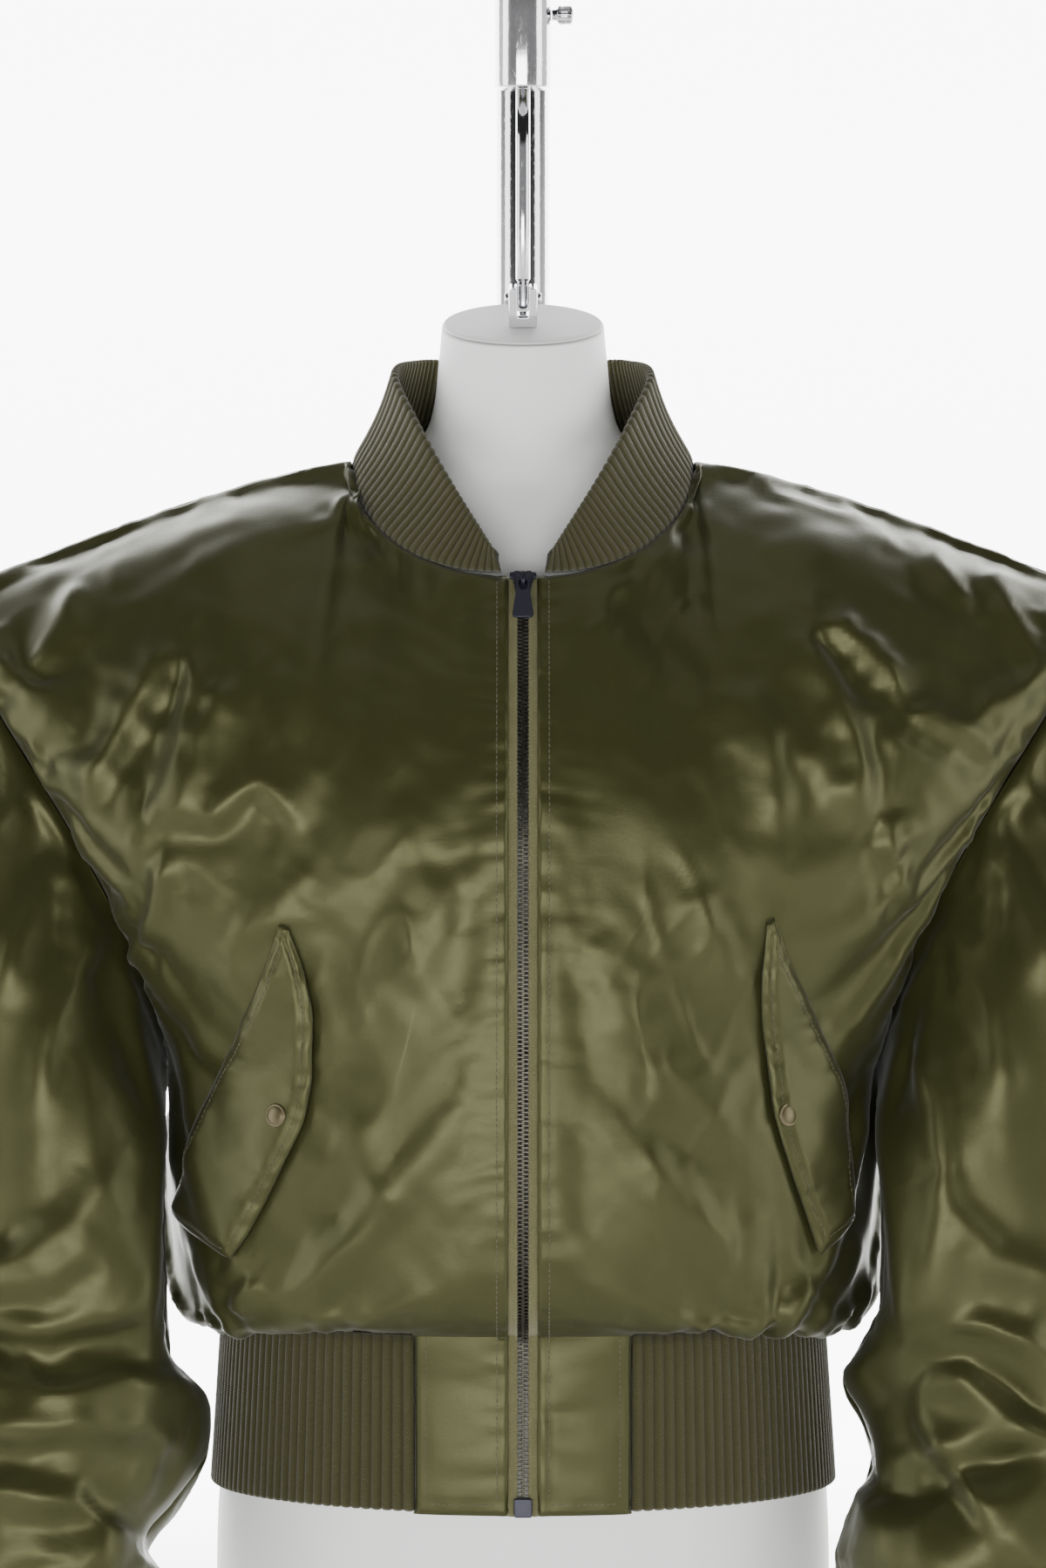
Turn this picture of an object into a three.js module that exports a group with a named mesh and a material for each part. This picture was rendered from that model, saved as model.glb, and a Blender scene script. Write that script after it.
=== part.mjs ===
// A cropped satin bomber jacket on a hanging dress form with its stand.
// Millimetres, +Z up, the front faces -Y, +X is the wearer's left. The origin is on the floor, under the form's neck.
// Heights in the tables are measured from the jacket's hem, and lifted by HEM_HEIGHT at the end.

import * as THREE from "three";

// Driving dimensions
const HEM_HEIGHT = 300; // floor to the hem of the jacket
const WALL = 3; // padded satin
const RIB_WALL = 4.6; // doubled knit
const RIB_RELIEF = 0.9; // height of a knit rib over its groove
const SEAM_GAP = 0.3; // between pieces that are sewn together

const BAND_HEIGHT = 92; // knit waistband
const BAND_SIDE = { hem: 167.5, waist: 161.5 }; // half widths of the band
const BAND_DEPTH = { hem: 124, waist: 125 }; // half depths of the band
const TAB_WIDTH = 56; // satin end of the band beside the zip
const ZIP_HALF_GAP = 7; // zip centre to the satin edge
const TAPE = { inner: 3.3, front: -0.6, back: -1.6 }; // from the zip's line across and out of the satin
const CHAIN = { half: 3, front: 0.3, back: -2.4 };
const ZIP_TOP = 0.985; // row of the body where the zip ends

const NECK_FRONT = { y: -88, z: 484 }; // where the neckline meets the zip
const NECK_SIDE = { x: 92, y: 8, z: 545 }; // where the neckline meets the shoulder seam
const NECK_BACK = { y: 62, z: 540 };
const UNDERARM = { x: 186, z: 225 };
const SHOULDER = { x: 312, y: 5, z: 472 };
const ARMHOLE_DEPTH = { front: 77, back: 74 };
const ARMHOLE_SCOOP = { front: 18, back: 9 };

const V_UNDERARM = 0.5; // the rows of the body run from the band at 0 to the shoulder at 1
const V_CHEST = 0.75;
const V_TAB = -0.2; // the front tabs run below row 0
const ROW_STOPS = [0, 0.15, V_UNDERARM, V_CHEST, 1];
const ROW_COUNTS = [4, 4, 5, 6]; // rows between the stops; the sleeves share those of the armhole
const T_NECK = 0.36; // share of a half panel's width taken by the neckline
const SQUARENESS = 0.86; // exponent of the body's rounded sections
const SHOULDER_BOW = 1.3;
const SHOULDER_ROUND = 3; // the shoulder seam bends back between its ends

// Body sections: row v, heights at the centre front, side and centre back, the side's half width,
// and the depths of the front and the back
const BODY_ROWS = [
  { v: 0.0, zFront: 92, zSide: 92.4, zBack: 92.4, side: 161.5, front: 125.6, back: 124.6 },
  { v: 0.03, zFront: 96, zSide: 88, zBack: 89, side: 170, front: 132, back: 133 },
  { v: 0.08, zFront: 103, zSide: 94, zBack: 95, side: 180, front: 140, back: 142 },
  { v: 0.15, zFront: 116, zSide: 110, zBack: 112, side: 190, front: 148, back: 149 },
  { v: 0.25, zFront: 142, zSide: 140, zBack: 143, side: 195.5, front: 154, back: 152 },
  { v: 0.37, zFront: 182, zSide: 180, zBack: 185, side: 194.5, front: 157, back: 150 },
  { v: 0.5, zFront: 230, zSide: 225, zBack: 236, side: 186, front: 157, back: 146 },
  { v: 0.62, zFront: 282, zSide: 270, zBack: 288, side: 196, front: 156, back: 144 },
  { v: 0.75, zFront: 338, zSide: 348.5, zBack: 345, side: 231, front: 151, back: 141 },
];

// Main folds of the panels in the front view: from (x, z) to (x2, z2), half width and height,
// on the front (-1) or back (1)
const BODY_FOLDS = [
  { face: -1, x: -150, z: 430, x2: -196, z2: 290, wide: 11, high: 7 },
  { face: -1, x: -178, z: 425, x2: -214, z2: 330, wide: 10, high: -5 },
  { face: -1, x: -128, z: 400, x2: -172, z2: 262, wide: 10, high: -6 },
  { face: -1, x: -108, z: 372, x2: -150, z2: 250, wide: 9, high: 4 },
  { face: -1, x: 146, z: 448, x2: 176, z2: 330, wide: 12, high: 7 },
  { face: -1, x: 168, z: 430, x2: 206, z2: 350, wide: 10, high: -5 },
  { face: -1, x: 122, z: 420, x2: 148, z2: 300, wide: 11, high: -5 },
  { face: -1, x: -60, z: 150, x2: -120, z2: 118, wide: 10, high: -4 },
  { face: -1, x: 64, z: 150, x2: 128, z2: 120, wide: 10, high: -4 },
  { face: 1, x: -150, z: 420, x2: -190, z2: 280, wide: 13, high: 6 },
  { face: 1, x: -120, z: 380, x2: -160, z2: 240, wide: 12, high: -5 },
  { face: 1, x: 148, z: 424, x2: 186, z2: 290, wide: 13, high: 6 },
  { face: 1, x: 116, z: 384, x2: 158, z2: 244, wide: 12, high: -5 },
  { face: 1, x: -70, z: 500, x2: 70, z2: 496, wide: 12, high: -3 },
];
const FOLD_ENDS = { start: [-0.25, 0.3], stop: [0.75, 1.2] }; // how a fold fades in and out along its line
const FOLD_EDGES = { centre: 0.12, side: 0.85, top: 0.9 }; // folds fade towards the panel's edges
// Soft gathers over the band: waves on each half, their bend, height, and the rows where they start and end
const GATHERS = { waves: 33, bend: 1.7, bends: 9, high: 2.2, rows: [0.01, 0.05, 0.06, 0.13], clear: [0.2, 0.34] };

// Sleeve sections: distance s down the sleeve, the inner and outer points of each section in the front view,
// the middle's y, the half depth, and how far the side towards the body is led forward over it
const SLEEVE_TOP = [
  { s: 0.0, xIn: 186, zIn: 225, xOut: 312, zOut: 472, y: 2, deep: 76, lead: 0 },
  { s: 0.06, xIn: 191, zIn: 215, xOut: 343, zOut: 452, y: -1, deep: 84, lead: 22 },
  { s: 0.13, xIn: 186.5, zIn: 204, xOut: 370, zOut: 408, y: -4, deep: 90, lead: 56 },
  { s: 0.2, xIn: 185, zIn: 188, xOut: 387, zOut: 346, y: -7, deep: 93, lead: 66 },
  { s: 0.27, xIn: 186.5, zIn: 166, xOut: 396, zOut: 282, y: -10, deep: 93, lead: 72 },
  { s: 0.34, xIn: 186, zIn: 142, xOut: 400, zOut: 222, y: -14, deep: 91, lead: 72 },
];
const SLEEVE_RIGHT_ARM = [
  ...SLEEVE_TOP,
  { s: 0.41, xIn: 184.5, zIn: 117, xOut: 400, zOut: 166, y: -19, deep: 88, lead: 70 },
  { s: 0.47, xIn: 185, zIn: 96, xOut: 397, zOut: 120, y: -25, deep: 84, lead: 60 },
  { s: 0.53, xIn: 182, zIn: 74, xOut: 391, zOut: 80, y: -35, deep: 82, lead: 35 },
  { s: 0.59, xIn: 166, zIn: 54, xOut: 381, zOut: 48, y: -46, deep: 82, lead: 12 },
  { s: 0.65, xIn: 165, zIn: 30, xOut: 369, zOut: 18, y: -54, deep: 79, lead: 0 },
  { s: 0.71, xIn: 178, zIn: 6, xOut: 354, zOut: -12, y: -61, deep: 74, lead: 0 },
  { s: 0.77, xIn: 196, zIn: -16, xOut: 340, zOut: -35, y: -67, deep: 68, lead: 0 },
  { s: 0.83, xIn: 187, zIn: -36, xOut: 331, zOut: -56, y: -71, deep: 68, lead: 0 },
  { s: 0.89, xIn: 187, zIn: -58, xOut: 319, zOut: -76, y: -75, deep: 63, lead: 0 },
  { s: 0.95, xIn: 195, zIn: -77, xOut: 304, zOut: -92, y: -78, deep: 53, lead: 0 },
  { s: 1.0, xIn: 207, zIn: -90, xOut: 288, zOut: -101, y: -80, deep: 38.5, lead: 0 },
];
const SLEEVE_LEFT_ARM = [
  ...SLEEVE_TOP,
  { s: 0.41, xIn: 184.5, zIn: 119, xOut: 400, zOut: 168, y: -18, deep: 88, lead: 70 },
  { s: 0.47, xIn: 183, zIn: 101, xOut: 398, zOut: 124, y: -23, deep: 84, lead: 60 },
  { s: 0.53, xIn: 176, zIn: 82, xOut: 393, zOut: 86, y: -32, deep: 81, lead: 35 },
  { s: 0.59, xIn: 167, zIn: 62, xOut: 384, zOut: 54, y: -40, deep: 80, lead: 12 },
  { s: 0.65, xIn: 180, zIn: 38, xOut: 372, zOut: 24, y: -47, deep: 77, lead: 0 },
  { s: 0.71, xIn: 182, zIn: 16, xOut: 359, zOut: -6, y: -53, deep: 75, lead: 0 },
  { s: 0.77, xIn: 170, zIn: -6, xOut: 349, zOut: -32, y: -59, deep: 74, lead: 0 },
  { s: 0.83, xIn: 163, zIn: -30, xOut: 338, zOut: -56, y: -65, deep: 72, lead: 0 },
  { s: 0.89, xIn: 170, zIn: -55, xOut: 322, zOut: -78, y: -71, deep: 65, lead: 0 },
  { s: 0.95, xIn: 186, zIn: -76, xOut: 304, zOut: -94, y: -76, deep: 53, lead: 0 },
  { s: 1.0, xIn: 203, zIn: -90, xOut: 284, zOut: -101, y: -79, deep: 38.5, lead: 0 },
];
const SLEEVE_LEAN = 0.9 / 140; // tip of a section for each millimetre that the sleeve swings forward
const SLEEVE_SEAM_REACH = 0.16; // share of the sleeve over which the armhole's shape fades
const SLEEVE_LEAD_POWER = 3; // keeps the lead to the side towards the body
// Sleeve folds: turn round the sleeve in degrees (0 towards the body, 90 front, 180 outside), place down it,
// half sizes, height
const SLEEVE_FOLDS = {
  right_arm: [
    { turn: 60, s: 0.475, wide: 70, tall: 0.022, high: -11 },
    { turn: 95, s: 0.36, wide: 40, tall: 0.03, high: 5 },
    { turn: 70, s: 0.545, wide: 60, tall: 0.03, high: 6 },
    { turn: 110, s: 0.63, wide: 60, tall: 0.022, high: -7 },
    { turn: 60, s: 0.77, wide: 60, tall: 0.022, high: -8 },
    { turn: 250, s: 0.5, wide: 70, tall: 0.025, high: -8 },
    { turn: 280, s: 0.66, wide: 60, tall: 0.025, high: -7 },
    { turn: 120, s: 0.88, wide: 70, tall: 0.02, high: -5 },
  ],
  left_arm: [
    { turn: 55, s: 0.5, wide: 60, tall: 0.022, high: -11 },
    { turn: 100, s: 0.43, wide: 40, tall: 0.03, high: 5 },
    { turn: 75, s: 0.565, wide: 50, tall: 0.022, high: 6 },
    { turn: 60, s: 0.63, wide: 70, tall: 0.022, high: -10 },
    { turn: 115, s: 0.7, wide: 50, tall: 0.025, high: 6 },
    { turn: 110, s: 0.8, wide: 60, tall: 0.022, high: -7 },
    { turn: 255, s: 0.52, wide: 70, tall: 0.025, high: -8 },
    { turn: 285, s: 0.7, wide: 60, tall: 0.025, high: -7 },
  ],
};

// Cuffs: how much narrower, lower and further forward their end is, its half depth, and the drop under the sleeve
const CUFF_END = { inset: 4, drop: 60, y: -6, deep: 35.5, below: 0.5 };
const CUFF_RIBS = 46;
const BAND_RIBS = 150;
const COLLAR_RIBS = 100;
const COLLAR_SEAM = 0.8; // from the neckline to the collar's sewn edge
const COLLAR_HOLLOW = 2.5; // the collar's stand bends in between its edges
const COLLAR_FRONT = 0.008; // share of the collar's length left open at each front end

// Collar height over the neckline, by angle from the front end (0) past the shoulder (90) to the back (180)
const COLLAR_ROWS = [
  { angle: 0, x: 13, y: -88, z: 491 },
  { angle: 22, x: 26, y: -80, z: 511 },
  { angle: 45, x: 41, y: -64, z: 535 },
  { angle: 68, x: 58, y: -36, z: 566 },
  { angle: 90, x: 70, y: 0, z: 592 },
  { angle: 125, x: 57, y: 38, z: 600 },
  { angle: 155, x: 30, y: 56, z: 600 },
  { angle: 180, x: 0, y: 61, z: 600 },
];

// Pocket flaps in the front view, from the top tip down: the sewn edge and the free edge
const FLAPS = {
  right: {
    side: -1,
    rows: [
      { b: 0.0, xSewn: -124.5, zSewn: 311, xFree: -120.5, zFree: 309 },
      { b: 0.18, xSewn: -133, zSewn: 286, xFree: -109.5, zFree: 274 },
      { b: 0.36, xSewn: -144, zSewn: 258, xFree: -107.5, zFree: 244 },
      { b: 0.55, xSewn: -157, zSewn: 226, xFree: -111.5, zFree: 210 },
      { b: 0.75, xSewn: -170, zSewn: 192, xFree: -127, zFree: 176 },
      { b: 1.0, xSewn: -183, zSewn: 154, xFree: -147, zFree: 137 },
    ],
    snap: { x: -126.5, z: 206 },
  },
  left: {
    side: 1,
    rows: [
      { b: 0.0, xSewn: 128, zSewn: 312, xFree: 124.5, zFree: 309 },
      { b: 0.18, xSewn: 138, zSewn: 287, xFree: 121.5, zFree: 276 },
      { b: 0.36, xSewn: 150, zSewn: 258, xFree: 123.5, zFree: 244 },
      { b: 0.55, xSewn: 160, zSewn: 226, xFree: 127.5, zFree: 210 },
      { b: 0.75, xSewn: 168, zSewn: 192, xFree: 139, zFree: 176 },
      { b: 1.0, xSewn: 171, zSewn: 154, xFree: 153.5, zFree: 137 },
    ],
    snap: { x: 136, z: 206 },
  },
};
const FLAP_WALL = 2.4;
const FLAP_LIFT = { sewn: 1.3, free: 2.8 };
const SNAP = { radius: 6.2, thick: 1.8, lift: 0.1 };

// Slider and pull tab of the zip
const SLIDER = { drop: 7, width: 10, length: 13, thick: 3.4, lift: 0.5 };
const BRIDGE = { width: 2.4, reach: 5.3, height: 9, bar: 1.3 };
const PULL = { width: 11.5, neck: 7.4, length: 25, thick: 1.5, bar: 1.5, eye: 8.5, eyeWidth: 4.2, seat: 2 };
const STOP = { width: 9.5, height: 10, thick: 3.6, lift: 0.4 };

// The dress form: height over the hem, half width, depth in front and behind, and roundness
const FORM_ROWS = [
  { z: -196, side: 146, front: 98, back: 104 },
  { z: -190, side: 156, front: 106, back: 112 },
  { z: -120, side: 163, front: 112, back: 120 },
  { z: -60, side: 164, front: 116, back: 121 },
  { z: 0, side: 162.2, front: 118.6, back: 118.6 },
  { z: 40, side: 156, front: 117, back: 112 },
  { z: 92, side: 138, front: 104, back: 94 },
  { z: 150, side: 121, front: 92, back: 78 },
  { z: 215, side: 122, front: 98, back: 84 },
  { z: 290, side: 136, front: 122, back: 94 },
  { z: 335, side: 144, front: 127, back: 100 },
  { z: 390, side: 158, front: 106, back: 104 },
  { z: 430, side: 169, front: 84, back: 102 },
  { z: 455, side: 172, front: 68, back: 94 },
  { z: 475, side: 170, front: 58, back: 87 },
  { z: 492, side: 162, front: 51, back: 78 },
  { z: 508, side: 153, front: 46, back: 69 },
  { z: 520, side: 139, front: 42, back: 62 },
  { z: 528, side: 118, front: 39, back: 56 },
  { z: 532, side: 103, front: 38, back: 53 },
  { z: 535, side: 89, front: 38, back: 51 },
  { z: 537.5, side: 79, front: 38, back: 50 },
  { z: 540.5, side: 73, front: 39, back: 49 },
  { z: 545, side: 66, front: 40, back: 47.5 },
  { z: 551, side: 61, front: 42, back: 46.5 },
  { z: 560, side: 52, front: 42, back: 45 },
  { z: 574, side: 47.5, front: 42, back: 44 },
  { z: 590, side: 45.5, front: 42, back: 43 },
];
const FORM_HEIGHTS = [
  -196, -190, -150, -100, -50, 0, 40, 92, 150, 215, 255, 295, 335, 370, 400, 430, 455, 475, 492, 508, 520, 528, 532,
  535, 537.5, 540.5, 545, 551, 560, 574,
];
const FORM_NECK_TOP = { z: 618, side: 43, front: 41, back: 43, tilt: 17 };
const FORM_MIDDLE = { low: 0, high: 5 };
const FORM_PINCH = { most: 0.95, from: 440, full: 520 }; // how much the shoulders' sections narrow towards their ends

// The stand: a bent tube on a plate, with a rod that carries the form by a fork on its neck
const TUBE_RADIUS = 15;
const COLUMN_Y = 200;
const BEND_HEIGHT = 1120; // from the floor to the start of the bend
const TUBE_END = 1042; // from the floor to the tube's open end
const BEND_COLLAR = 2; // short straight end of the bend
// The hanging rod: its radius, its thinner end with a chamfer, and its distances over the fork's base and shoulders
const ROD = { radius: 3.8, tipRadius: 2.7, chamfer: 0.6, overFork: 3, overShoulder: 2 };
const FORK = { width: 15, deep: 14, height: 21, slot: 6.3, base: 5.6 };
const FORK_SCREW = { face: 2.8, foot: 3.4, thick: 2, over: 9 };
const THUMB_SCREW = { z: 1081, neck: 3, head: 4.9, headLength: 8.4, reach: 3, step: 0.8 };
const PLATE = { width: 380, front: -180, back: 250, thick: 6, corner: 40 };
const SOCKET = { radius: 23, height: 30 };

const COLOURS = {
  satin: 0x4a4826,
  knit: 0x3f3c1e,
  tape: 0x5a5732,
  metal: 0x2a2a2c,
  snap: 0x5a4a2a,
  form: 0xeeeeec,
  chrome: 0xd8d8dc,
};
const materials = {
  satin: new THREE.MeshStandardMaterial({ color: COLOURS.satin, roughness: 0.42, metalness: 0.1 }),
  knit: new THREE.MeshStandardMaterial({ color: COLOURS.knit, roughness: 0.9, metalness: 0 }),
  tape: new THREE.MeshStandardMaterial({ color: COLOURS.tape, roughness: 0.8, metalness: 0 }),
  metal: new THREE.MeshStandardMaterial({ color: COLOURS.metal, roughness: 0.35, metalness: 0.9 }),
  snap: new THREE.MeshStandardMaterial({ color: COLOURS.snap, roughness: 0.4, metalness: 0.3 }),
  form: new THREE.MeshStandardMaterial({ color: COLOURS.form, roughness: 0.5, metalness: 0 }),
  chrome: new THREE.MeshStandardMaterial({ color: COLOURS.chrome, roughness: 0.08, metalness: 1 }),
};

const object = new THREE.Group();
const garment = new THREE.Group();
garment.position.z = HEM_HEIGHT;
object.add(garment);

// Small maths

const radians = THREE.MathUtils.degToRad;
const clamp = THREE.MathUtils.clamp;
const lerp = THREE.MathUtils.lerp;
const ease = (from, to, at) => THREE.MathUtils.smoothstep(at, from, to);

function range(count, from = 0, to = 1) {
  return Array.from({ length: count + 1 }, (_, i) => lerp(from, to, i / count));
}

// The value of one column of a table at a place between its rows, on a smooth curve through them
function read(rows, key, column, at) {
  const last = rows.length - 1;
  const x = clamp(at, rows[0][key], rows[last][key]);
  let i = 0;
  while (i < last - 1 && x > rows[i + 1][key]) i++;
  const step = (k) => rows[k + 1][key] - rows[k][key];
  const slope = (k) => (rows[k + 1][column] - rows[k][column]) / step(k);
  const tangent = (k) => {
    if (k === 0) return slope(0);
    if (k === last) return slope(last - 1);
    return (slope(k - 1) * step(k) + slope(k) * step(k - 1)) / (step(k - 1) + step(k));
  };
  const h = step(i);
  const f = (x - rows[i][key]) / h;
  const f2 = f * f;
  const f3 = f2 * f;
  return (
    rows[i][column] * (2 * f3 - 3 * f2 + 1) +
    rows[i + 1][column] * (3 * f2 - 2 * f3) +
    tangent(i) * h * (f3 - 2 * f2 + f) +
    tangent(i + 1) * h * (f3 - f2)
  );
}

// The unit normal of a surface at two parameters, from small steps kept inside its limits
function normalOf(surface, u, v, uLimits, vLimits, step = 0.004) {
  const at = (du, dv) => surface(clamp(u + du, ...uLimits), clamp(v + dv, ...vLimits));
  const along = at(step, 0).sub(at(-step, 0));
  const up = at(0, step).sub(at(0, -step));
  return along.cross(up).normalize();
}

// Solids from rings and grids

function solidOf(points, triangles) {
  const geometry = new THREE.BufferGeometry();
  const flat = points.flatMap((p) => [p.x, p.y, p.z]);
  geometry.setAttribute("position", new THREE.Float32BufferAttribute(flat, 3));
  geometry.setIndex(triangles.flat());
  geometry.computeVertexNormals();
  return geometry;
}

// Turns the faces of a closed solid outwards if its volume comes out negative
function facingOut(points, triangles) {
  let volume = 0;
  for (const [a, b, c] of triangles) {
    volume += points[a].dot(new THREE.Vector3().crossVectors(points[b], points[c]));
  }
  return volume < 0 ? triangles.map(([a, b, c]) => [a, c, b]) : triangles;
}

// A cloth wall between two grids of points; mask tells which cells are there, and closed joins the last column
// to the first
function wallOf(outer, inner, { mask = () => true, closed = false } = {}) {
  const rows = outer.length;
  const columns = outer[0].length;
  const cellColumns = closed ? columns : columns - 1;
  const present = (i, j) => {
    if (j < 0 || j >= rows - 1) return false;
    if (closed) return mask((i + columns) % columns, j);
    return i >= 0 && i < cellColumns && mask(i, j);
  };
  const points = [];
  const index = new Map();
  const vertex = (layer, i, j) => {
    const key = `${layer},${i % columns},${j}`;
    if (!index.has(key)) {
      index.set(key, points.length);
      points.push((layer ? inner : outer)[j][i % columns]);
    }
    return index.get(key);
  };
  const triangles = [];
  const quad = (a, b, c, d) => triangles.push([a, b, c], [a, c, d]);
  for (let j = 0; j < rows - 1; j++) {
    for (let i = 0; i < cellColumns; i++) {
      if (!present(i, j)) continue;
      const around = [[i, j], [i + 1, j], [i + 1, j + 1], [i, j + 1]];
      const corner = (layer) => around.map(([a, b]) => vertex(layer, a, b));
      const o = corner(0);
      const n = corner(1);
      quad(o[0], o[1], o[2], o[3]);
      quad(n[0], n[3], n[2], n[1]);
      if (!present(i, j - 1)) quad(o[0], n[0], n[1], o[1]);
      if (!present(i + 1, j)) quad(o[1], n[1], n[2], o[2]);
      if (!present(i, j + 1)) quad(o[2], n[2], n[3], o[3]);
      if (!present(i - 1, j)) quad(o[3], n[3], n[0], o[0]);
    }
  }
  return solidOf(points, facingOut(points, triangles));
}

// A ribbed wall: many outer columns over few inner ones, joined at the ends by strips
function ribbedWall(outerAt, innerAt, ribs, innerCount, levels, closed) {
  const columns = ribs * 2;
  const points = [];
  const triangles = [];
  const ringOf = (at, count, level) => {
    const places = closed ? count : count + 1;
    return Array.from({ length: places }, (_, i) => points.push(at(i / count, level, i % 2)) - 1);
  };
  const next = (ring, i) => ring[(i + 1) % ring.length];
  const strip = (low, high, turned) => {
    const steps = closed ? low.length : low.length - 1;
    for (let i = 0; i < steps; i++) {
      const faces = [[low[i], next(low, i), next(high, i)], [low[i], next(high, i), high[i]]];
      for (const [a, b, c] of faces) triangles.push(turned ? [a, c, b] : [a, b, c]);
    }
  };
  // joins a ring of many points to a ring of few that follows the same line
  const zipper = (many, few, turned) => {
    const steps = closed ? many.length : many.length - 1;
    const fewSteps = closed ? few.length : few.length - 1;
    const push = (a, b, c) => triangles.push(turned ? [a, c, b] : [a, b, c]);
    let k = 0;
    for (let i = 0; i < steps; i++) {
      push(many[i], few[k % few.length], next(many, i));
      const wanted = Math.round(((i + 1) * fewSteps) / steps);
      while (k < wanted) {
        push(next(many, i), few[k % few.length], few[(k + 1) % few.length]);
        k++;
      }
    }
  };
  const outerRings = levels.map((level) => ringOf(outerAt, columns, level));
  const innerRings = levels.map((level) => ringOf(innerAt, innerCount, level));
  for (let j = 0; j < levels.length - 1; j++) {
    strip(outerRings[j], outerRings[j + 1], false);
    strip(innerRings[j], innerRings[j + 1], true);
  }
  const top = levels.length - 1;
  zipper(outerRings[0], innerRings[0], false);
  zipper(outerRings[top], innerRings[top], true);
  if (!closed) {
    const ends = [[0, false], [-1, true]];
    for (const [end, turned] of ends) {
      for (let j = 0; j < top; j++) {
        const o = [outerRings[j].at(end), outerRings[j + 1].at(end)];
        const n = [innerRings[j].at(end), innerRings[j + 1].at(end)];
        const faces = [[o[0], o[1], n[1]], [o[0], n[1], n[0]]];
        for (const [a, b, c] of faces) triangles.push(turned ? [a, c, b] : [a, b, c]);
      }
    }
  }
  return solidOf(points, facingOut(points, triangles));
}

// A closed solid through a stack of rings, with flat ends
function loft(rings) {
  const count = rings[0].length;
  const points = rings.flat();
  const triangles = [];
  for (let j = 0; j < rings.length - 1; j++) {
    for (let i = 0; i < count; i++) {
      const a = j * count + i;
      const b = j * count + ((i + 1) % count);
      triangles.push([a, b, b + count], [a, b + count, a + count]);
    }
  }
  const top = (rings.length - 1) * count;
  for (let i = 1; i < count - 1; i++) {
    triangles.push([0, i + 1, i], [top, top + i, top + i + 1]);
  }
  return solidOf(points, facingOut(points, triangles));
}

function add(group, name, geometry, material) {
  const mesh = new THREE.Mesh(geometry, material);
  mesh.name = name;
  group.add(mesh);
  return mesh;
}

// The body

// The armhole's edge: turn 0 at the underarm, 180 at the shoulder; face -1 front, 1 back
function armhole(turn, face) {
  const share = (1 - Math.cos(turn)) / 2;
  const round = Math.sin(turn);
  const scoop = face < 0 ? ARMHOLE_SCOOP.front : ARMHOLE_SCOOP.back;
  const deep = face < 0 ? ARMHOLE_DEPTH.front : ARMHOLE_DEPTH.back;
  return new THREE.Vector3(
    lerp(UNDERARM.x, SHOULDER.x, share) - scoop * (1.2 - share) * round * round,
    SHOULDER.y * share + face * deep * round,
    lerp(UNDERARM.z, SHOULDER.z, share),
  );
}

const armholeTurn = (v) => Math.PI * clamp((v - V_UNDERARM) / (1 - V_UNDERARM), 0, 1);

// The neckline of a half front or half back: angle 0 at the centre, 90 at the shoulder
function neckline(angle, face) {
  const centre = face < 0 ? NECK_FRONT : NECK_BACK;
  const start = face < 0 ? ZIP_HALF_GAP : 0;
  return new THREE.Vector3(
    lerp(start, NECK_SIDE.x, Math.sin(angle)),
    lerp(NECK_SIDE.y, centre.y, Math.cos(angle)),
    lerp(NECK_SIDE.z, centre.z, Math.cos(angle)),
  );
}

// The top edge of a half panel: the neckline, then the shoulder seam
function topEdge(across, face) {
  if (across < T_NECK) return neckline((across / T_NECK) * (Math.PI / 2), face);
  const share = (across - T_NECK) / (1 - T_NECK);
  return new THREE.Vector3(
    lerp(NECK_SIDE.x, SHOULDER.x, share),
    lerp(NECK_SIDE.y, SHOULDER.y, share) + SHOULDER_ROUND * Math.sin(Math.PI * share),
    lerp(NECK_SIDE.z, SHOULDER.z, share ** SHOULDER_BOW),
  );
}

// A section of the body below the chest line
function sectionPoint(across, v, face) {
  const row = (column) => read(BODY_ROWS, "v", column, v);
  const start = face < 0 ? ZIP_HALF_GAP : 0;
  const open = v > V_UNDERARM;
  const edge = open ? armhole(armholeTurn(v), face) : new THREE.Vector3(row("side"), 0, row("zSide"));
  const opening = ease(V_UNDERARM, V_CHEST, v);
  const sweep = (Math.PI / 2) * lerp(1, 0.66, Math.sqrt(opening));
  const angle = across * sweep;
  const outward = (Math.sin(angle) / Math.sin(sweep)) ** SQUARENESS;
  const inward = ((Math.cos(angle) - Math.cos(sweep)) / (1 - Math.cos(sweep))) ** SQUARENESS;
  const depth = face < 0 ? -row("front") : row("back");
  const height = face < 0 ? row("zFront") : row("zBack");
  return new THREE.Vector3(
    lerp(start, edge.x, outward),
    lerp(edge.y, depth, Math.max(inward, 0)),
    lerp(height, edge.z, ease(0, 1, across)),
  );
}

// The rounded top of the body, from the chest line to the neckline and shoulder seam
function topPoint(across, v, face) {
  const rise = Math.sin(((v - V_CHEST) / (1 - V_CHEST)) * (Math.PI / 2));
  const low = (share) => sectionPoint(share, V_CHEST, face);
  const place = (share) => {
    const base = low(share);
    const top = topEdge(share, face);
    const shoulder = ease(T_NECK - 0.2, T_NECK + 0.2, share);
    const power = lerp(1.7, 2, shoulder);
    const root = lerp(1, 0.5, shoulder);
    const roll = Math.max(0, 1 - rise ** power) ** root;
    return new THREE.Vector3(
      lerp(base.x, top.x, rise ** 1.15),
      lerp(top.y, base.y, roll),
      lerp(base.z, top.z, rise),
    );
  };
  const point = place(across);
  const miss = armhole(armholeTurn(v), face).sub(place(1));
  return point.addScaledVector(miss, across ** 4);
}

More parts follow.
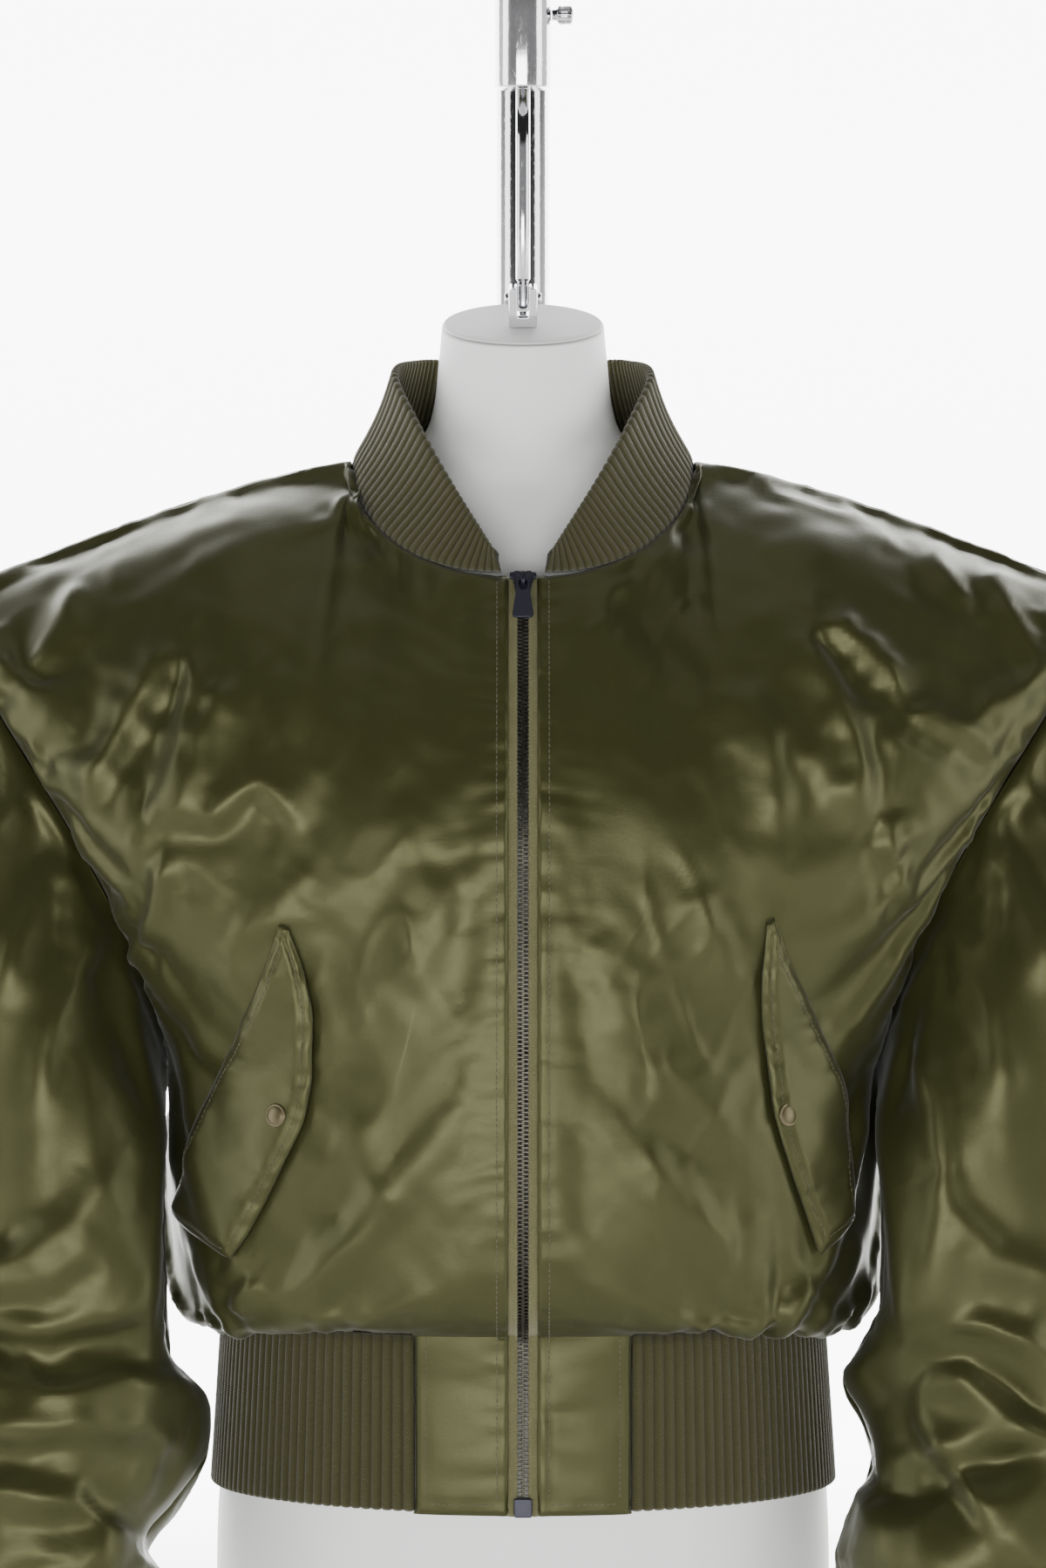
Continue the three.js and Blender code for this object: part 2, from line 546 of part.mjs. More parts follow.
// The tab below the front panel, on the line of the knit band
function tabPoint(across, v) {
  const top = sectionPoint(across, 0, -1);
  const share = v / V_TAB;
  const side = lerp(BAND_SIDE.waist, BAND_SIDE.hem, share);
  const deep = lerp(BAND_DEPTH.waist, BAND_DEPTH.hem, share);
  const y = -deep * Math.sqrt(1 - (top.x / side) ** 2) - 0.6;
  return new THREE.Vector3(top.x, lerp(top.y, y, ease(0, 0.3, share)), lerp(BAND_HEIGHT, -1, share));
}

// The body's surface: side -1 or 1, t from the centre front (0) past the side seam (1) to the centre back (2)
function skin(side, t, v) {
  const face = t <= 1 ? -1 : 1;
  const across = t <= 1 ? t : 2 - t;
  let point;
  if (v < 0) point = tabPoint(across, v);
  else if (v <= V_CHEST) point = sectionPoint(across, v, face);
  else point = topPoint(across, v, face);
  point.x *= side;
  return point;
}

function skinNormal(side, t, v) {
  const open = v > V_UNDERARM;
  const tLimits = !open ? [0, 2] : t <= 1 ? [0, 1] : [1.0001, 2];
  const vLimits = v < 0 ? [V_TAB, 0] : [0, 1];
  const surface = (a, b) => skin(side, a, b);
  return normalOf(surface, t, v, tLimits, vLimits).multiplyScalar(side);
}

// Height of the main folds and gathers over the plain surface
function bodyFold(side, t, v, point) {
  const face = t <= 1 ? -1 : 1;
  const across = t <= 1 ? t : 2 - t;
  let height = 0;
  for (const fold of BODY_FOLDS) {
    if (fold.face !== face) continue;
    const along = new THREE.Vector2(fold.x2 - fold.x, fold.z2 - fold.z);
    const offset = new THREE.Vector2(point.x - fold.x, point.z - fold.z);
    const share = offset.dot(along) / along.lengthSq();
    const away = Math.abs(offset.cross(along)) / along.length();
    const taper = ease(...FOLD_ENDS.start, share) * (1 - ease(...FOLD_ENDS.stop, share));
    height += fold.high * taper * Math.exp(-((away / fold.wide) ** 2));
  }
  const wave = Math.sin(GATHERS.waves * across + GATHERS.bend * Math.sin(across * GATHERS.bends + side));
  const [low, full, fade, top] = GATHERS.rows;
  const rise = ease(low, full, v) * (1 - ease(fade, top, v));
  height += GATHERS.high * wave * rise * ease(...GATHERS.clear, across);
  const edges = ease(0, FOLD_EDGES.centre, across) * (1 - ease(FOLD_EDGES.top, 1, v));
  const openEdge = v > V_UNDERARM - 0.05 ? 1 - ease(FOLD_EDGES.side, 1, across) : 1;
  return height * edges * openEdge;
}

// One point of a panel's wall, lifted from the surface by the folds and moved along the normal
function clothPoint(side, t, v, offset) {
  const point = skin(side, t, v);
  const normal = skinNormal(side, t, v);
  return point.clone().addScaledVector(normal, bodyFold(side, t, v, point) + offset);
}

// Shares of a list of places spread evenly between named stops
function spread(stops, counts) {
  return stops.slice(1).flatMap((stop, k) => range(counts[k], stops[k], stop).slice(k ? 1 : 0));
}

const TAB_SHARE = shareWithX(TAB_WIDTH);

// The share across the front at row 0 with a given x
function shareWithX(x) {
  let low = 0;
  let high = 1;
  for (let k = 0; k < 40; k++) {
    const middle = (low + high) / 2;
    if (sectionPoint(middle, 0, -1).x < x) low = middle;
    else high = middle;
  }
  return low;
}

// Leaves half a seam gap at the rim of a panel, in parameter space
const T_SEAM = 0.0008;
const V_SEAM = 0.001;

function bodyRows() {
  return spread(ROW_STOPS, ROW_COUNTS).map((v) => Math.min(v, 1 - V_SEAM));
}

function frontPanel(side) {
  const across = spread([0, TAB_SHARE, 1 - T_SEAM], [3, 15]);
  const rows = [...range(3, V_TAB, 0).slice(0, -1), ...bodyRows()];
  const bandRow = rows.findIndex((v) => Math.abs(v) < 1e-9);
  const grid = (offset) => rows.map((v) => across.map((t) => clothPoint(side, t, v, offset)));
  const mask = (i, j) => j >= bandRow || across[i] < TAB_SHARE - 1e-6;
  return wallOf(grid(0), grid(-WALL), { mask });
}

function backPanel() {
  const half = spread([1 + T_SEAM, 2 - T_NECK, 2], [9, 4]);
  const rows = bodyRows();
  const grid = (offset) =>
    rows.map((v) => [
      ...half.map((t) => clothPoint(1, t, v, offset)),
      ...half.slice(0, -1).reverse().map((t) => clothPoint(-1, t, v, offset)),
    ]);
  const lift = (points) => points.map((line) => line.map((p) => p.add(seamShift(p))));
  return wallOf(lift(grid(0)), lift(grid(-WALL)));
}

// Moves the back panel off the shoulder seam by the seam gap, fading down the back
function seamShift(point) {
  const near = ease(400, 470, point.z);
  return new THREE.Vector3(0, SEAM_GAP * near, 0);
}

// The sleeves

function sleeveRing(side, rows, s, turn) {
  const row = (column) => read(rows, "s", column, s);
  const inner = new THREE.Vector3(row("xIn"), row("y"), row("zIn"));
  const outer = new THREE.Vector3(row("xOut"), row("y"), row("zOut"));
  const share = (1 - Math.cos(turn)) / 2;
  const lean = row("y") * SLEEVE_LEAN; // the forearm swings forward, so its sections tip
  const depth = -row("deep") * Math.sin(turn);
  const plain = inner.lerp(outer, share);
  plain.y += depth - row("lead") * (1 - share) ** SLEEVE_LEAD_POWER;
  plain.z += depth * lean;
  const face = turn <= Math.PI ? -1 : 1;
  const seam = armhole(face < 0 ? turn : 2 * Math.PI - turn, face);
  const point = seam.lerp(plain, Math.sin((Math.PI / 2) * Math.min(s / SLEEVE_SEAM_REACH, 1)));
  point.x *= side;
  return point;
}

// The sleeve's first ring stands a seam gap from the armhole
function sleevePoint(side, rows, s, turn) {
  if (s > 0) return sleeveRing(side, rows, s, turn);
  const seam = sleeveRing(side, rows, 0, turn);
  const along = sleeveRing(side, rows, 0.02, turn).sub(seam).normalize();
  return seam.addScaledVector(along, SEAM_GAP);
}

function sleeveNormal(side, rows, s, turn) {
  const step = 0.01;
  const at = (ds, dturn) => sleeveRing(side, rows, clamp(s + ds, 0, 1), turn + dturn);
  const round = at(0, step).sub(at(0, -step));
  const down = at(step, 0).sub(at(-step, 0));
  const own = down.cross(round).normalize().multiplyScalar(side);
  const fromTop = Math.abs(turn - Math.PI);
  const share = (1 - ease(radians(70), radians(130), fromTop)) * (1 - ease(0, 0.05, s));
  if (share <= 0) return own;
  const face = turn <= Math.PI ? -1 : 1;
  const seamTurn = face < 0 ? turn : 2 * Math.PI - turn;
  const v = V_UNDERARM + (1 - V_UNDERARM) * (seamTurn / Math.PI);
  return own.lerp(skinNormal(side, face < 0 ? 1 : 1.0002, Math.min(v, 1)), share).normalize();
}

function sleeveFold(folds, s, turn) {
  let height = 0;
  for (const fold of folds) {
    const round = THREE.MathUtils.euclideanModulo(turn - radians(fold.turn) + Math.PI, 2 * Math.PI) - Math.PI;
    const across = round / radians(fold.wide);
    const down = (s - fold.s) / fold.tall;
    height += fold.high * Math.exp(-across * across - down * down);
  }
  return height * ease(0.05, 0.2, s) * (1 - ease(0.95, 1, s));
}

function sleeve(side, rows, folds) {
  const places = spread([0, 0.2, 1], [4, 17]);
  const half = spread(ROW_STOPS, ROW_COUNTS).filter((v) => v >= V_UNDERARM).map(armholeTurn);
  const turns = [...half, ...half.slice(1, -1).reverse().map((turn) => 2 * Math.PI - turn)];
  const point = (s, turn, offset) => {
    const normal = sleeveNormal(side, rows, s, turn);
    return sleevePoint(side, rows, s, turn).addScaledVector(normal, sleeveFold(folds, s, turn) + offset);
  };
  const grid = (offset) => places.map((s) => turns.map((turn) => point(s, turn, offset)));
  return wallOf(grid(0), grid(-WALL), { closed: true });
}

// A knit cuff below the sleeve's last section
function cuff(side, rows) {
  const last = rows[rows.length - 1];
  const middle = (last.xIn + last.xOut) / 2;
  const half = (last.xOut - last.xIn) / 2;
  const slope = (last.zOut - last.zIn) / (2 * half);
  const lean = last.y * SLEEVE_LEAN;
  const place = (share, level, offset) => {
    const turn = share * 2 * Math.PI;
    const wide = half - CUFF_END.inset * level + offset;
    const deep = lerp(last.deep, CUFF_END.deep, level) + offset;
    const out = -wide * Math.cos(turn);
    const back = -deep * Math.sin(turn);
    return new THREE.Vector3(
      side * (middle + out),
      last.y + CUFF_END.y * level + back,
      (last.zIn + last.zOut) / 2 + slope * out + lean * back - CUFF_END.below - CUFF_END.drop * level,
    );
  };
  const outer = (share, level, ridge) => place(share, level, ridge ? 0 : -RIB_RELIEF);
  const inner = (share, level) => place(share, level, -RIB_WALL);
  return ribbedWall(outer, inner, CUFF_RIBS, 24, [0, 1], true);
}

// The knit waistband, from tab to tab round the back
function waistband() {
  const place = (share, level, offset) => {
    const side = lerp(BAND_SIDE.hem, BAND_SIDE.waist, level) + offset;
    const deep = lerp(BAND_DEPTH.hem, BAND_DEPTH.waist, level) + offset;
    const start = Math.asin((TAB_WIDTH + SEAM_GAP) / (lerp(BAND_SIDE.hem, BAND_SIDE.waist, level) - RIB_WALL));
    const angle = lerp(start, 2 * Math.PI - start, share);
    return new THREE.Vector3(side * Math.sin(angle), -deep * Math.cos(angle), level * (BAND_HEIGHT - SEAM_GAP));
  };
  const outer = (share, level, ridge) => place(share, level, ridge ? 0 : -RIB_RELIEF);
  const inner = (share, level) => place(share, level, -RIB_WALL);
  return ribbedWall(outer, inner, BAND_RIBS, 44, [0, 1], false);
}

// The knit collar, from one front end round the back to the other
function collarPoint(share, level) {
  const around = share * 360;
  const side = around <= 180 ? 1 : -1;
  const angle = around <= 180 ? around : 360 - around;
  const seam = angle <= 90 ? neckline(radians(angle), -1) : neckline(radians(180 - angle), 1);
  const row = (column) => read(COLLAR_ROWS, "angle", column, angle);
  const top = new THREE.Vector3(row("x"), row("y"), row("z"));
  const rise = top.clone().sub(seam);
  const start = seam.addScaledVector(rise.clone().normalize(), COLLAR_SEAM);
  const point = start.lerp(top, level);
  const hollow = COLLAR_HOLLOW * Math.sin(Math.PI * level) * ease(20, 60, angle);
  const inward = new THREE.Vector3(point.x, point.y - 10, 0).normalize();
  point.addScaledVector(inward, -hollow);
  point.x *= side;
  return point;
}

function collar() {
  const ends = [COLLAR_FRONT, 1 - COLLAR_FRONT];
  const point = (share, level, offset) => {
    const at = lerp(...ends, share);
    const normal = normalOf(collarPoint, at, level, ends, [0, 1]);
    return collarPoint(at, level).addScaledVector(normal, offset);
  };
  const outer = (share, level, ridge) => point(share, level, ridge ? 0 : -RIB_RELIEF);
  const inner = (share, level) => point(share, level, -RIB_WALL);
  return ribbedWall(outer, inner, COLLAR_RIBS, 40, [0, 0.5, 1], false);
}

// The zip, down the centre front

// A point beside the zip's line: how far across, how far out of the surface
function zipPoint(across, v, out) {
  const line = skin(1, 0, v);
  const below = skin(1, 0, Math.max(v - 0.01, V_TAB));
  const above = skin(1, 0, Math.min(v + 0.01, 1));
  const up = above.sub(below);
  const outward = new THREE.Vector3(0, -up.z, up.y).normalize();
  return new THREE.Vector3(across, line.y, line.z).addScaledVector(outward, out);
}

function zipStrip(from, to, front, back) {
  const rows = spread([V_TAB, 0, V_UNDERARM, V_CHEST, ZIP_TOP], [2, 6, 4, 6]);
  const grid = (out) => rows.map((v) => [zipPoint(from, v, out), zipPoint(to, v, out)]);
  return wallOf(grid(front), grid(back));
}

function block(width, deep, height) {
  return new THREE.BoxGeometry(width, deep, height);
}

// The slider with its bridge, as one extruded profile seen from the side
function sliderProfile() {
  const half = SLIDER.length / 2;
  const shape = new THREE.Shape();
  shape.moveTo(0, -half);
  shape.lineTo(SLIDER.thick, -half);
  shape.lineTo(SLIDER.thick, half);
  shape.lineTo(0, half);
  return new THREE.ExtrudeGeometry(shape, { depth: SLIDER.width, bevelEnabled: false });
}

function bridgeProfile() {
  const half = BRIDGE.height / 2;
  const shape = new THREE.Shape();
  shape.moveTo(0, -half);
  shape.lineTo(BRIDGE.reach, -half + 1);
  shape.lineTo(BRIDGE.reach, half - 1);
  shape.lineTo(0, half);
  shape.lineTo(0, half - BRIDGE.bar);
  shape.lineTo(BRIDGE.reach - BRIDGE.bar, half - BRIDGE.bar - 0.6);
  shape.lineTo(BRIDGE.reach - BRIDGE.bar, -half + BRIDGE.bar + 0.6);
  shape.lineTo(0, -half + BRIDGE.bar);
  return new THREE.ExtrudeGeometry(shape, { depth: BRIDGE.width, bevelEnabled: false });
}

// Puts an extruded side profile (out, up) into the frame: its depth runs along X, centred
function turnProfile(geometry, depth) {
  geometry.applyMatrix4(new THREE.Matrix4().makeBasis(
    new THREE.Vector3(0, -1, 0),
    new THREE.Vector3(0, 0, 1),
    new THREE.Vector3(-1, 0, 0),
  ));
  geometry.translate(depth / 2, 0, 0);
  return geometry;
}

function pullTab() {
  const shape = new THREE.Shape();
  const neck = PULL.neck / 2;
  const foot = PULL.width / 2;
  shape.moveTo(-neck, PULL.bar);
  shape.lineTo(neck, PULL.bar);
  shape.lineTo(neck, -PULL.eye);
  shape.lineTo(foot, -PULL.length + 3);
  shape.quadraticCurveTo(foot, -PULL.length, foot - 3, -PULL.length);
  shape.lineTo(-foot + 3, -PULL.length);
  shape.quadraticCurveTo(-foot, -PULL.length, -foot, -PULL.length + 3);
  shape.lineTo(-neck, -PULL.eye);
  const eye = new THREE.Path();
  const half = PULL.eyeWidth / 2;
  eye.moveTo(-half, -0.9);
  eye.lineTo(-half, -PULL.eye + 1);
  eye.lineTo(half, -PULL.eye + 1);
  eye.lineTo(half, -0.9);
  shape.holes.push(eye);
  const geometry = new THREE.ExtrudeGeometry(shape, { depth: PULL.thick, bevelEnabled: false, curveSegments: 3 });
  geometry.rotateX(Math.PI / 2);
  geometry.translate(0, PULL.thick / 2, 0);
  return geometry;
}

function zip() {
  const tapeOuter = ZIP_HALF_GAP - SEAM_GAP;
  add(garment, "zip_tape_left", zipStrip(TAPE.inner, tapeOuter, TAPE.front, TAPE.back), materials.tape);
  add(garment, "zip_tape_right", zipStrip(-tapeOuter, -TAPE.inner, TAPE.front, TAPE.back), materials.tape);
  add(garment, "zip_chain", zipStrip(-CHAIN.half, CHAIN.half, CHAIN.front, CHAIN.back), materials.metal);
  const top = zipPoint(0, ZIP_TOP, 0);
  const low = zipPoint(0, ZIP_TOP - 0.045, 0);
  const up = top.clone().sub(low).normalize();
  const tilt = Math.atan2(up.y, up.z);
  const place = new THREE.Group();
  place.position.copy(top.addScaledVector(up, -SLIDER.drop));
  place.rotation.x = -tilt;
  garment.add(place);
  const rise = CHAIN.front + SLIDER.lift;
  const slider = turnProfile(sliderProfile(), SLIDER.width);
  slider.translate(0, -rise, 0);
  add(place, "zip_slider", slider, materials.metal);
  const bridge = turnProfile(bridgeProfile(), BRIDGE.width);
  bridge.translate(0, -rise - SLIDER.thick - SEAM_GAP, 0);
  add(place, "zip_bridge", bridge, materials.metal);
  const pull = add(place, "zip_pull", pullTab(), materials.metal);
  pull.position.set(0, -rise - SLIDER.thick - PULL.seat, 0);
  const foot = zipPoint(0, V_TAB, CHAIN.front);
  const stop = add(garment, "zip_stop", block(STOP.width, STOP.thick, STOP.height), materials.metal);
  stop.position.set(0, foot.y - STOP.thick / 2 - STOP.lift, foot.z + STOP.height / 2);
}

// Pocket flaps

// The share across and the row of the front surface with a given x and z in the front view
function onFront(side, x, z) {
  let t = 0.5;
  let v = 0.35;
  const step = 0.001;
  for (let k = 0; k < 30; k++) {
    const here = skin(side, t, v);
    const dt = skin(side, t + step, v).sub(here);
    const dv = skin(side, t, v + step).sub(here);
    const area = dt.x * dv.z - dv.x * dt.z;
    const ex = x - here.x;
    const ez = z - here.z;
    t = clamp(t + (step * (ex * dv.z - dv.x * ez)) / area, 0.02, 0.98);
    v = clamp(v + (step * (dt.x * ez - ex * dt.z)) / area, 0.02, 0.98);
  }
  return [t, v];
}

function flap(plan) {
  const places = range(8);
  const widths = range(4);
  const bedAt = (a, b) => {
    const at = (column) => read(plan.rows, "b", column, b);
    const [t1, v1] = onFront(plan.side, at("xSewn"), at("zSewn"));
    const [t2, v2] = onFront(plan.side, at("xFree"), at("zFree"));
    return [lerp(t1, t2, a), lerp(v1, v2, a)];
  };
  const grid = (wall) =>
    places.map((b) =>
      widths.map((a) => {
        const [t, v] = bedAt(a, b);
        return clothPoint(plan.side, t, v, lerp(FLAP_LIFT.sewn, FLAP_LIFT.free, a * a) + wall);
      }),
    );
  return wallOf(grid(FLAP_WALL), grid(0));
}

function snap(plan) {
  const [t, v] = onFront(plan.side, plan.snap.x, plan.snap.z);
  const normal = skinNormal(plan.side, t, v);
  const geometry = new THREE.CylinderGeometry(SNAP.radius - 1, SNAP.radius, SNAP.thick, 20);
  const bed = clothPoint(plan.side, t, v, FLAP_LIFT.free + FLAP_WALL + SNAP.lift + SNAP.thick / 2);
  const up = new THREE.Quaternion().setFromUnitVectors(new THREE.Vector3(0, 1, 0), normal);
  geometry.applyQuaternion(up);
  return { geometry, bed };
}

// The dress form

function formRing(row, count = 24) {
  const middle = lerp(FORM_MIDDLE.low, FORM_MIDDLE.high, ease(300, 520, row.z));
  return Array.from({ length: count }, (_, i) => {
    const angle = (i / count) * 2 * Math.PI;
    const deep = Math.cos(angle) > 0 ? row.front : row.back;
    const pinch = FORM_PINCH.most * ease(FORM_PINCH.from, FORM_PINCH.full, row.z) * (1 - ease(545, 575, row.z));
    const reach = Math.sign(Math.cos(angle)) * Math.abs(Math.cos(angle)) ** (1 + pinch);
    return new THREE.Vector3(row.side * Math.sin(angle), middle - deep * reach, row.z);
  });
}

function dressForm() {
  const rows = FORM_HEIGHTS.map((z) => {
    const at = (column) => read(FORM_ROWS, "z", column, z);
    return { z, side: at("side"), front: at("front"), back: at("back") };
  });
  const rings = rows.map((row) => formRing(row));
  const tilt = Math.tan(radians(FORM_NECK_TOP.tilt));
  const top = formRing(FORM_NECK_TOP).map((p) => p.setZ(p.z + (p.y - FORM_MIDDLE.high) * tilt));
  return loft([...rings, top]);
}

// The stand

function tubeAlong(points, radius, sides = 16) {
  const rings = points.map((point, k) => {
    const before = points[Math.max(k - 1, 0)];
    const after = points[Math.min(k + 1, points.length - 1)];
    const along = after.clone().sub(before).normalize();
    const across = new THREE.Vector3(1, 0, 0);
    const up = across.clone().cross(along);
    return Array.from({ length: sides }, (_, i) => {
      const angle = (i / sides) * 2 * Math.PI;
      return point
        .clone()
        .addScaledVector(across, radius * Math.cos(angle))
        .addScaledVector(up, radius * Math.sin(angle));
    });
  });
  return loft(rings);
}

// The plate, its socket, and the tube that rises, bends over and comes down over the form
function bentTube() {
  const plate = new THREE.Shape();
  const half = PLATE.width / 2;
  const r = PLATE.corner;
  plate.moveTo(-half + r, PLATE.front);
  plate.lineTo(half - r, PLATE.front);
  plate.absarc(half - r, PLATE.front + r, r, -Math.PI / 2, 0, false);
  plate.lineTo(half, PLATE.back - r);
  plate.absarc(half - r, PLATE.back - r, r, 0, Math.PI / 2, false);
  plate.lineTo(-half + r, PLATE.back);
  plate.absarc(-half + r, PLATE.back - r, r, Math.PI / 2, Math.PI, false);
  plate.lineTo(-half, PLATE.front + r);
  plate.absarc(-half + r, PLATE.front + r, r, Math.PI, Math.PI * 1.5, false);
  const plateSolid = new THREE.ExtrudeGeometry(plate, { depth: PLATE.thick, bevelEnabled: false, curveSegments: 6 });
  add(object, "stand_plate", plateSolid, materials.chrome);

  const at = (y, z) => new THREE.Vector3(0, y, z);
  const socketTop = PLATE.thick + SEAM_GAP + SOCKET.height;
  const socket = tubeAlong([at(COLUMN_Y, PLATE.thick + SEAM_GAP), at(COLUMN_Y, socketTop)], SOCKET.radius, 24);
  add(object, "stand_socket", socket, materials.chrome);
  const column = tubeAlong([at(COLUMN_Y, socketTop + SEAM_GAP), at(COLUMN_Y, BEND_HEIGHT)], TUBE_RADIUS);
  add(object, "stand_column", column, materials.chrome);
  const start = BEND_HEIGHT + SEAM_GAP;
  const arc = range(12, 0, Math.PI).map((angle) =>
    at((COLUMN_Y / 2) * (1 + Math.cos(angle)), start + BEND_COLLAR + (COLUMN_Y / 2) * Math.sin(angle)),
  );
  add(object, "stand_bend", tubeAlong([at(COLUMN_Y, start), ...arc, at(0, start)], TUBE_RADIUS), materials.chrome);
  add(object, "stand_drop_tube", tubeAlong([at(0, BEND_HEIGHT), at(0, TUBE_END)], TUBE_RADIUS), materials.chrome);
}

// A ring of points round an axis; place puts one point (across, up) into the frame
function roundRow(radius, place) {
  return range(16).slice(0, -1).map((share) => {
    const angle = share * 2 * Math.PI;
    return place(radius * Math.cos(angle), radius * Math.sin(angle));
  });
}

// The rod that hangs from the tube, down to the pin in the fork
function hangingRod(neckTop) {
  const level = (z, radius) => roundRow(radius, (x, y) => new THREE.Vector3(x, y, z));
  const pin = neckTop + FORK.base + ROD.overFork;
  const shoulder = neckTop + FORK.height + ROD.overShoulder;
  const rod = loft([
    level(pin, ROD.tipRadius - ROD.chamfer),
    level(pin + ROD.overShoulder, ROD.tipRadius),
    level(shoulder, ROD.tipRadius),
    level(shoulder + ROD.radius - ROD.tipRadius, ROD.radius),
    level(TUBE_END - SEAM_GAP, ROD.radius),
  ]);
  add(object, "hanging_rod", rod, materials.chrome);
}

// The fork on the sloping top of the form's neck, with a screw head on each side
function neckFork(neckTop) {
  const fork = new THREE.Shape();
  const wide = FORK.width / 2;
  const slot = FORK.slot / 2;
  fork.moveTo(-wide, 0);
  fork.lineTo(wide, 0);
  fork.lineTo(wide, FORK.height);
  fork.lineTo(slot, FORK.height);
  fork.lineTo(slot, FORK.base);
  fork.lineTo(-slot, FORK.base);
  fork.lineTo(-slot, FORK.height);
  fork.lineTo(-wide, FORK.height);
  const forkSolid = new THREE.ExtrudeGeometry(fork, { depth: FORK.deep, bevelEnabled: false });
  forkSolid.rotateX(Math.PI / 2);
  forkSolid.translate(0, FORK.deep / 2, SEAM_GAP);
  const place = new THREE.Group();
  place.position.set(0, 0, neckTop);
  place.rotation.x = radians(FORM_NECK_TOP.tilt);
  object.add(place);
  add(place, "neck_fork", forkSolid, materials.chrome);
  for (const [name, side] of [["fork_screw_left", 1], ["fork_screw_right", -1]]) {
    const head = new THREE.CylinderGeometry(FORK_SCREW.face, FORK_SCREW.foot, FORK_SCREW.thick, 12);
    head.rotateZ((-side * Math.PI) / 2);
    const mesh = add(place, name, head, materials.chrome);
    mesh.position.set(side * (wide + FORK_SCREW.thick / 2 + SEAM_GAP), 0, FORK.base + FORK_SCREW.over);
  }
}

function thumbScrew() {
  const screw = new THREE.Group();
  screw.position.set(TUBE_RADIUS + SEAM_GAP, 0, THUMB_SCREW.z);
  object.add(screw);
  const ring = (x, radius) => roundRow(radius, (y, z) => new THREE.Vector3(x, y, z));
  const head = THUMB_SCREW.reach + THUMB_SCREW.headLength;
  add(screw, "thumb_screw", loft([
    ring(0, THUMB_SCREW.neck),
    ring(THUMB_SCREW.reach - THUMB_SCREW.step, THUMB_SCREW.neck),
    ring(THUMB_SCREW.reach, THUMB_SCREW.head),
    ring(head, THUMB_SCREW.head),
  ]), materials.chrome);
}

function stand() {
  const neckTop = HEM_HEIGHT + FORM_NECK_TOP.z - FORM_MIDDLE.high * Math.tan(radians(FORM_NECK_TOP.tilt));
  bentTube();
  hangingRod(neckTop);
  neckFork(neckTop);
  thumbScrew();
}

// Everything together

add(garment, "front_right", frontPanel(-1), materials.satin);
add(garment, "front_left", frontPanel(1), materials.satin);
add(garment, "back", backPanel(), materials.satin);
add(garment, "sleeve_right", sleeve(-1, SLEEVE_RIGHT_ARM, SLEEVE_FOLDS.right_arm), materials.satin);
add(garment, "sleeve_left", sleeve(1, SLEEVE_LEFT_ARM, SLEEVE_FOLDS.left_arm), materials.satin);
add(garment, "cuff_right", cuff(-1, SLEEVE_RIGHT_ARM), materials.knit);
add(garment, "cuff_left", cuff(1, SLEEVE_LEFT_ARM), materials.knit);
add(garment, "waistband", waistband(), materials.knit);
add(garment, "collar", collar(), materials.knit);
zip();
for (const [name, plan] of Object.entries(FLAPS)) {
  add(garment, `pocket_flap_${name}`, flap(plan), materials.satin);
  const { geometry, bed } = snap(plan);
  add(garment, `snap_${name}`, geometry, materials.snap).position.copy(bed);
}
add(garment, "dress_form", dressForm(), materials.form);
stand();

export default object;
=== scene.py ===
"""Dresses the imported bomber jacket, its dress form and its stand for a studio picture.

Lengths in the tables are millimetres. Heights of the jacket are measured from its hem.
"""
import math

import bpy
import numpy as np
from bpy.props import FloatProperty, FloatVectorProperty, PointerProperty
from bpy.types import Operator, Panel, PropertyGroup
from mathutils import Matrix, Vector


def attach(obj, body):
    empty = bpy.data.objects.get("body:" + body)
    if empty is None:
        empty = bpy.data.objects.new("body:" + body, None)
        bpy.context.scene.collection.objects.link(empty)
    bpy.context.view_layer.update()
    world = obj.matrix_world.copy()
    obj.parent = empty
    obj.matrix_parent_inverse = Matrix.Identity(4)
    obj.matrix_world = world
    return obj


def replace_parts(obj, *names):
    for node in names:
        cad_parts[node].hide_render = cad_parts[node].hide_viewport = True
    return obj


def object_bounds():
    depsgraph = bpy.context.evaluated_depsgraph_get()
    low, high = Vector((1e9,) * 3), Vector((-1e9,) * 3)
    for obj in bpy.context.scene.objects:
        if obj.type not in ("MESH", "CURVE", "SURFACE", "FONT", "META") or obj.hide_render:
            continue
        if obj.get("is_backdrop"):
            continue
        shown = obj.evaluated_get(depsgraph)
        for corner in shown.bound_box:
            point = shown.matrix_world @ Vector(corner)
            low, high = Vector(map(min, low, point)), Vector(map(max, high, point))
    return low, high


bl_info = {
    "name": "Bomber jacket on a dress form",
    "version": (1, 0, 0),
    "blender": (4, 5, 0),
    "location": "View3D > Sidebar > Jacket",
    "description": "Builds the cloth, knit, zip, dress form, stand and studio around the packed jacket",
    "category": "Object",
}

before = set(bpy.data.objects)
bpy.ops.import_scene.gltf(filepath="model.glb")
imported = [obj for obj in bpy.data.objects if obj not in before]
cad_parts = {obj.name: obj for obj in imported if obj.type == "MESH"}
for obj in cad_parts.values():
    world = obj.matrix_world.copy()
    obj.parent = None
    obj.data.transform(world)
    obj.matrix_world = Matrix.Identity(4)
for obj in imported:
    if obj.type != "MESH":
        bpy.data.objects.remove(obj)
CAD_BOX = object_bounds()
ROOT_BODY = "jacket_and_stand"
PULL_BODY = "pull"
HEM_HEIGHT = 300.0

# The jacket's cut, as the solids have it

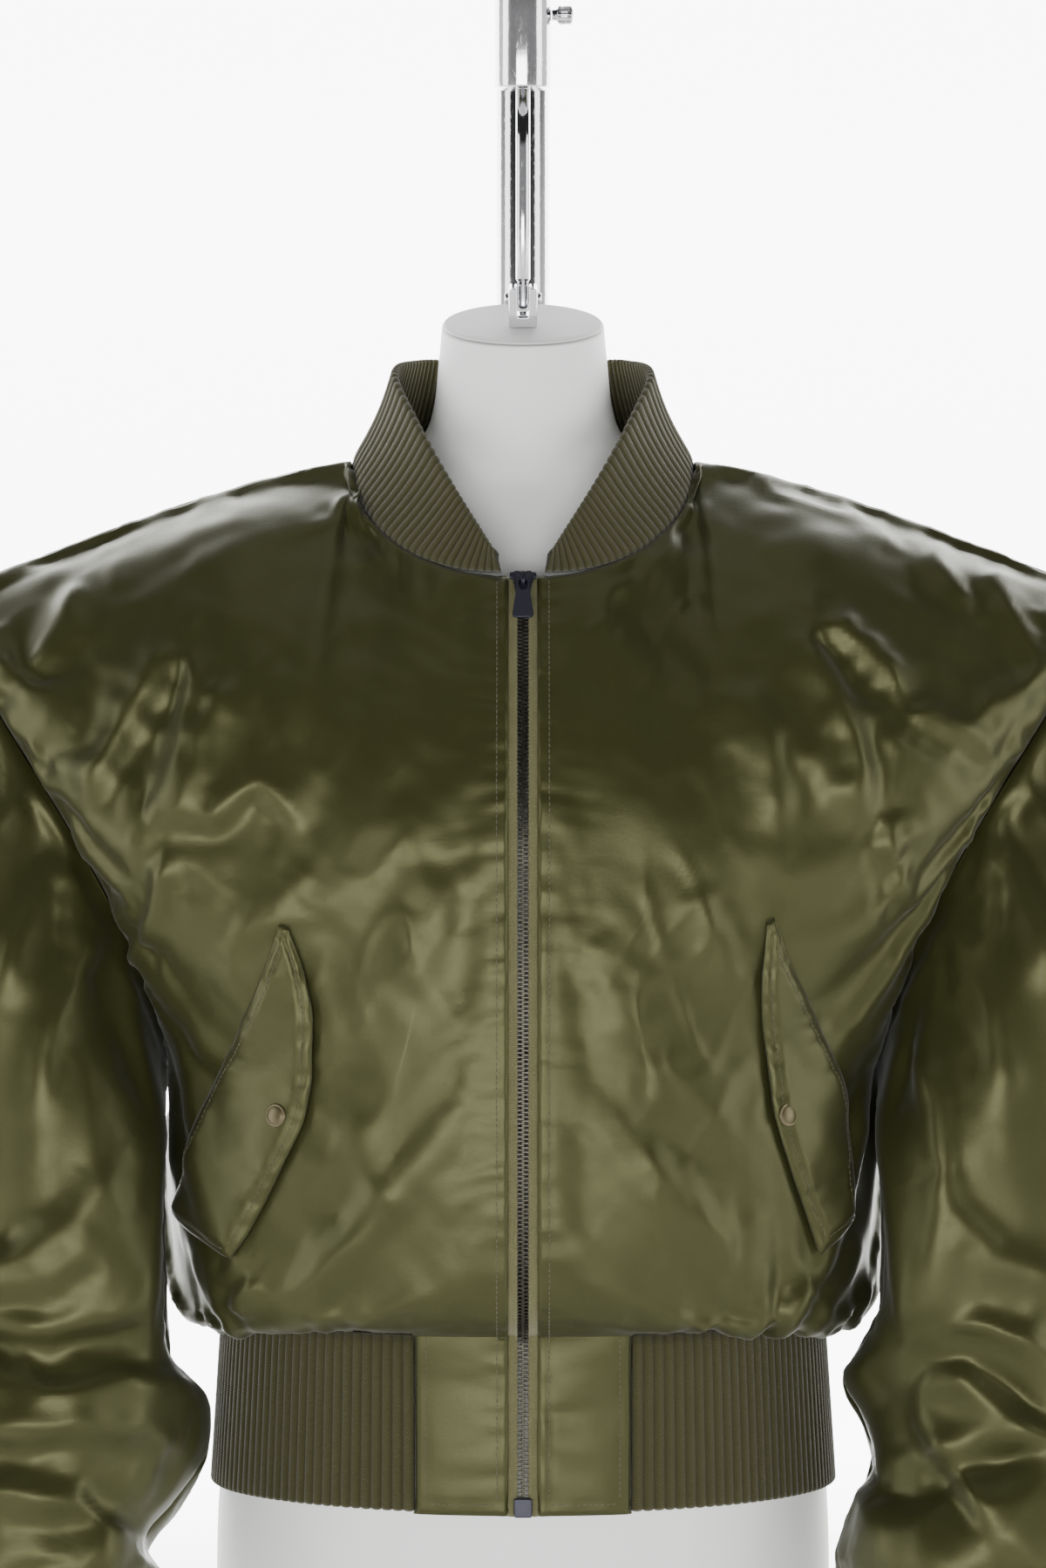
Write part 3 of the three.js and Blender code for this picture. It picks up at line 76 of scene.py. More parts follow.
ZIP_HALF_GAP = 7.0
TAB_WIDTH = 56.0
SEAM_GAP = 0.3
BAND_HEIGHT = 92.0
BAND_SIDE = {"hem": 167.5, "waist": 161.5}
BAND_DEPTH = {"hem": 124.0, "waist": 125.0}
RIB_WALL = 4.6
NECK_FRONT = {"y": -88.0, "z": 484.0}
NECK_SIDE = {"x": 92.0, "y": 8.0, "z": 545.0}
NECK_BACK = {"y": 62.0, "z": 540.0}
UNDERARM = {"x": 186.0, "z": 225.0}
SHOULDER = {"x": 312.0, "y": 5.0, "z": 472.0}
ARMHOLE_DEPTH = {-1: 77.0, 1: 74.0}
ARMHOLE_SCOOP = {-1: 18.0, 1: 9.0}
V_UNDERARM = 0.5
V_CHEST = 0.75
V_TAB = -0.2
T_NECK = 0.36
SQUARENESS = 0.86
SHOULDER_BOW = 1.3
LEAN_MOST, LEAN_DEPTH = 0.9, 140.0
LEAD_POWER = 3
SLEEVE_SEAM_REACH = 0.16
CHEST_SWEEP = 0.66
SHOULDER_FLARE = 1.15


class Table:
    """A table with named columns, read on a smooth curve through its rows."""

    def __init__(self, names, rows):
        names = names.split()
        self.columns = dict(zip(names, np.array(rows, float).T))
        self.places = self.columns[names[0]]

    def read(self, column, at):
        x, y = self.places, self.columns[column]
        at = np.clip(np.asarray(at, float), x[0], x[-1])
        i = np.clip(np.searchsorted(x, at, side="right") - 1, 0, len(x) - 2)
        steps = np.diff(x)
        slopes = np.diff(y) / steps
        tangents = np.empty_like(y)
        tangents[0], tangents[-1] = slopes[0], slopes[-1]
        inner = slopes[:-1] * steps[:-1] + slopes[1:] * steps[1:]
        tangents[1:-1] = inner / (steps[:-1] + steps[1:])
        h = steps[i]
        f = (at - x[i]) / h
        start = y[i] * (2 * f**3 - 3 * f**2 + 1) + tangents[i] * h * (f**3 - 2 * f**2 + f)
        return start + y[i + 1] * (3 * f**2 - 2 * f**3) + tangents[i + 1] * h * (f**3 - f**2)


BODY = Table(
    "v z_front z_side z_back side front back",
    [
        (0.0, 92, 92.4, 92.4, 161.5, 125.6, 124.6),
        (0.03, 96, 88, 89, 170, 132, 133),
        (0.08, 103, 94, 95, 180, 140, 142),
        (0.15, 116, 110, 112, 190, 148, 149),
        (0.25, 142, 140, 143, 195.5, 154, 152),
        (0.37, 182, 180, 185, 194.5, 157, 150),
        (0.5, 230, 225, 236, 186, 157, 146),
        (0.62, 282, 270, 288, 196, 156, 144),
        (0.75, 338, 348.5, 345, 231, 151, 141),
    ],
)
SLEEVE_NAMES = "s x_in z_in x_out z_out y deep lead"
SLEEVE_TOP = [
    (0.0, 186, 225, 312, 472, 2, 76, 0),
    (0.06, 191, 215, 343, 452, -1, 84, 22),
    (0.13, 186.5, 204, 370, 408, -4, 90, 56),
    (0.2, 185, 188, 387, 346, -7, 93, 66),
    (0.27, 186.5, 166, 396, 282, -10, 93, 72),
    (0.34, 186, 142, 400, 222, -14, 91, 72),
]
SLEEVES = {
    -1: Table(
        SLEEVE_NAMES,
        SLEEVE_TOP
        + [
            (0.41, 184.5, 117, 400, 166, -19, 88, 70),
            (0.47, 185, 96, 397, 120, -25, 84, 60),
            (0.53, 182, 74, 391, 80, -35, 82, 35),
            (0.59, 166, 54, 381, 48, -46, 82, 12),
            (0.65, 165, 30, 369, 18, -54, 79, 0),
            (0.71, 178, 6, 354, -12, -61, 74, 0),
            (0.77, 196, -16, 340, -35, -67, 68, 0),
            (0.83, 187, -36, 331, -56, -71, 68, 0),
            (0.89, 187, -58, 319, -76, -75, 63, 0),
            (0.95, 195, -77, 304, -92, -78, 53, 0),
            (1.0, 207, -90, 288, -101, -80, 38.5, 0),
        ],
    ),
    1: Table(
        SLEEVE_NAMES,
        SLEEVE_TOP
        + [
            (0.41, 184.5, 119, 400, 168, -18, 88, 70),
            (0.47, 183, 101, 398, 124, -23, 84, 60),
            (0.53, 176, 82, 393, 86, -32, 81, 35),
            (0.59, 167, 62, 384, 54, -40, 80, 12),
            (0.65, 180, 38, 372, 24, -47, 77, 0),
            (0.71, 182, 16, 359, -6, -53, 75, 0),
            (0.77, 170, -6, 349, -32, -59, 74, 0),
            (0.83, 163, -30, 338, -56, -65, 72, 0),
            (0.89, 170, -55, 322, -78, -71, 65, 0),
            (0.95, 186, -76, 304, -94, -76, 53, 0),
            (1.0, 203, -90, 284, -101, -79, 38.5, 0),
        ],
    ),
}
CUFF_END = {"inset": 4.0, "drop": 60.0, "y": -6.0, "deep": 35.5}
COLLAR = Table(
    "angle x y z",
    [
        (0, 13, -88, 491),
        (22, 26, -80, 511),
        (45, 41, -64, 535),
        (68, 58, -36, 566),
        (90, 70, 0, 592),
        (125, 57, 38, 600),
        (155, 30, 56, 600),
        (180, 0, 61, 600),
    ],
)


# Small maths on arrays


def smooth(start, end, at):
    share = np.clip((np.asarray(at, float) - start) / (end - start), 0, 1)
    return share * share * (3 - 2 * share)


def mix(a, b, share):
    return a + (b - a) * share


def points_of(x, y, z):
    return np.stack(np.broadcast_arrays(x, y, z), axis=-1).astype(float)


def unit(vectors):
    return vectors / np.maximum(np.linalg.norm(vectors, axis=-1, keepdims=True), 1e-9)


def normals_of(grid, closed=False):
    """Unit normals of a grid of points; columns run to the right and rows run up when seen from outside."""
    if closed:
        across = np.roll(grid, -1, axis=1) - np.roll(grid, 1, axis=1)
    else:
        across = np.gradient(grid, axis=1)
    up = np.gradient(grid, axis=0)
    return unit(np.cross(across, up))


def lengths_along(grid, axis):
    """How far each point lies from the first one, along its row or column."""
    steps = np.linalg.norm(np.diff(grid, axis=axis), axis=-1)
    total = np.cumsum(steps, axis=axis)
    start = np.zeros_like(np.take(total, [0], axis=axis))
    return np.concatenate([start, total], axis=axis)


def cubic_weights(places, count, closed=False):
    """A matrix that reads a row of evenly spaced values at fractional places, on a smooth curve."""
    base = np.floor(places).astype(int)
    if not closed:
        base = np.clip(base, 0, count - 2)
    f = places - base
    shares = [
        (-f + 2 * f**2 - f**3) / 2,
        (2 - 5 * f**2 + 3 * f**3) / 2,
        (f + 4 * f**2 - 3 * f**3) / 2,
        (-(f**2) + f**3) / 2,
    ]
    matrix = np.zeros((len(places), count))
    for offset, share in zip((-1, 0, 1, 2), shares):
        column = base + offset
        column = column % count if closed else np.clip(column, 0, count - 1)
        np.add.at(matrix, (np.arange(len(places)), column), share)
    return matrix


def soft_noise(x, y, size, seed):
    """Smooth noise from -1 to 1 with bumps about size across."""
    lattice = np.random.default_rng(seed).uniform(-1, 1, (64, 64))
    u, v = np.asarray(x, float) / size + 640.0, np.asarray(y, float) / size + 640.0
    i, j = np.floor(u).astype(int), np.floor(v).astype(int)
    f, g = u - i, v - j
    f, g = f * f * (3 - 2 * f), g * g * (3 - 2 * g)
    corner = lambda a, b: lattice[(i + a) % 64, (j + b) % 64]
    low = mix(corner(0, 0), corner(1, 0), f)
    high = mix(corner(0, 1), corner(1, 1), f)
    return mix(low, high, g)


def near_line(x, z, line):
    """How far each point is from a line in the front view, on which side, and how far along the line."""
    line = np.array(line, float)
    spans = np.linalg.norm(np.diff(line, axis=0), axis=1)
    reach = np.concatenate([[0], np.cumsum(spans)])
    best = np.full(np.shape(x), 1e9)
    side = np.zeros(np.shape(x))
    share = np.zeros(np.shape(x))
    for k, span in enumerate(spans):
        a, along = line[k], (line[k + 1] - line[k]) / span
        forward = (x - a[0]) * along[0] + (z - a[1]) * along[1]
        off = (x - a[0]) * along[1] - (z - a[1]) * along[0]
        low = 0 if k else -1e9
        high = span if k < len(spans) - 1 else 1e9
        held = np.clip(forward, max(low, 0), min(high, span))
        away = np.hypot(forward - held, off)
        closer = away < best
        best = np.where(closer, away, best)
        side = np.where(closer, np.sign(off), side)
        share = np.where(closer, (reach[k] + held) / reach[-1], share)
    return best, side, share


# The surfaces of the cut


def armhole(turn, face):
    share = (1 - np.cos(turn)) / 2
    bend = np.sin(turn)
    x = mix(UNDERARM["x"], SHOULDER["x"], share) - ARMHOLE_SCOOP[face] * (1.2 - share) * bend**2
    y = SHOULDER["y"] * share + face * ARMHOLE_DEPTH[face] * bend
    return points_of(x, y, mix(UNDERARM["z"], SHOULDER["z"], share))


def armhole_turn(v):
    return np.pi * np.clip((v - V_UNDERARM) / (1 - V_UNDERARM), 0, 1)


def neckline(angle, face):
    centre = NECK_FRONT if face < 0 else NECK_BACK
    start = ZIP_HALF_GAP if face < 0 else 0.0
    x = mix(start, NECK_SIDE["x"], np.sin(angle))
    y = mix(NECK_SIDE["y"], centre["y"], np.cos(angle))
    return points_of(x, y, mix(NECK_SIDE["z"], centre["z"], np.cos(angle)))


def top_edge(across, face):
    neck = neckline(np.minimum(across / T_NECK, 1) * np.pi / 2, face)
    share = np.clip((across - T_NECK) / (1 - T_NECK), 0, 1)
    y = mix(NECK_SIDE["y"], SHOULDER["y"], share) + 3 * np.sin(np.pi * share)
    z = mix(NECK_SIDE["z"], SHOULDER["z"], share**SHOULDER_BOW)
    seam = points_of(mix(NECK_SIDE["x"], SHOULDER["x"], share), y, z)
    return np.where((across < T_NECK)[..., None], neck, seam)


def section_point(across, v, face):
    v = np.clip(v, 0, V_CHEST)
    row = lambda column: BODY.read(column, v)
    start = ZIP_HALF_GAP if face < 0 else 0.0
    side_edge = points_of(row("side"), 0.0, row("z_side"))
    edge = np.where((v > V_UNDERARM)[..., None], armhole(armhole_turn(v), face), side_edge)
    sweep = (np.pi / 2) * mix(1, CHEST_SWEEP, np.sqrt(smooth(V_UNDERARM, V_CHEST, v)))
    angle = across * sweep
    outward = (np.sin(angle) / np.sin(sweep)) ** SQUARENESS
    inward = np.maximum((np.cos(angle) - np.cos(sweep)) / (1 - np.cos(sweep)), 0) ** SQUARENESS
    depth = -row("front") if face < 0 else row("back")
    height = row("z_front") if face < 0 else row("z_back")
    z = mix(height, edge[..., 2], smooth(0, 1, across))
    return points_of(mix(start, edge[..., 0], outward), mix(edge[..., 1], depth, inward), z)


def top_point(across, v, face):
    rise = np.sin(np.clip((v - V_CHEST) / (1 - V_CHEST), 0, 1) * np.pi / 2)

    def place(share):
        base = section_point(share, np.full(np.shape(v), V_CHEST), face)
        top = top_edge(share, face)
        shoulder = smooth(T_NECK - 0.2, T_NECK + 0.2, share)
        roll = np.maximum(0, 1 - rise ** mix(1.7, 2, shoulder)) ** mix(1, 0.5, shoulder)
        x = mix(base[..., 0], top[..., 0], rise**SHOULDER_FLARE)
        return points_of(x, mix(top[..., 1], base[..., 1], roll), mix(base[..., 2], top[..., 2], rise))

    miss = armhole(armhole_turn(v), face) - place(np.ones(np.shape(v)))
    return place(across) + miss * (across**4)[..., None]


def tab_point(across, v):
    top = section_point(across, np.zeros(np.shape(v)), -1)
    share = np.clip(v / V_TAB, 0, 1)
    side = mix(BAND_SIDE["waist"], BAND_SIDE["hem"], share)
    deep = mix(BAND_DEPTH["waist"], BAND_DEPTH["hem"], share)
    y = -deep * np.sqrt(1 - np.minimum(top[..., 0] / side, 0.99) ** 2) - 0.6
    return points_of(top[..., 0], mix(top[..., 1], y, smooth(0, 0.3, share)), mix(BAND_HEIGHT, -1, share))


def body_surface(across, v, face):
    """Half a front (face -1) or half a back (face 1), on the wearer's left."""
    across, v = np.broadcast_arrays(np.asarray(across, float), np.asarray(v, float))
    low = np.where((v < 0)[..., None], tab_point(across, v), section_point(across, v, face))
    return np.where((v > V_CHEST)[..., None], top_point(across, v, face), low)


def sleeve_surface(side, s, turn):
    table = SLEEVES[side]
    s, turn = np.broadcast_arrays(np.asarray(s, float), np.asarray(turn, float))
    row = lambda column: table.read(column, s)
    share = (1 - np.cos(turn)) / 2
    depth = -row("deep") * np.sin(turn)
    lean = row("y") / LEAN_DEPTH * LEAN_MOST
    ahead = row("y") + depth - row("lead") * (1 - share) ** LEAD_POWER
    plain = points_of(
        mix(row("x_in"), row("x_out"), share), ahead, mix(row("z_in"), row("z_out"), share) + depth * lean
    )
    front = turn <= np.pi
    seam = np.where(front[..., None], armhole(turn, -1), armhole(2 * np.pi - turn, 1))
    point = mix(seam, plain, np.sin(np.pi / 2 * np.minimum(s / SLEEVE_SEAM_REACH, 1))[..., None])
    point[..., 0] *= side
    return point


# Main folds: a line in the front view, its half width and height, and the side of its trough (-1, 0 or 1)

FRONT_FOLDS = {
    -1: [
        ([(-174, 452), (-191, 431), (-203, 409), (-212, 387), (-219, 361)], 8, 5.0, -1),
        ([(-174, 452), (-171, 432), (-175, 416), (-181, 385), (-187, 350)], 7, 4.5, 1),
        ([(-146, 436), (-158, 424), (-166, 404), (-173, 379), (-181, 350)], 8, 3.6, 1),
        ([(-181, 350), (-185, 322), (-190, 302), (-197, 290), (-203, 280)], 5, 3.6, 1),
        ([(-172, 366), (-158, 362), (-145, 375), (-137, 380), (-124, 368), (-112, 352)], 7, 3.0, 1),
        ([(-133, 336), (-146, 300), (-159, 258), (-176, 216), (-188, 192)], 9, 2.6, 1),
        ([(-108, 340), (-122, 322), (-131, 300)], 8, 1.8, 0),
        ([(-136, 132), (-141, 124), (-149, 113)], 5, 3.0, 1),
        ([(-60, 470), (-66, 420), (-78, 372), (-84, 330)], 15, 1.8, 0),
        ([(-95, 508), (-104, 470), (-112, 430), (-118, 396)], 14, 2.2, 1),
        ([(-226, 486), (-238, 462), (-250, 436)], 8, 2.6, 1),
        ([(-70, 180), (-92, 150), (-122, 132)], 10, 2.0, 1),
        ([(-30, 330), (-46, 300), (-56, 262)], 12, 1.4, -1),
        ([(-96, 210), (-80, 176), (-52, 150)], 12, 1.6, 1),
    ],
    1: [
        ([(152, 466), (149, 452), (155, 440), (164, 425), (171, 408), (175, 390), (174, 350)], 8, 5.0, -1),
        ([(152, 466), (163, 459), (175, 449), (185, 437), (195, 420)], 7, 4.6, 1),
        ([(195, 420), (211, 411), (230, 400), (241, 387)], 8, 3.2, 1),
        ([(202, 500), (216, 484), (233, 468)], 7, 3.0, 1),
        ([(232, 490), (243, 474), (253, 453), (260, 434)], 7, 3.4, 1),
        ([(120, 440), (128, 410), (134, 376), (136, 350)], 10, 2.6, -1),
        ([(186, 372), (184, 350), (190, 328), (197, 312)], 6, 3.0, 1),
        ([(95, 508), (102, 470), (106, 430), (108, 396)], 14, 2.0, -1),
        ([(50, 470), (54, 420), (64, 372), (70, 330)], 15, 1.6, 0),
        ([(90, 330), (104, 300), (112, 268)], 10, 1.8, -1),
        ([(60, 196), (86, 164), (118, 140)], 11, 2.2, -1),
        ([(30, 300), (44, 268), (50, 236)], 12, 1.4, 1),
        ([(150, 128), (140, 120), (128, 112)], 6, 2.4, 1),
        ([(66, 240), (92, 216), (112, 186)], 12, 1.6, 1),
    ],
}
BACK_FOLDS = [
    ([(-150, 440), (-168, 400), (-182, 350), (-194, 300)], 10, 4.6, -1),
    ([(-120, 420), (-136, 370), (-152, 310), (-160, 262)], 11, 3.8, 1),
    ([(-196, 380), (-188, 340), (-186, 300)], 8, 3.4, 1),
    ([(150, 446), (166, 402), (184, 352), (192, 302)], 10, 4.6, 1),
    ([(112, 426), (132, 372), (150, 318), (164, 262)], 11, 3.6, -1),
    ([(198, 384), (190, 344), (184, 304)], 8, 3.2, -1),
    ([(-90, 508), (-96, 460), (-80, 400)], 15, 2.6, 0),
    ([(84, 510), (98, 452), (86, 392)], 15, 2.4, 0),
    ([(-60, 470), (0, 452), (62, 474)], 13, 2.4, 1),
    ([(-130, 230), (-60, 196), (10, 204)], 13, 2.8, 1),
    ([(30, 240), (92, 198), (150, 190)], 13, 2.8, 1),
    ([(-150, 150), (-96, 128), (-40, 132)], 9, 2.6, -1),
    ([(46, 134), (104, 126), (152, 146)], 9, 2.6, -1),
    ([(-20, 340), (-34, 280), (-24, 230)], 14, 1.8, 0),
]
SLEEVE_FRONT_FOLDS = {
    -1: [
        ([(-184, 107), (-210, 98), (-240, 94), (-276, 100), (-310, 112)], 8, -8.0, 1),
        ([(-166, 40), (-196, 50), (-230, 54), (-268, 52), (-300, 60)], 9, 5.5, -1),
        ([(-196, -8), (-214, 4), (-230, 20), (-262, 26), (-300, 20)], 8, 4.5, 1),
        ([(-172, 72), (-204, 78), (-232, 74), (-262, 76)], 7, 4.0, 1),
        ([(-252, 386), (-262, 370), (-284, 344), (-300, 320)], 8, 4.4, 1),
        ([(-232, 345), (-246, 330), (-262, 300), (-270, 262)], 8, 4.0, 1),
        ([(-214, 306), (-228, 282), (-240, 240), (-244, 200)], 9, 4.2, -1),
        ([(-290, 428), (-306, 402), (-322, 368)], 8, 3.4, 1),
        ([(-204, 190), (-228, 160), (-262, 140), (-300, 134)], 10, 4.6, 1),
        ([(-208, 150), (-240, 128), (-276, 122), (-330, 140)], 9, 3.6, -1),
        ([(-200, -40), (-236, -30), (-280, -34)], 8, 4.0, 1),
        ([(-210, -66), (-244, -58), (-282, -66)], 7, 3.0, -1),
        ([(-350, 330), (-356, 280), (-346, 220)], 14, 2.6, 0),
        ([(-330, 120), (-350, 90), (-352, 50)], 11, 3.0, 1),
    ],
    1: [
        ([(182, 100), (196, 104), (211, 109), (240, 106), (282, 92)], 8, 5.0, 1),
        ([(182, 92), (206, 100), (233, 107), (262, 96), (300, 70)], 7, 4.2, -1),
        ([(190, 66), (204, 82), (226, 86), (246, 74), (280, 50)], 7, -6.5, 1),
        ([(193, 64), (212, 44), (228, 22), (244, 2)], 8, 4.4, 1),
        ([(170, 24), (200, 28), (236, 40), (276, 44)], 8, -6.0, -1),
        ([(238, 356), (252, 336), (268, 306), (276, 270)], 8, 4.2, -1),
        ([(252, 388), (268, 366), (288, 340), (306, 318)], 8, 4.6, -1),
        ([(218, 312), (232, 284), (240, 246), (242, 204)], 9, 4.0, 1),
        ([(204, 250), (214, 220), (216, 180), (222, 150)], 8, 4.6, -1),
        ([(290, 428), (306, 402), (324, 368)], 8, 3.4, -1),
        ([(212, 170), (244, 140), (284, 132), (320, 140)], 10, 4.2, -1),
        ([(168, -40), (200, -34), (244, -28), (284, -34)], 8, -4.0, 1),
        ([(206, -66), (240, -58), (280, -66)], 7, 3.0, 1),
        ([(352, 330), (358, 270), (346, 210)], 14, 2.6, 0),
        ([(332, 120), (352, 90), (354, 46)], 11, 3.0, -1),
    ],
}
SLEEVE_BACK_FOLDS = [
    ([(206, 130), (250, 108), (300, 110), (350, 128)], 10, -6.0, 1),
    ([(196, 80), (240, 70), (300, 76), (350, 92)], 9, 5.0, -1),
    ([(190, 30), (240, 26), (300, 30)], 9, -5.0, 1),
    ([(240, 366), (262, 320), (272, 270)], 9, 4.2, 1),
    ([(262, 396), (290, 350), (302, 300)], 9, 4.0, -1),
    ([(214, 306), (232, 250), (238, 190)], 9, 4.0, 1),
    ([(210, 190), (256, 160), (320, 166)], 10, 4.2, -1),
    ([(204, -30), (250, -26), (300, -24)], 8, 3.6, 1),
]

# Pocket flaps: from the top tip down, the sewn edge and the free edge in the front view, and the snap
FLAP_NAMES = "b x_sewn z_sewn x_free z_free"
FLAPS = {
    -1: Table(
        FLAP_NAMES,
        [
            (0.0, -124.5, 311, -120.5, 309),
            (0.18, -133, 286, -109.5, 274),
            (0.36, -144, 258, -107.5, 244),
            (0.55, -157, 226, -111.5, 210),
            (0.75, -170, 192, -127, 176),
            (1.0, -183, 154, -147, 137),
        ],
    ),
    1: Table(
        FLAP_NAMES,
        [
            (0.0, 128, 312, 124.5, 309),
            (0.18, 138, 287, 121.5, 276),
            (0.36, 150, 258, 123.5, 244),
            (0.55, 160, 226, 127.5, 210),
            (0.75, 168, 192, 139, 176),
            (1.0, 171, 154, 153.5, 137),
        ],
    ),
}
SNAPS = {-1: (-126.5, 206.0), 1: (136.0, 206.0)}
FLAP_WALL = 2.4
FLAP_LIFT = {"sewn": 1.3, "free": 2.8}

FORM = Table(
    "z side front back",
    [
        (-196, 146, 98, 104),
        (-190, 156, 106, 112),
        (-120, 163, 112, 120),
        (-60, 164, 116, 121),
        (0, 162.2, 118.6, 118.6),
        (40, 156, 117, 112),
        (92, 138, 104, 94),
        (150, 121, 92, 78),
        (215, 122, 98, 84),
        (290, 136, 122, 94),
        (335, 144, 127, 100),
        (390, 158, 106, 104),
        (430, 169, 84, 102),
        (455, 172, 68, 94),
        (475, 170, 58, 87),
        (492, 162, 51, 78),
        (508, 153, 46, 69),
        (520, 139, 42, 62),
        (528, 118, 39, 56),
        (532, 103, 38, 53),
        (535, 89, 38, 51),
        (537.5, 79, 38, 50),
        (540.5, 73, 39, 49),
        (545, 66, 40, 47.5),
        (551, 61, 42, 46.5),
        (560, 52, 42, 45),
        (574, 47.5, 42, 44),
        (590, 45.5, 42, 43),
    ],
)
FORM_NECK_TOP = {"z": 618.0, "side": 43.0, "front": 41.0, "back": 43.0, "tilt": math.radians(17)}
FORM_MIDDLE = 5.0
FORM_PINCH = {"most": 0.95, "from": 440.0, "full": 520.0}


def fold_heights(x, z, folds):
    """Soft uneven ridges, each with a trough beside it, over points given in the front view."""
    total = np.zeros(np.shape(x))
    for number, (line, wide, high, lean) in enumerate(folds):
        away, side, share = near_line(x, z, line)
        uneven = 1 + 0.3 * soft_noise(share * 9, number * 3.1, 1.0, 40 + number)
        taper = smooth(0, 0.18, share) * (1 - smooth(0.72, 1, share)) * 0.85 + 0.15
        fade = np.exp(-np.maximum(away - wide * 0.2, 0) / (wide * 1.9))
        ridge = np.exp(-((away / (wide * uneven)) ** 2))
        trough = lean * side * (away / wide) * np.exp(-((away / (1.5 * wide)) ** 2))
        total += high * taper * (ridge - 0.9 * trough * (lean != 0)) * fade**0.25
    return total


# Meshes


def in_metres(points, lift=HEM_HEIGHT):
    placed = np.array(points, float)
    placed[..., 2] += lift
    return placed / 1000


def new_piece(name, points, faces, material, body=ROOT_BODY, uvs=None, lift=HEM_HEIGHT, flat=False):
    mesh = bpy.data.meshes.new(name)
    mesh.from_pydata(in_metres(points, lift).tolist(), [], [list(map(int, face)) for face in faces])
    mesh.validate()
    if uvs is not None:
        layer = mesh.uv_layers.new(name="cloth")
        corners = np.empty(len(mesh.loops), np.int32)
        mesh.loops.foreach_get("vertex_index", corners)
        layer.data.foreach_set("uv", np.asarray(uvs, np.float32)[corners].ravel())
    mesh.polygons.foreach_set("use_smooth", [not flat] * len(mesh.polygons))
    mesh.materials.append(material)
    piece = bpy.data.objects.new(name, mesh)
    bpy.context.scene.collection.objects.link(piece)
    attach(piece, body)
    return piece


def cell_corners(j, i, right, columns):
    """The four corners of grid cells, counted once round each cell."""
    low, high = j * columns, (j + 1) * columns
    return np.stack([low + i, low + right, high + right, high + i])


def shell_faces(rows, columns, present=None, closed=False):
    """Faces of a wall between an outer and an inner grid, with its rim."""
    cell_columns = columns if closed else columns - 1
    if present is None:
        present = np.ones((rows - 1, cell_columns), bool)
    j, i = np.nonzero(present)
    right = (i + 1) % columns
    corners = cell_corners(j, i, right, columns)
    inner = rows * columns
    faces = [corners.T, corners[::-1].T + inner]
    padded = np.pad(present, 1)
    if closed:
        padded[:, 0], padded[:, -1] = padded[:, -2], padded[:, 1]
    for (dj, di), (a, b) in {(-1, 0): (0, 1), (0, 1): (1, 2), (1, 0): (2, 3), (0, -1): (3, 0)}.items():
        edge = ~padded[j + 1 + dj, i + 1 + di]
        p, q = corners[a][edge], corners[b][edge]
        faces.append(np.stack([p, p + inner, q + inner, q]).T)
    return np.concatenate(faces)


def shell(name, outer, wall, material, present=None, closed=False, uv_grid=None):
    """A cloth piece from its outer grid: its inside lies a wall's thickness behind smoothed normals."""
    inner = outer - normals_of(outer, closed) * wall
    rows, columns = outer.shape[:2]
    faces = shell_faces(rows, columns, present, closed)
    points = np.concatenate([outer.reshape(-1, 3), inner.reshape(-1, 3)])
    uvs = None if uv_grid is None else np.concatenate([uv_grid.reshape(-1, 2)] * 2)
    used, faces = np.unique(faces, return_inverse=True)
    faces = faces.reshape(-1, 4)
    return new_piece(name, points[used], faces, material, uvs=None if uvs is None else uvs[used])


def loft(rings, caps=True):
    """Points and faces of a closed stack of rings."""
    rings = np.asarray(rings, float)
    rows, columns = rings.shape[:2]
    i = np.arange(columns)
    right = (i + 1) % columns
    faces = []
    for j in range(rows - 1):
        faces += cell_corners(j, i, right, columns).T.tolist()
    if caps:
        faces.append(list(range(columns))[::-1])
        faces.append(list(range((rows - 1) * columns, rows * columns)))
    return rings.reshape(-1, 3), faces


# Cloth simulation

DRAPE = {"frames": 26, "growth": 0.03, "right_more": 0.15, "sleeve_more": 1.5, "most": 7.0}
DRAPE_JITTER, DRAPE_JITTER_SIZE = 0.9, 20


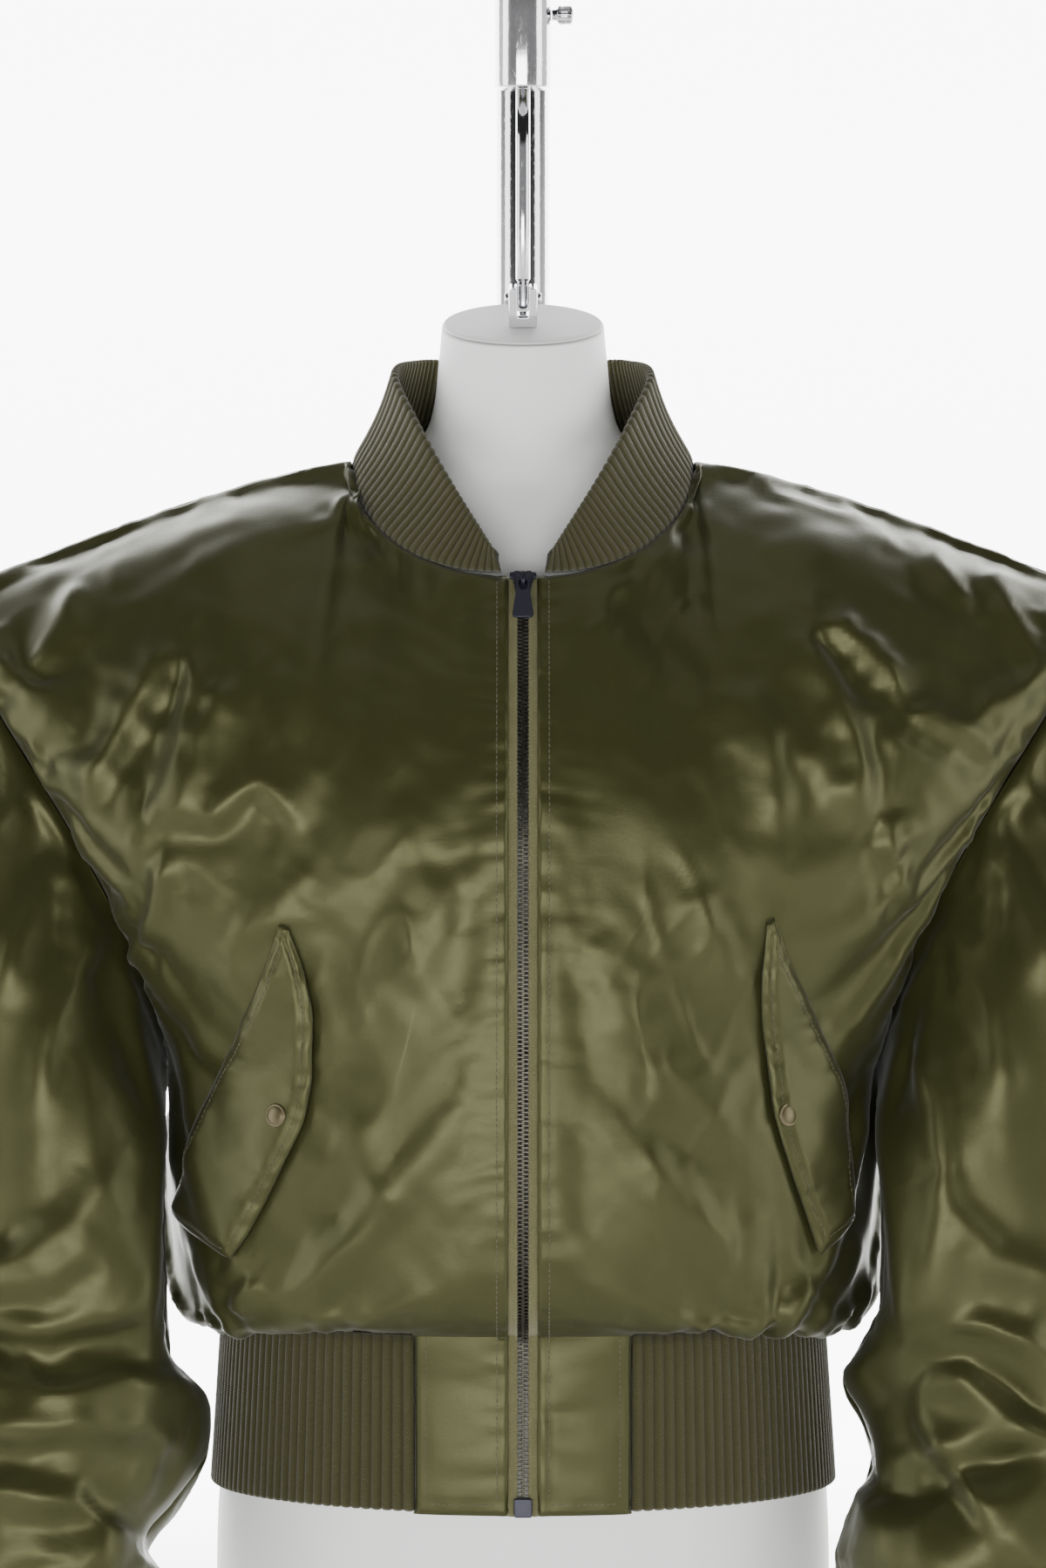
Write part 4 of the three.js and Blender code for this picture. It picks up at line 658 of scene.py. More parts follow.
def drape(grid, closed, held, growth, seed):
    """How far the points of a grid move when cloth a little too large for it settles between its seams."""
    rows, columns = grid.shape[:2]
    mesh = bpy.data.meshes.new("drape")
    j, i = np.nonzero(np.ones((rows - 1, columns if closed else columns - 1), bool))
    right = (i + 1) % columns
    faces = cell_corners(j, i, right, columns).T
    jitter = soft_noise(grid[..., 0] + grid[..., 1], grid[..., 2], DRAPE_JITTER_SIZE, seed) * DRAPE_JITTER
    start = grid + normals_of(grid, closed) * (jitter * (1 - held))[..., None]
    mesh.from_pydata((start.reshape(-1, 3) / 1000).tolist(), [], faces.tolist())
    cloth = bpy.data.objects.new("drape", mesh)
    bpy.context.scene.collection.objects.link(cloth)
    group = cloth.vertex_groups.new(name="seams")
    for index, weight in enumerate(held.ravel()):
        group.add([index], float(weight), "REPLACE")
    modifier = cloth.modifiers.new("cloth", "CLOTH")
    settings = modifier.settings
    settings.quality = 6
    settings.mass = 0.15
    settings.tension_stiffness = settings.compression_stiffness = 12
    settings.shear_stiffness = 4
    settings.bending_stiffness = 1.2
    settings.bending_model = "ANGULAR"
    settings.vertex_group_mass = "seams"
    settings.pin_stiffness = 1
    settings.shrink_min = settings.shrink_max = -growth
    settings.effector_weights.gravity = 0.35
    settings.air_damping = 3
    modifier.point_cache.frame_start = 1
    modifier.point_cache.frame_end = DRAPE["frames"]
    scene = bpy.context.scene
    for number in range(1, DRAPE["frames"] + 1):
        scene.frame_set(number)
    settled = cloth.evaluated_get(bpy.context.evaluated_depsgraph_get())
    places = np.empty(rows * columns * 3)
    settled.data.vertices.foreach_get("co", places)
    scene.frame_set(1)
    bpy.data.objects.remove(cloth)
    bpy.data.meshes.remove(mesh)
    return places.reshape(grid.shape) * 1000 - grid


def capped(moves, most):
    """Moves held softly under a limit."""
    size = np.linalg.norm(moves, axis=-1, keepdims=True)
    return moves * (most * np.tanh(size / most) / np.maximum(size, 1e-6))


# Where the cloth is seen from, and how it keeps off the form

VIEW = {"away": 3000.0, "height": 759.5, "tilt": math.radians(1.67), "lens": 129.07, "plane": 2860.0}


def front_view(points):
    """Where points of the jacket are seen from the front, in millimetres on the plane of the fronts."""
    turn, fall = math.cos(VIEW["tilt"]), math.sin(VIEW["tilt"])
    ahead = VIEW["away"] + points[..., 1]
    above = points[..., 2] + HEM_HEIGHT - VIEW["height"]
    depth = ahead * turn - above * fall
    rise = (ahead * fall + above * turn) / depth
    base = VIEW["height"] - HEM_HEIGHT
    return points[..., 0] * VIEW["plane"] / depth, base + (rise - fall / turn) * VIEW["plane"]


def form_measure(points, room):
    """Under 1 inside the dress form grown by room, over 1 outside it."""
    z = points[..., 2]
    side, front, back = (FORM.read(column, z) + room for column in ("side", "front", "back"))
    away = points[..., 1] - FORM_MIDDLE * smooth(300, 520, z)
    pinch = FORM_PINCH["most"] * smooth(FORM_PINCH["from"], FORM_PINCH["full"], z) * (1 - smooth(545, 575, z))
    deep = np.abs(away) / np.where(away < 0, front, back)
    return (points[..., 0] / side) ** 2 + deep ** (2 / (1 + pinch))


def clear_of_form(points, room):
    """Moves points sideways out of the dress form, with room to spare."""
    moved = points.copy()
    middle = FORM_MIDDLE * smooth(300, 520, points[..., 2])
    for _ in range(4):
        measure = form_measure(moved, room)
        scale = np.where((measure < 1) & (points[..., 2] < 505), np.maximum(measure, 0.05) ** -0.52, 1.0)
        moved[..., 0] *= scale
        moved[..., 1] = middle + (moved[..., 1] - middle) * scale
    return moved


def stations(total, step, marks=()):
    """Places from 0 to total about a step apart, closer together beside the ends and the marks."""
    near = np.array([0, 0.4, 1.0, 1.9, 3.1])
    close = np.concatenate([near, total - near] + [mark + sign * near for mark in marks for sign in (-1, 1)])
    close = np.unique(np.round(close[(close >= 0) & (close <= total + 1e-6)], 4))
    plain = np.linspace(0, total, int(total / step) + 1)
    apart = np.abs(plain[:, None] - close[None, :]).min(axis=1)
    return np.unique(np.concatenate([close, plain[apart > 0.6 * step]]))


def shares_at(line, places, shares):
    """The shares at which a line of points has run a number of millimetres."""
    return np.interp(places, run_of(line), shares)


def run_of(line):
    """How far each point of a line lies from its first one."""
    return np.concatenate([[0], np.cumsum(np.linalg.norm(np.diff(line, axis=0), axis=1))])


def length_of(line):
    return float(np.linalg.norm(np.diff(line, axis=0), axis=1).sum())


def groove(distance, place, wide, deep):
    return -deep * np.exp(-(((distance - place) / wide) ** 2))


def puckers(along, away, size, seed, reach, high):
    """Small uneven ripples across a seam that die out away from it."""
    slant = away * 0.25 * soft_noise(along, 0, size * 6, seed + 5)
    ripple = soft_noise(along + slant, away * 0.18, size, seed)
    return high * (ripple - 0.15) * np.exp(-((away / reach) ** 1.4)) * smooth(0, 3, away)


def body_normal(across, v, face):
    """The way out of the body's surface on the wearer's left."""
    step = 0.004
    along = body_surface(np.minimum(across + step, 1), v, face) - body_surface(across - step, v, face)
    up = body_surface(across, np.minimum(v + step, 1), face) - body_surface(across, v - step, face)
    return unit(np.cross(along, up)) * (-face)


def seam_direction(side, turn):
    """The way out that the body and the sleeve share along the armhole."""
    turn = np.asarray(turn, float)
    round_ = np.where(turn <= np.pi, turn, 2 * np.pi - turn)
    v = np.clip(V_UNDERARM + (1 - V_UNDERARM) * round_ / np.pi, V_UNDERARM + 0.01, 0.995)
    front, back = (body_normal(np.full(v.shape, 0.985), v, face) for face in (-1, 1))
    body = np.where((turn <= np.pi)[..., None], front, back)
    step = 0.01
    at = lambda s, about: sleeve_surface(1, np.full(turn.shape, s), about)
    about = at(0.03, turn + step) - at(0.03, turn - step)
    down = at(0.05, turn) - at(0.01, turn)
    out = unit(body + unit(np.cross(about, -down)))
    out[..., 0] *= side
    return out


def turned_to_seam(normals, seam, distance, reach=6.0):
    share = np.exp(-((distance / reach) ** 2))[..., None]
    return unit(mix(normals, seam, share))


PANELS = {}

# The body's panels

STEP = 2.9
EDGE_SHARE, TOP_SHARE = 0.9988, 0.999
FOLD_LIFT = 1.7
BODY_ROOM = 1.2
FAR = 99.0
SATIN_WALL = 2.2
TUCK = {"deep": 2.6, "wide": 2.1}
ZIP_STITCH = 6.4
TAB_STITCH = {"side": 5.5, "bottom": 6.0}


def tab_share():
    low, high = 0.0, 1.0
    for _ in range(40):
        middle = (low + high) / 2
        if section_point(np.array(middle), np.array(0.0), -1)[0] < TAB_WIDTH:
            low = middle
        else:
            high = middle
    return low


TAB_SHARE = tab_share()


def edge_tuck(distance, deep=TUCK["deep"], wide=TUCK["wide"]):
    return -deep * np.exp(-((distance / wide) ** 2))


def satin_waves(x, y, z, seed):
    """The slow unevenness of padded satin that nothing pulls flat."""
    broad = soft_noise(x + 0.4 * z, z - 0.3 * x, 58, seed) + 0.6 * soft_noise(x - y, z + y, 31, seed + 1)
    small = soft_noise(x + 0.8 * z, (z + y) * 0.6, 13, seed + 2)
    crease = soft_noise(x + 0.35 * z, (z - 0.5 * x) * 0.5, 27, seed + 3)
    second = soft_noise(x - 0.6 * z, (z + 0.6 * x) * 0.45, 19, seed + 4)
    ridges = np.exp(-((crease / 0.2) ** 2)) + 0.6 * np.exp(-((second / 0.2) ** 2))
    return 1.1 * broad + 0.34 * small + 0.75 * (ridges - 0.5) * smooth(-0.9, 0.6, broad)


def gathers(along, above, seed):
    """Cloth gathered into a knit band: ridges that run up from the seam and fade."""
    lean = above * 0.22 * soft_noise(along, 0, 60, seed + 7)
    broad = soft_noise(along + lean, above * 0.06, 9.5, seed)
    fine = soft_noise(along + lean, above * 0.1, 4.8, seed + 1)
    return (4.0 * broad * np.exp(-above / 40) + 1.9 * fine * np.exp(-above / 17)) * smooth(0, 6, above)


def settle(coarse, rows, columns, closed, growth, held, seed, most):
    """How a coarse grid of cloth settles, read at finer places along its rows and columns."""
    moves = capped(drape(coarse, closed, held, growth, seed), most)
    down = cubic_weights(rows, coarse.shape[0])
    across = cubic_weights(columns, coarse.shape[1], closed)
    return np.einsum("ij,jkc,lk->ilc", down, moves, across)


def body_half(across, v, face, side):
    grid = body_surface(across, v, face)
    grid[..., 0] *= side
    return grid


def front_grid(side, puff):
    """The outside of one front: its rows run up from the tab's end, its columns out from the zip."""
    samples = np.linspace(0, EDGE_SHARE, 500)
    line = body_surface(samples, np.full(500, 0.35), -1)
    tab_place = np.interp(TAB_SHARE, samples, run_of(line))
    across = shares_at(line, stations(length_of(line), STEP, [tab_place]), samples)
    across[np.argmin(np.abs(across - TAB_SHARE))] = TAB_SHARE
    up = np.linspace(V_TAB, TOP_SHARE, 600)
    line = body_surface(np.full(600, 0.3), up, -1)
    band_place = np.interp(0, up, run_of(line))
    v = shares_at(line, stations(length_of(line), STEP, [band_place]), up)
    band_row = int(np.argmin(np.abs(v)))
    v[band_row] = 0.0
    t, rows = np.meshgrid(across, v)
    base = body_half(t, rows, -1, side)
    normals = normals_of(base) * side

    from_zip = lengths_along(base, 1)
    from_side = from_zip[:, -1:] - from_zip
    up = lengths_along(base, 0)
    in_tab = t <= TAB_SHARE + 1e-9
    from_bottom = np.where(in_tab, up, up - up[band_row])
    from_top = up[-1:] - up
    tab_column = int(np.argmin(np.abs(across - TAB_SHARE)))
    from_tab = np.where(rows < 0, np.abs(from_zip[:, [tab_column]] - from_zip), FAR)
    above_band = np.maximum(up - up[band_row], 0)
    bottom_run = from_zip[band_row][None, :] * np.ones_like(up)

    at_armhole = (rows > V_UNDERARM)[..., None]
    seam = seam_direction(side, armhole_turn(rows))
    normals = np.where(at_armhole, turned_to_seam(normals, seam, from_side), normals)

    x, z = front_view(base)
    seed = 11 if side > 0 else 23
    folds = fold_heights(x, z, FRONT_FOLDS[side])
    open_side = smooth(0, 9, from_side)
    folds = folds * smooth(10, 34, from_zip) * smooth(0, 26, above_band) * open_side * smooth(0, 22, from_top)
    waves = satin_waves(x, base[..., 1], z, seed) * smooth(4, 30, from_zip)
    waves = waves * smooth(0, 20, from_top) * smooth(0, 12, above_band)
    bands = gathers(bottom_run, above_band, seed + 3) * smooth(0.2, 0.32, t) * (rows > 0)
    height = puff * (folds + waves) + bands
    height += puckers(up, from_zip, 5.2, seed + 20, 19, 0.85)
    height += groove(from_zip, ZIP_STITCH, 0.9, 0.5) + edge_tuck(from_zip, 1.3, 1.3)
    height += 0.5 * np.exp(-(((from_zip - 3.2) / 2.2) ** 2))
    height += puckers(up, from_side, 6.5, seed + 30, 13, 1.0) + edge_tuck(from_side)
    height += puckers(from_zip, from_top, 7.0, seed + 40, 11, 0.7) + edge_tuck(from_top)
    height += np.where(in_tab & (rows < 0.02), 0.0, edge_tuck(from_bottom) * (rows >= 0))
    low_tab = np.where(in_tab, up, FAR)
    height += groove(low_tab, TAB_STITCH["bottom"], 0.9, 0.45) + edge_tuck(low_tab, 1.6, 1.6)
    height += edge_tuck(from_tab, 2.4, 1.2)
    height += groove(from_tab, TAB_STITCH["side"], 0.9, 0.45) * (rows < 0)
    height += np.where(in_tab, puckers(from_zip, low_tab, 6.0, seed + 50, 9, 0.6), 0)
    height += np.where(in_tab & (rows < 0), 0.5 * soft_noise(from_zip, up, 17, seed + 60), 0)

    coarse_t, coarse_v = np.meshgrid(np.linspace(0, EDGE_SHARE, 42), np.linspace(0, TOP_SHARE, 84))
    coarse = body_half(coarse_t, coarse_v, -1, side)
    cx, cz = front_view(coarse)
    soft = smooth(0, 0.08, coarse_t) * smooth(0, 0.05, coarse_v) * (1 - smooth(0.94, 1, coarse_v))
    coarse_height = FOLD_LIFT * fold_heights(cx, cz, FRONT_FOLDS[side]) * soft * (1 - smooth(0.93, 1, coarse_t))
    coarse = coarse + normals_of(coarse) * side * coarse_height[..., None]
    held = np.zeros(coarse_t.shape)
    held[0], held[-1], held[:, 0], held[:, -1] = 1, 1, 1, 1
    growth = DRAPE["growth"] * (1 - DRAPE["right_more"] * side)
    down, over = np.clip(v, 0, None) / TOP_SHARE * 83, across / EDGE_SHARE * 41
    moves = settle(coarse, down, over, False, growth, held, seed, DRAPE["most"])
    calm = 0.35 + 0.65 * smooth(30, 110, from_zip)
    free = calm * smooth(0, 14, above_band) * smooth(4, 26, from_zip) * smooth(0, 14, from_top)
    moves = moves * free[..., None]
    grid = base + normals * height[..., None] + moves
    grid = clear_of_form(grid, SATIN_WALL + BODY_ROOM)
    present = (rows[:-1, :-1] >= 0) | (t[:-1, 1:] <= TAB_SHARE + 1e-9)
    return {"grid": grid, "across": across, "v": v, "present": present, "side": side, "up": up, "from_zip": from_zip}


def back_grid(puff):
    """The outside of the back, from the wearer's left side seam to the right one."""
    samples = np.linspace(EDGE_SHARE, 0, 400)
    line = body_surface(samples, np.full(400, 0.35), 1)
    half = shares_at(line, stations(length_of(line), STEP * 1.06), samples)
    half = half[half > 0.006]
    across = np.concatenate([half, [0.0], -half[::-1]])
    up = np.linspace(0, TOP_SHARE, 500)
    line = body_surface(np.full(500, 0.4), up, 1)
    v = shares_at(line, stations(length_of(line), STEP * 1.06), up)

    def surface(c, rows):
        grid = body_surface(np.abs(c), rows, 1)
        grid[..., 0] *= np.where(c < 0, -1, 1)
        grid[..., 1] += SEAM_GAP * smooth(400, 470, grid[..., 2])
        return grid

    c, rows = np.meshgrid(across, v)
    base = surface(c, rows)
    normals = normals_of(base)
    run = lengths_along(base, 1)
    from_side = np.minimum(run, run[:, -1:] - run)
    up = lengths_along(base, 0)
    from_top = up[-1:] - up
    bottom_run = run[0][None, :] * np.ones_like(up)
    x, z = base[..., 0], base[..., 2]
    seam = seam_direction(1, 2 * np.pi - armhole_turn(rows))
    seam[..., 0] *= np.where(c < 0, -1, 1)
    normals = np.where((rows > V_UNDERARM)[..., None], turned_to_seam(normals, seam, from_side), normals)
    open_side = smooth(0, 9, from_side)
    folds = fold_heights(x, z, BACK_FOLDS) * smooth(0, 26, up) * open_side * smooth(0, 22, from_top)
    waves = satin_waves(x, base[..., 1], z, 37) * smooth(0, 20, from_top) * smooth(0, 12, up)
    height = puff * (folds + waves) + gathers(bottom_run, up, 41)
    height += puckers(up, from_side, 6.5, 43, 13, 1.0) + edge_tuck(from_side)
    height += puckers(run, from_top, 7.0, 47, 11, 0.7) + edge_tuck(from_top) + edge_tuck(up)

    coarse_c, coarse_v = np.meshgrid(np.linspace(EDGE_SHARE, -EDGE_SHARE, 83), np.linspace(0, TOP_SHARE, 80))
    coarse = surface(coarse_c, coarse_v)
    soft = (1 - smooth(0.93, 1, np.abs(coarse_c))) * smooth(0, 0.05, coarse_v) * (1 - smooth(0.94, 1, coarse_v))
    coarse_height = fold_heights(coarse[..., 0], coarse[..., 2], BACK_FOLDS) * soft
    coarse = coarse + normals_of(coarse) * coarse_height[..., None]
    held = np.zeros(coarse_c.shape)
    held[0], held[-1], held[:, 0], held[:, -1] = 1, 1, 1, 1
    over = (EDGE_SHARE - across) / (2 * EDGE_SHARE) * 82
    moves = settle(coarse, v / TOP_SHARE * 79, over, False, DRAPE["growth"], held, 53, DRAPE["most"])
    moves = moves * (smooth(0, 14, up) * smooth(0, 14, from_top))[..., None]
    return clear_of_form(base + normals * height[..., None] + moves, SATIN_WALL + BODY_ROOM)


def sleeve_grid(side, puff):
    """The outside of a sleeve: its rows run up from the cuff, its columns round it from the underarm seam."""
    samples = np.linspace(1, 0, 500)
    line = sleeve_surface(side, samples, np.full(500, np.pi / 2))
    s = shares_at(line, stations(length_of(line), STEP * 1.05), samples)
    count = 172
    turn = np.linspace(0, 2 * np.pi, count, endpoint=False)
    turns, places = np.meshgrid(turn, s)

    def surface(at, round_):
        grid = sleeve_surface(side, at, round_)
        below = sleeve_surface(side, np.minimum(at + 0.02, 1), round_)
        return grid + unit(below - grid) * (SEAM_GAP * (1 - smooth(0, 0.02, at)))[..., None]

    base = surface(places, turns)
    up = lengths_along(base, 0)
    from_top = up[-1:] - up
    normals = turned_to_seam(normals_of(base, True) * side, seam_direction(side, turns), from_top)
    girth = np.linalg.norm(np.roll(base, -1, 1) - base, axis=-1).sum(axis=1, keepdims=True)
    radius = girth / (2 * np.pi)
    ring_x, ring_y = radius * np.cos(turns), radius * np.sin(turns)
    seed = 61 if side > 0 else 71
    front = np.where(turns <= np.pi, np.sin(turns), 0)
    back = np.where(turns >= np.pi, -np.sin(turns), 0)
    x, z = front_view(base)
    folds = fold_heights(x, z, SLEEVE_FRONT_FOLDS[side]) * smooth(0.02, 0.45, front)
    folds += fold_heights(base[..., 0] * side, base[..., 2], SLEEVE_BACK_FOLDS) * smooth(0.02, 0.45, back)
    toward_body = 1 - smooth(0.35, 0.9, 1 - np.cos(turns))
    facing_body = 1 - 0.5 * toward_body * smooth(0.05, 0.3, places) * (1 - smooth(0.6, 0.8, places))
    ends = smooth(0, 22, up) * smooth(0, 20, from_top)
    waves = soft_noise(ring_x + 0.5 * up, ring_y - 0.5 * up, 44, seed) * 1.5
    waves += soft_noise(ring_x * 1.2, ring_y * 1.2 + up * 0.5, 22, seed + 1) * 0.8 * smooth(0.3, 0.5, places)
    height = puff * (folds + waves) * ends * facing_body
    cuff_gather = 2.2 * np.exp(-up / 30) * soft_noise(ring_x, ring_y + 0.1 * up, 7.5, seed + 2)
    cuff_gather += 1.0 * np.exp(-up / 13) * soft_noise(ring_x, ring_y + 500, 4, seed + 3)
    height += cuff_gather * smooth(0, 6, up)
    ease_in = soft_noise(ring_x, ring_y + from_top * 0.15, 6.5, seed + 4) - 0.1
    height += 1.1 * ease_in * np.exp(-((from_top / 17) ** 1.4)) * smooth(0, 3, from_top)
    from_seam = np.abs(np.angle(np.exp(1j * turns))) * radius
    height += puckers(up, from_seam, 6.5, seed + 5, 10, 0.8) + edge_tuck(from_seam) * 0.8
    height += edge_tuck(from_top) + edge_tuck(up)

    coarse_rows, coarse_columns = 100, 84
    coarse_turn, coarse_s = np.meshgrid(
        np.linspace(0, 2 * np.pi, coarse_columns, endpoint=False), np.linspace(1, 0, coarse_rows)
    )
    coarse = surface(coarse_s, coarse_turn)
    cfront = np.where(coarse_turn <= np.pi, np.sin(coarse_turn), 0)
    cback = np.where(coarse_turn >= np.pi, -np.sin(coarse_turn), 0)
    cx, cz = front_view(coarse)
    coarse_height = fold_heights(cx, cz, SLEEVE_FRONT_FOLDS[side]) * smooth(0.02, 0.45, cfront)
    coarse_height += fold_heights(coarse[..., 0] * side, coarse[..., 2], SLEEVE_BACK_FOLDS) * smooth(0.02, 0.45, cback)
    coarse_height *= smooth(0, 0.05, coarse_s) * (1 - smooth(0.94, 1, coarse_s))
    coarse = coarse + normals_of(coarse, True) * side * coarse_height[..., None]
    held = np.zeros(coarse_s.shape)
    held[0], held[-1] = 1, 1
    held[:, 0] = 0.3
    growth = DRAPE["growth"] * DRAPE["sleeve_more"]
    columns = turn / (2 * np.pi) * coarse_columns
    moves = settle(coarse, (1 - s) * (coarse_rows - 1), columns, True, growth, held, seed, DRAPE["most"])
    moves = moves * (smooth(0, 12, up) * smooth(0, 14, from_top) * facing_body)[..., None]
    return base + normals * height[..., None] + moves


# Knit ribbing

RIB_RELIEF = 1.15
COLLAR_HEIGHT = 62.0
COLLAR_RIBS, BAND_RIBS, CUFF_RIBS = 118, 150, 46


def ribbing(name, surface, ribs, height, rows, material, closed=False, reverse=False, wave=0.5, under=0.0):
    """Doubled rib knit over a surface of share and level: level 0 is sewn, level 1 is the fold."""
    per_rib = 6
    radius = RIB_WALL / 2
    columns = ribs * per_rib + (0 if closed else 1)
    share = np.arange(columns) / (ribs * per_rib)
    fold = 1 - radius / height
    straight = np.concatenate([[-under / height, -under / height / 2], np.linspace(0, fold, rows)])
    turn = np.linspace(0, np.pi, 7)[1:-1]
    levels = np.concatenate([straight, fold + radius / height * np.sin(turn), straight[::-1]])
    angles = np.concatenate([np.zeros(rows + 2), turn, np.full(rows + 2, np.pi)])
    s, level = np.meshgrid(share, np.minimum(levels, fold))
    base = surface(s, level)
    step = 0.002
    held = (lambda at: at) if closed else (lambda at: np.clip(at, 0, 1))
    along = unit(surface(held(s + step), level) - surface(held(s - step), level))
    down = unit(surface(s, level + 0.01) - surface(s, level - 0.01))
    out = unit(np.cross(along, down)) * (1 if reverse else -1)
    phase = (share * ribs) % 1
    ridge = np.sqrt(np.abs(np.sin(np.pi * phase)))
    strength = np.where(angles[:, None] == 0, smooth(0, 0.06, levels)[:, None] * 0.4 + 0.6, 0.75)
    dip = RIB_RELIEF * (1 - ridge)[None, :] * strength
    sway = wave * soft_noise(s * ribs, level * 3, 9, ribs) * (level if not closed else level * 0.6)
    squeeze = 0.9 * np.exp(-np.maximum(level, 0) * height / 3)
    sway = sway - 1.6 * smooth(0, under + 1, -level * height)
    reach = (radius - dip - squeeze)[..., None]
    angle = angles[:, None, None]
    points = base + out * (sway - radius)[..., None] + reach * (out * np.cos(angle) + down * np.sin(angle))
    count = len(levels)
    grid = np.arange(count * columns).reshape(count, columns)
    if closed:
        grid = np.concatenate([grid, grid[:, :1]], axis=1)
    wrapped = np.concatenate([grid, grid[:1]], axis=0)
    a, b, c, d = wrapped[:-1, :-1], wrapped[:-1, 1:], wrapped[1:, 1:], wrapped[1:, :-1]
    order = (a, d, c, b) if not reverse else (a, b, c, d)
    faces = np.stack([q.ravel() for q in order], axis=1).tolist()
    if not closed:
        ends = [grid[:, 0].tolist(), grid[::-1, -1].tolist()]
        faces += ends if not reverse else [end[::-1] for end in ends]
    far_side = fold + radius * np.pi / height + (fold - straight[::-1])
    millimetres = np.concatenate([straight, fold + radius * turn / height, far_side])
    uv = np.stack(np.broadcast_arrays((share * ribs)[None, :], (millimetres * height)[:, None]), axis=-1)
    return new_piece(name, points.reshape(-1, 3), faces, material, uvs=uv.reshape(-1, 2))


def waistband_surface(share, level):
    up = 1 - level
    start = np.arcsin((TAB_WIDTH + SEAM_GAP) / (mix(BAND_SIDE["hem"], BAND_SIDE["waist"], up) - 1.0))
    angle = mix(start, 2 * np.pi - start, share)
    side = mix(BAND_SIDE["hem"], BAND_SIDE["waist"], up)
    deep = mix(BAND_DEPTH["hem"], BAND_DEPTH["waist"], up)
    return points_of(side * np.sin(angle), -deep * np.cos(angle), up * (BAND_HEIGHT - SEAM_GAP))


def collar_surface(share, level):
    at = mix(0.008, 0.992, np.clip(share, 0, 1))
    around = at * 360
    side = np.where(around <= 180, 1.0, -1.0)
    angle = np.where(around <= 180, around, 360 - around)
    front = neckline(np.radians(np.minimum(angle, 90)), -1)
    back = neckline(np.radians(np.minimum(180 - angle, 90)), 1)
    seam = np.where((angle <= 90)[..., None], front, back)
    top = points_of(*(COLLAR.read(column, angle) for column in "xyz"))
    start = seam + unit(top - seam) * (SEAM_GAP + 0.5)
    point = start + (top - start) * level[..., None]
    hollow = 2.5 * np.sin(np.pi * np.clip(level, 0, 1)) * smooth(20, 60, angle)
    inward = unit(point * [1, 1, 0] - [0, 10, 0])
    point = point - inward * hollow[..., None]
    point[..., 0] *= side
    return point


def cuff_surface(side):
    table = SLEEVES[side]
    last = {name: column[-1] for name, column in table.columns.items()}
    half = (last["x_out"] - last["x_in"]) / 2
    slope = (last["z_out"] - last["z_in"]) / (2 * half)
    lean = last["y"] / LEAN_DEPTH * LEAN_MOST

    def surface(share, level):
        turn = share * 2 * np.pi
        out = -(half - CUFF_END["inset"] * level) * np.cos(turn)
        back = -mix(last["deep"], CUFF_END["deep"], level) * np.sin(turn)
        middle = (last["x_in"] + last["x_out"]) / 2
        z = (last["z_in"] + last["z_out"]) / 2 + slope * out + lean * back - 0.5 - CUFF_END["drop"] * level
        return points_of(side * (middle + out), last["y"] + CUFF_END["y"] * level + back, z)

    return surface


# Places on the fronts


def on_front(x, z):
    """The share across and the row of the front's surface under points of the front view."""
    x, z = np.abs(np.asarray(x, float)), np.asarray(z, float)
    t, v = np.full(x.shape, 0.5), np.full(x.shape, 0.35)
    step = 0.001
    for _ in range(30):
        here = body_surface(t, v, -1)
        dt = body_surface(t + step, v, -1) - here
        dv = body_surface(t, v + step, -1) - here
        area = dt[..., 0] * dv[..., 2] - dv[..., 0] * dt[..., 2]
        ex, ez = x - here[..., 0], z - here[..., 2]
        t = np.clip(t + step * (ex * dv[..., 2] - dv[..., 0] * ez) / area, 0.02, 0.98)
        v = np.clip(v + step * (dt[..., 0] * ez - ex * dt[..., 2]) / area, 0.02, 0.98)
    return t, v


def read_panel(panel, across, v):
    """Points of the made front at shares across and rows."""
    i = np.interp(across, panel["across"], np.arange(len(panel["across"])))
    j = np.interp(v, panel["v"], np.arange(len(panel["v"])))
    a, b = np.minimum(i.astype(int), len(panel["across"]) - 2), np.minimum(j.astype(int), len(panel["v"]) - 2)
    f, g = (i - a)[..., None], (j - b)[..., None]
    grid = panel["grid"]
    return mix(mix(grid[b, a], grid[b, a + 1], f), mix(grid[b + 1, a], grid[b + 1, a + 1], f), g)


def box_mean(grid, wide):
    """A grid of points averaged over a few neighbours each way."""
    for axis in (0, 1):
        pad = [(wide, wide) if k == axis else (0, 0) for k in range(3)]
        padded = np.pad(grid, pad, mode="reflect", reflect_type="odd")
        places = np.arange(grid.shape[axis])
        grid = np.mean([np.take(padded, places + k, axis=axis) for k in range(2 * wide + 1)], axis=0)
    return grid


def flap_bed(panel, b, a):
    """The front's smoothed surface and normals under the flap: a is 0 at its sewn edge, 1 at its free edge."""
    side = panel["side"]
    plan = FLAPS[side]
    t1, v1 = on_front(plan.read("x_sewn", b), plan.read("z_sewn", b))
    t2, v2 = on_front(plan.read("x_free", b), plan.read("z_free", b))
    t, v = mix(t1[:, None], t2[:, None], a[None, :]), mix(v1[:, None], v2[:, None], a[None, :])
    bed = box_mean(read_panel(panel, t, v), 3)
    normals = normals_of(bed)
    normals *= -np.sign(normals[..., 1:2])
    return bed, normals


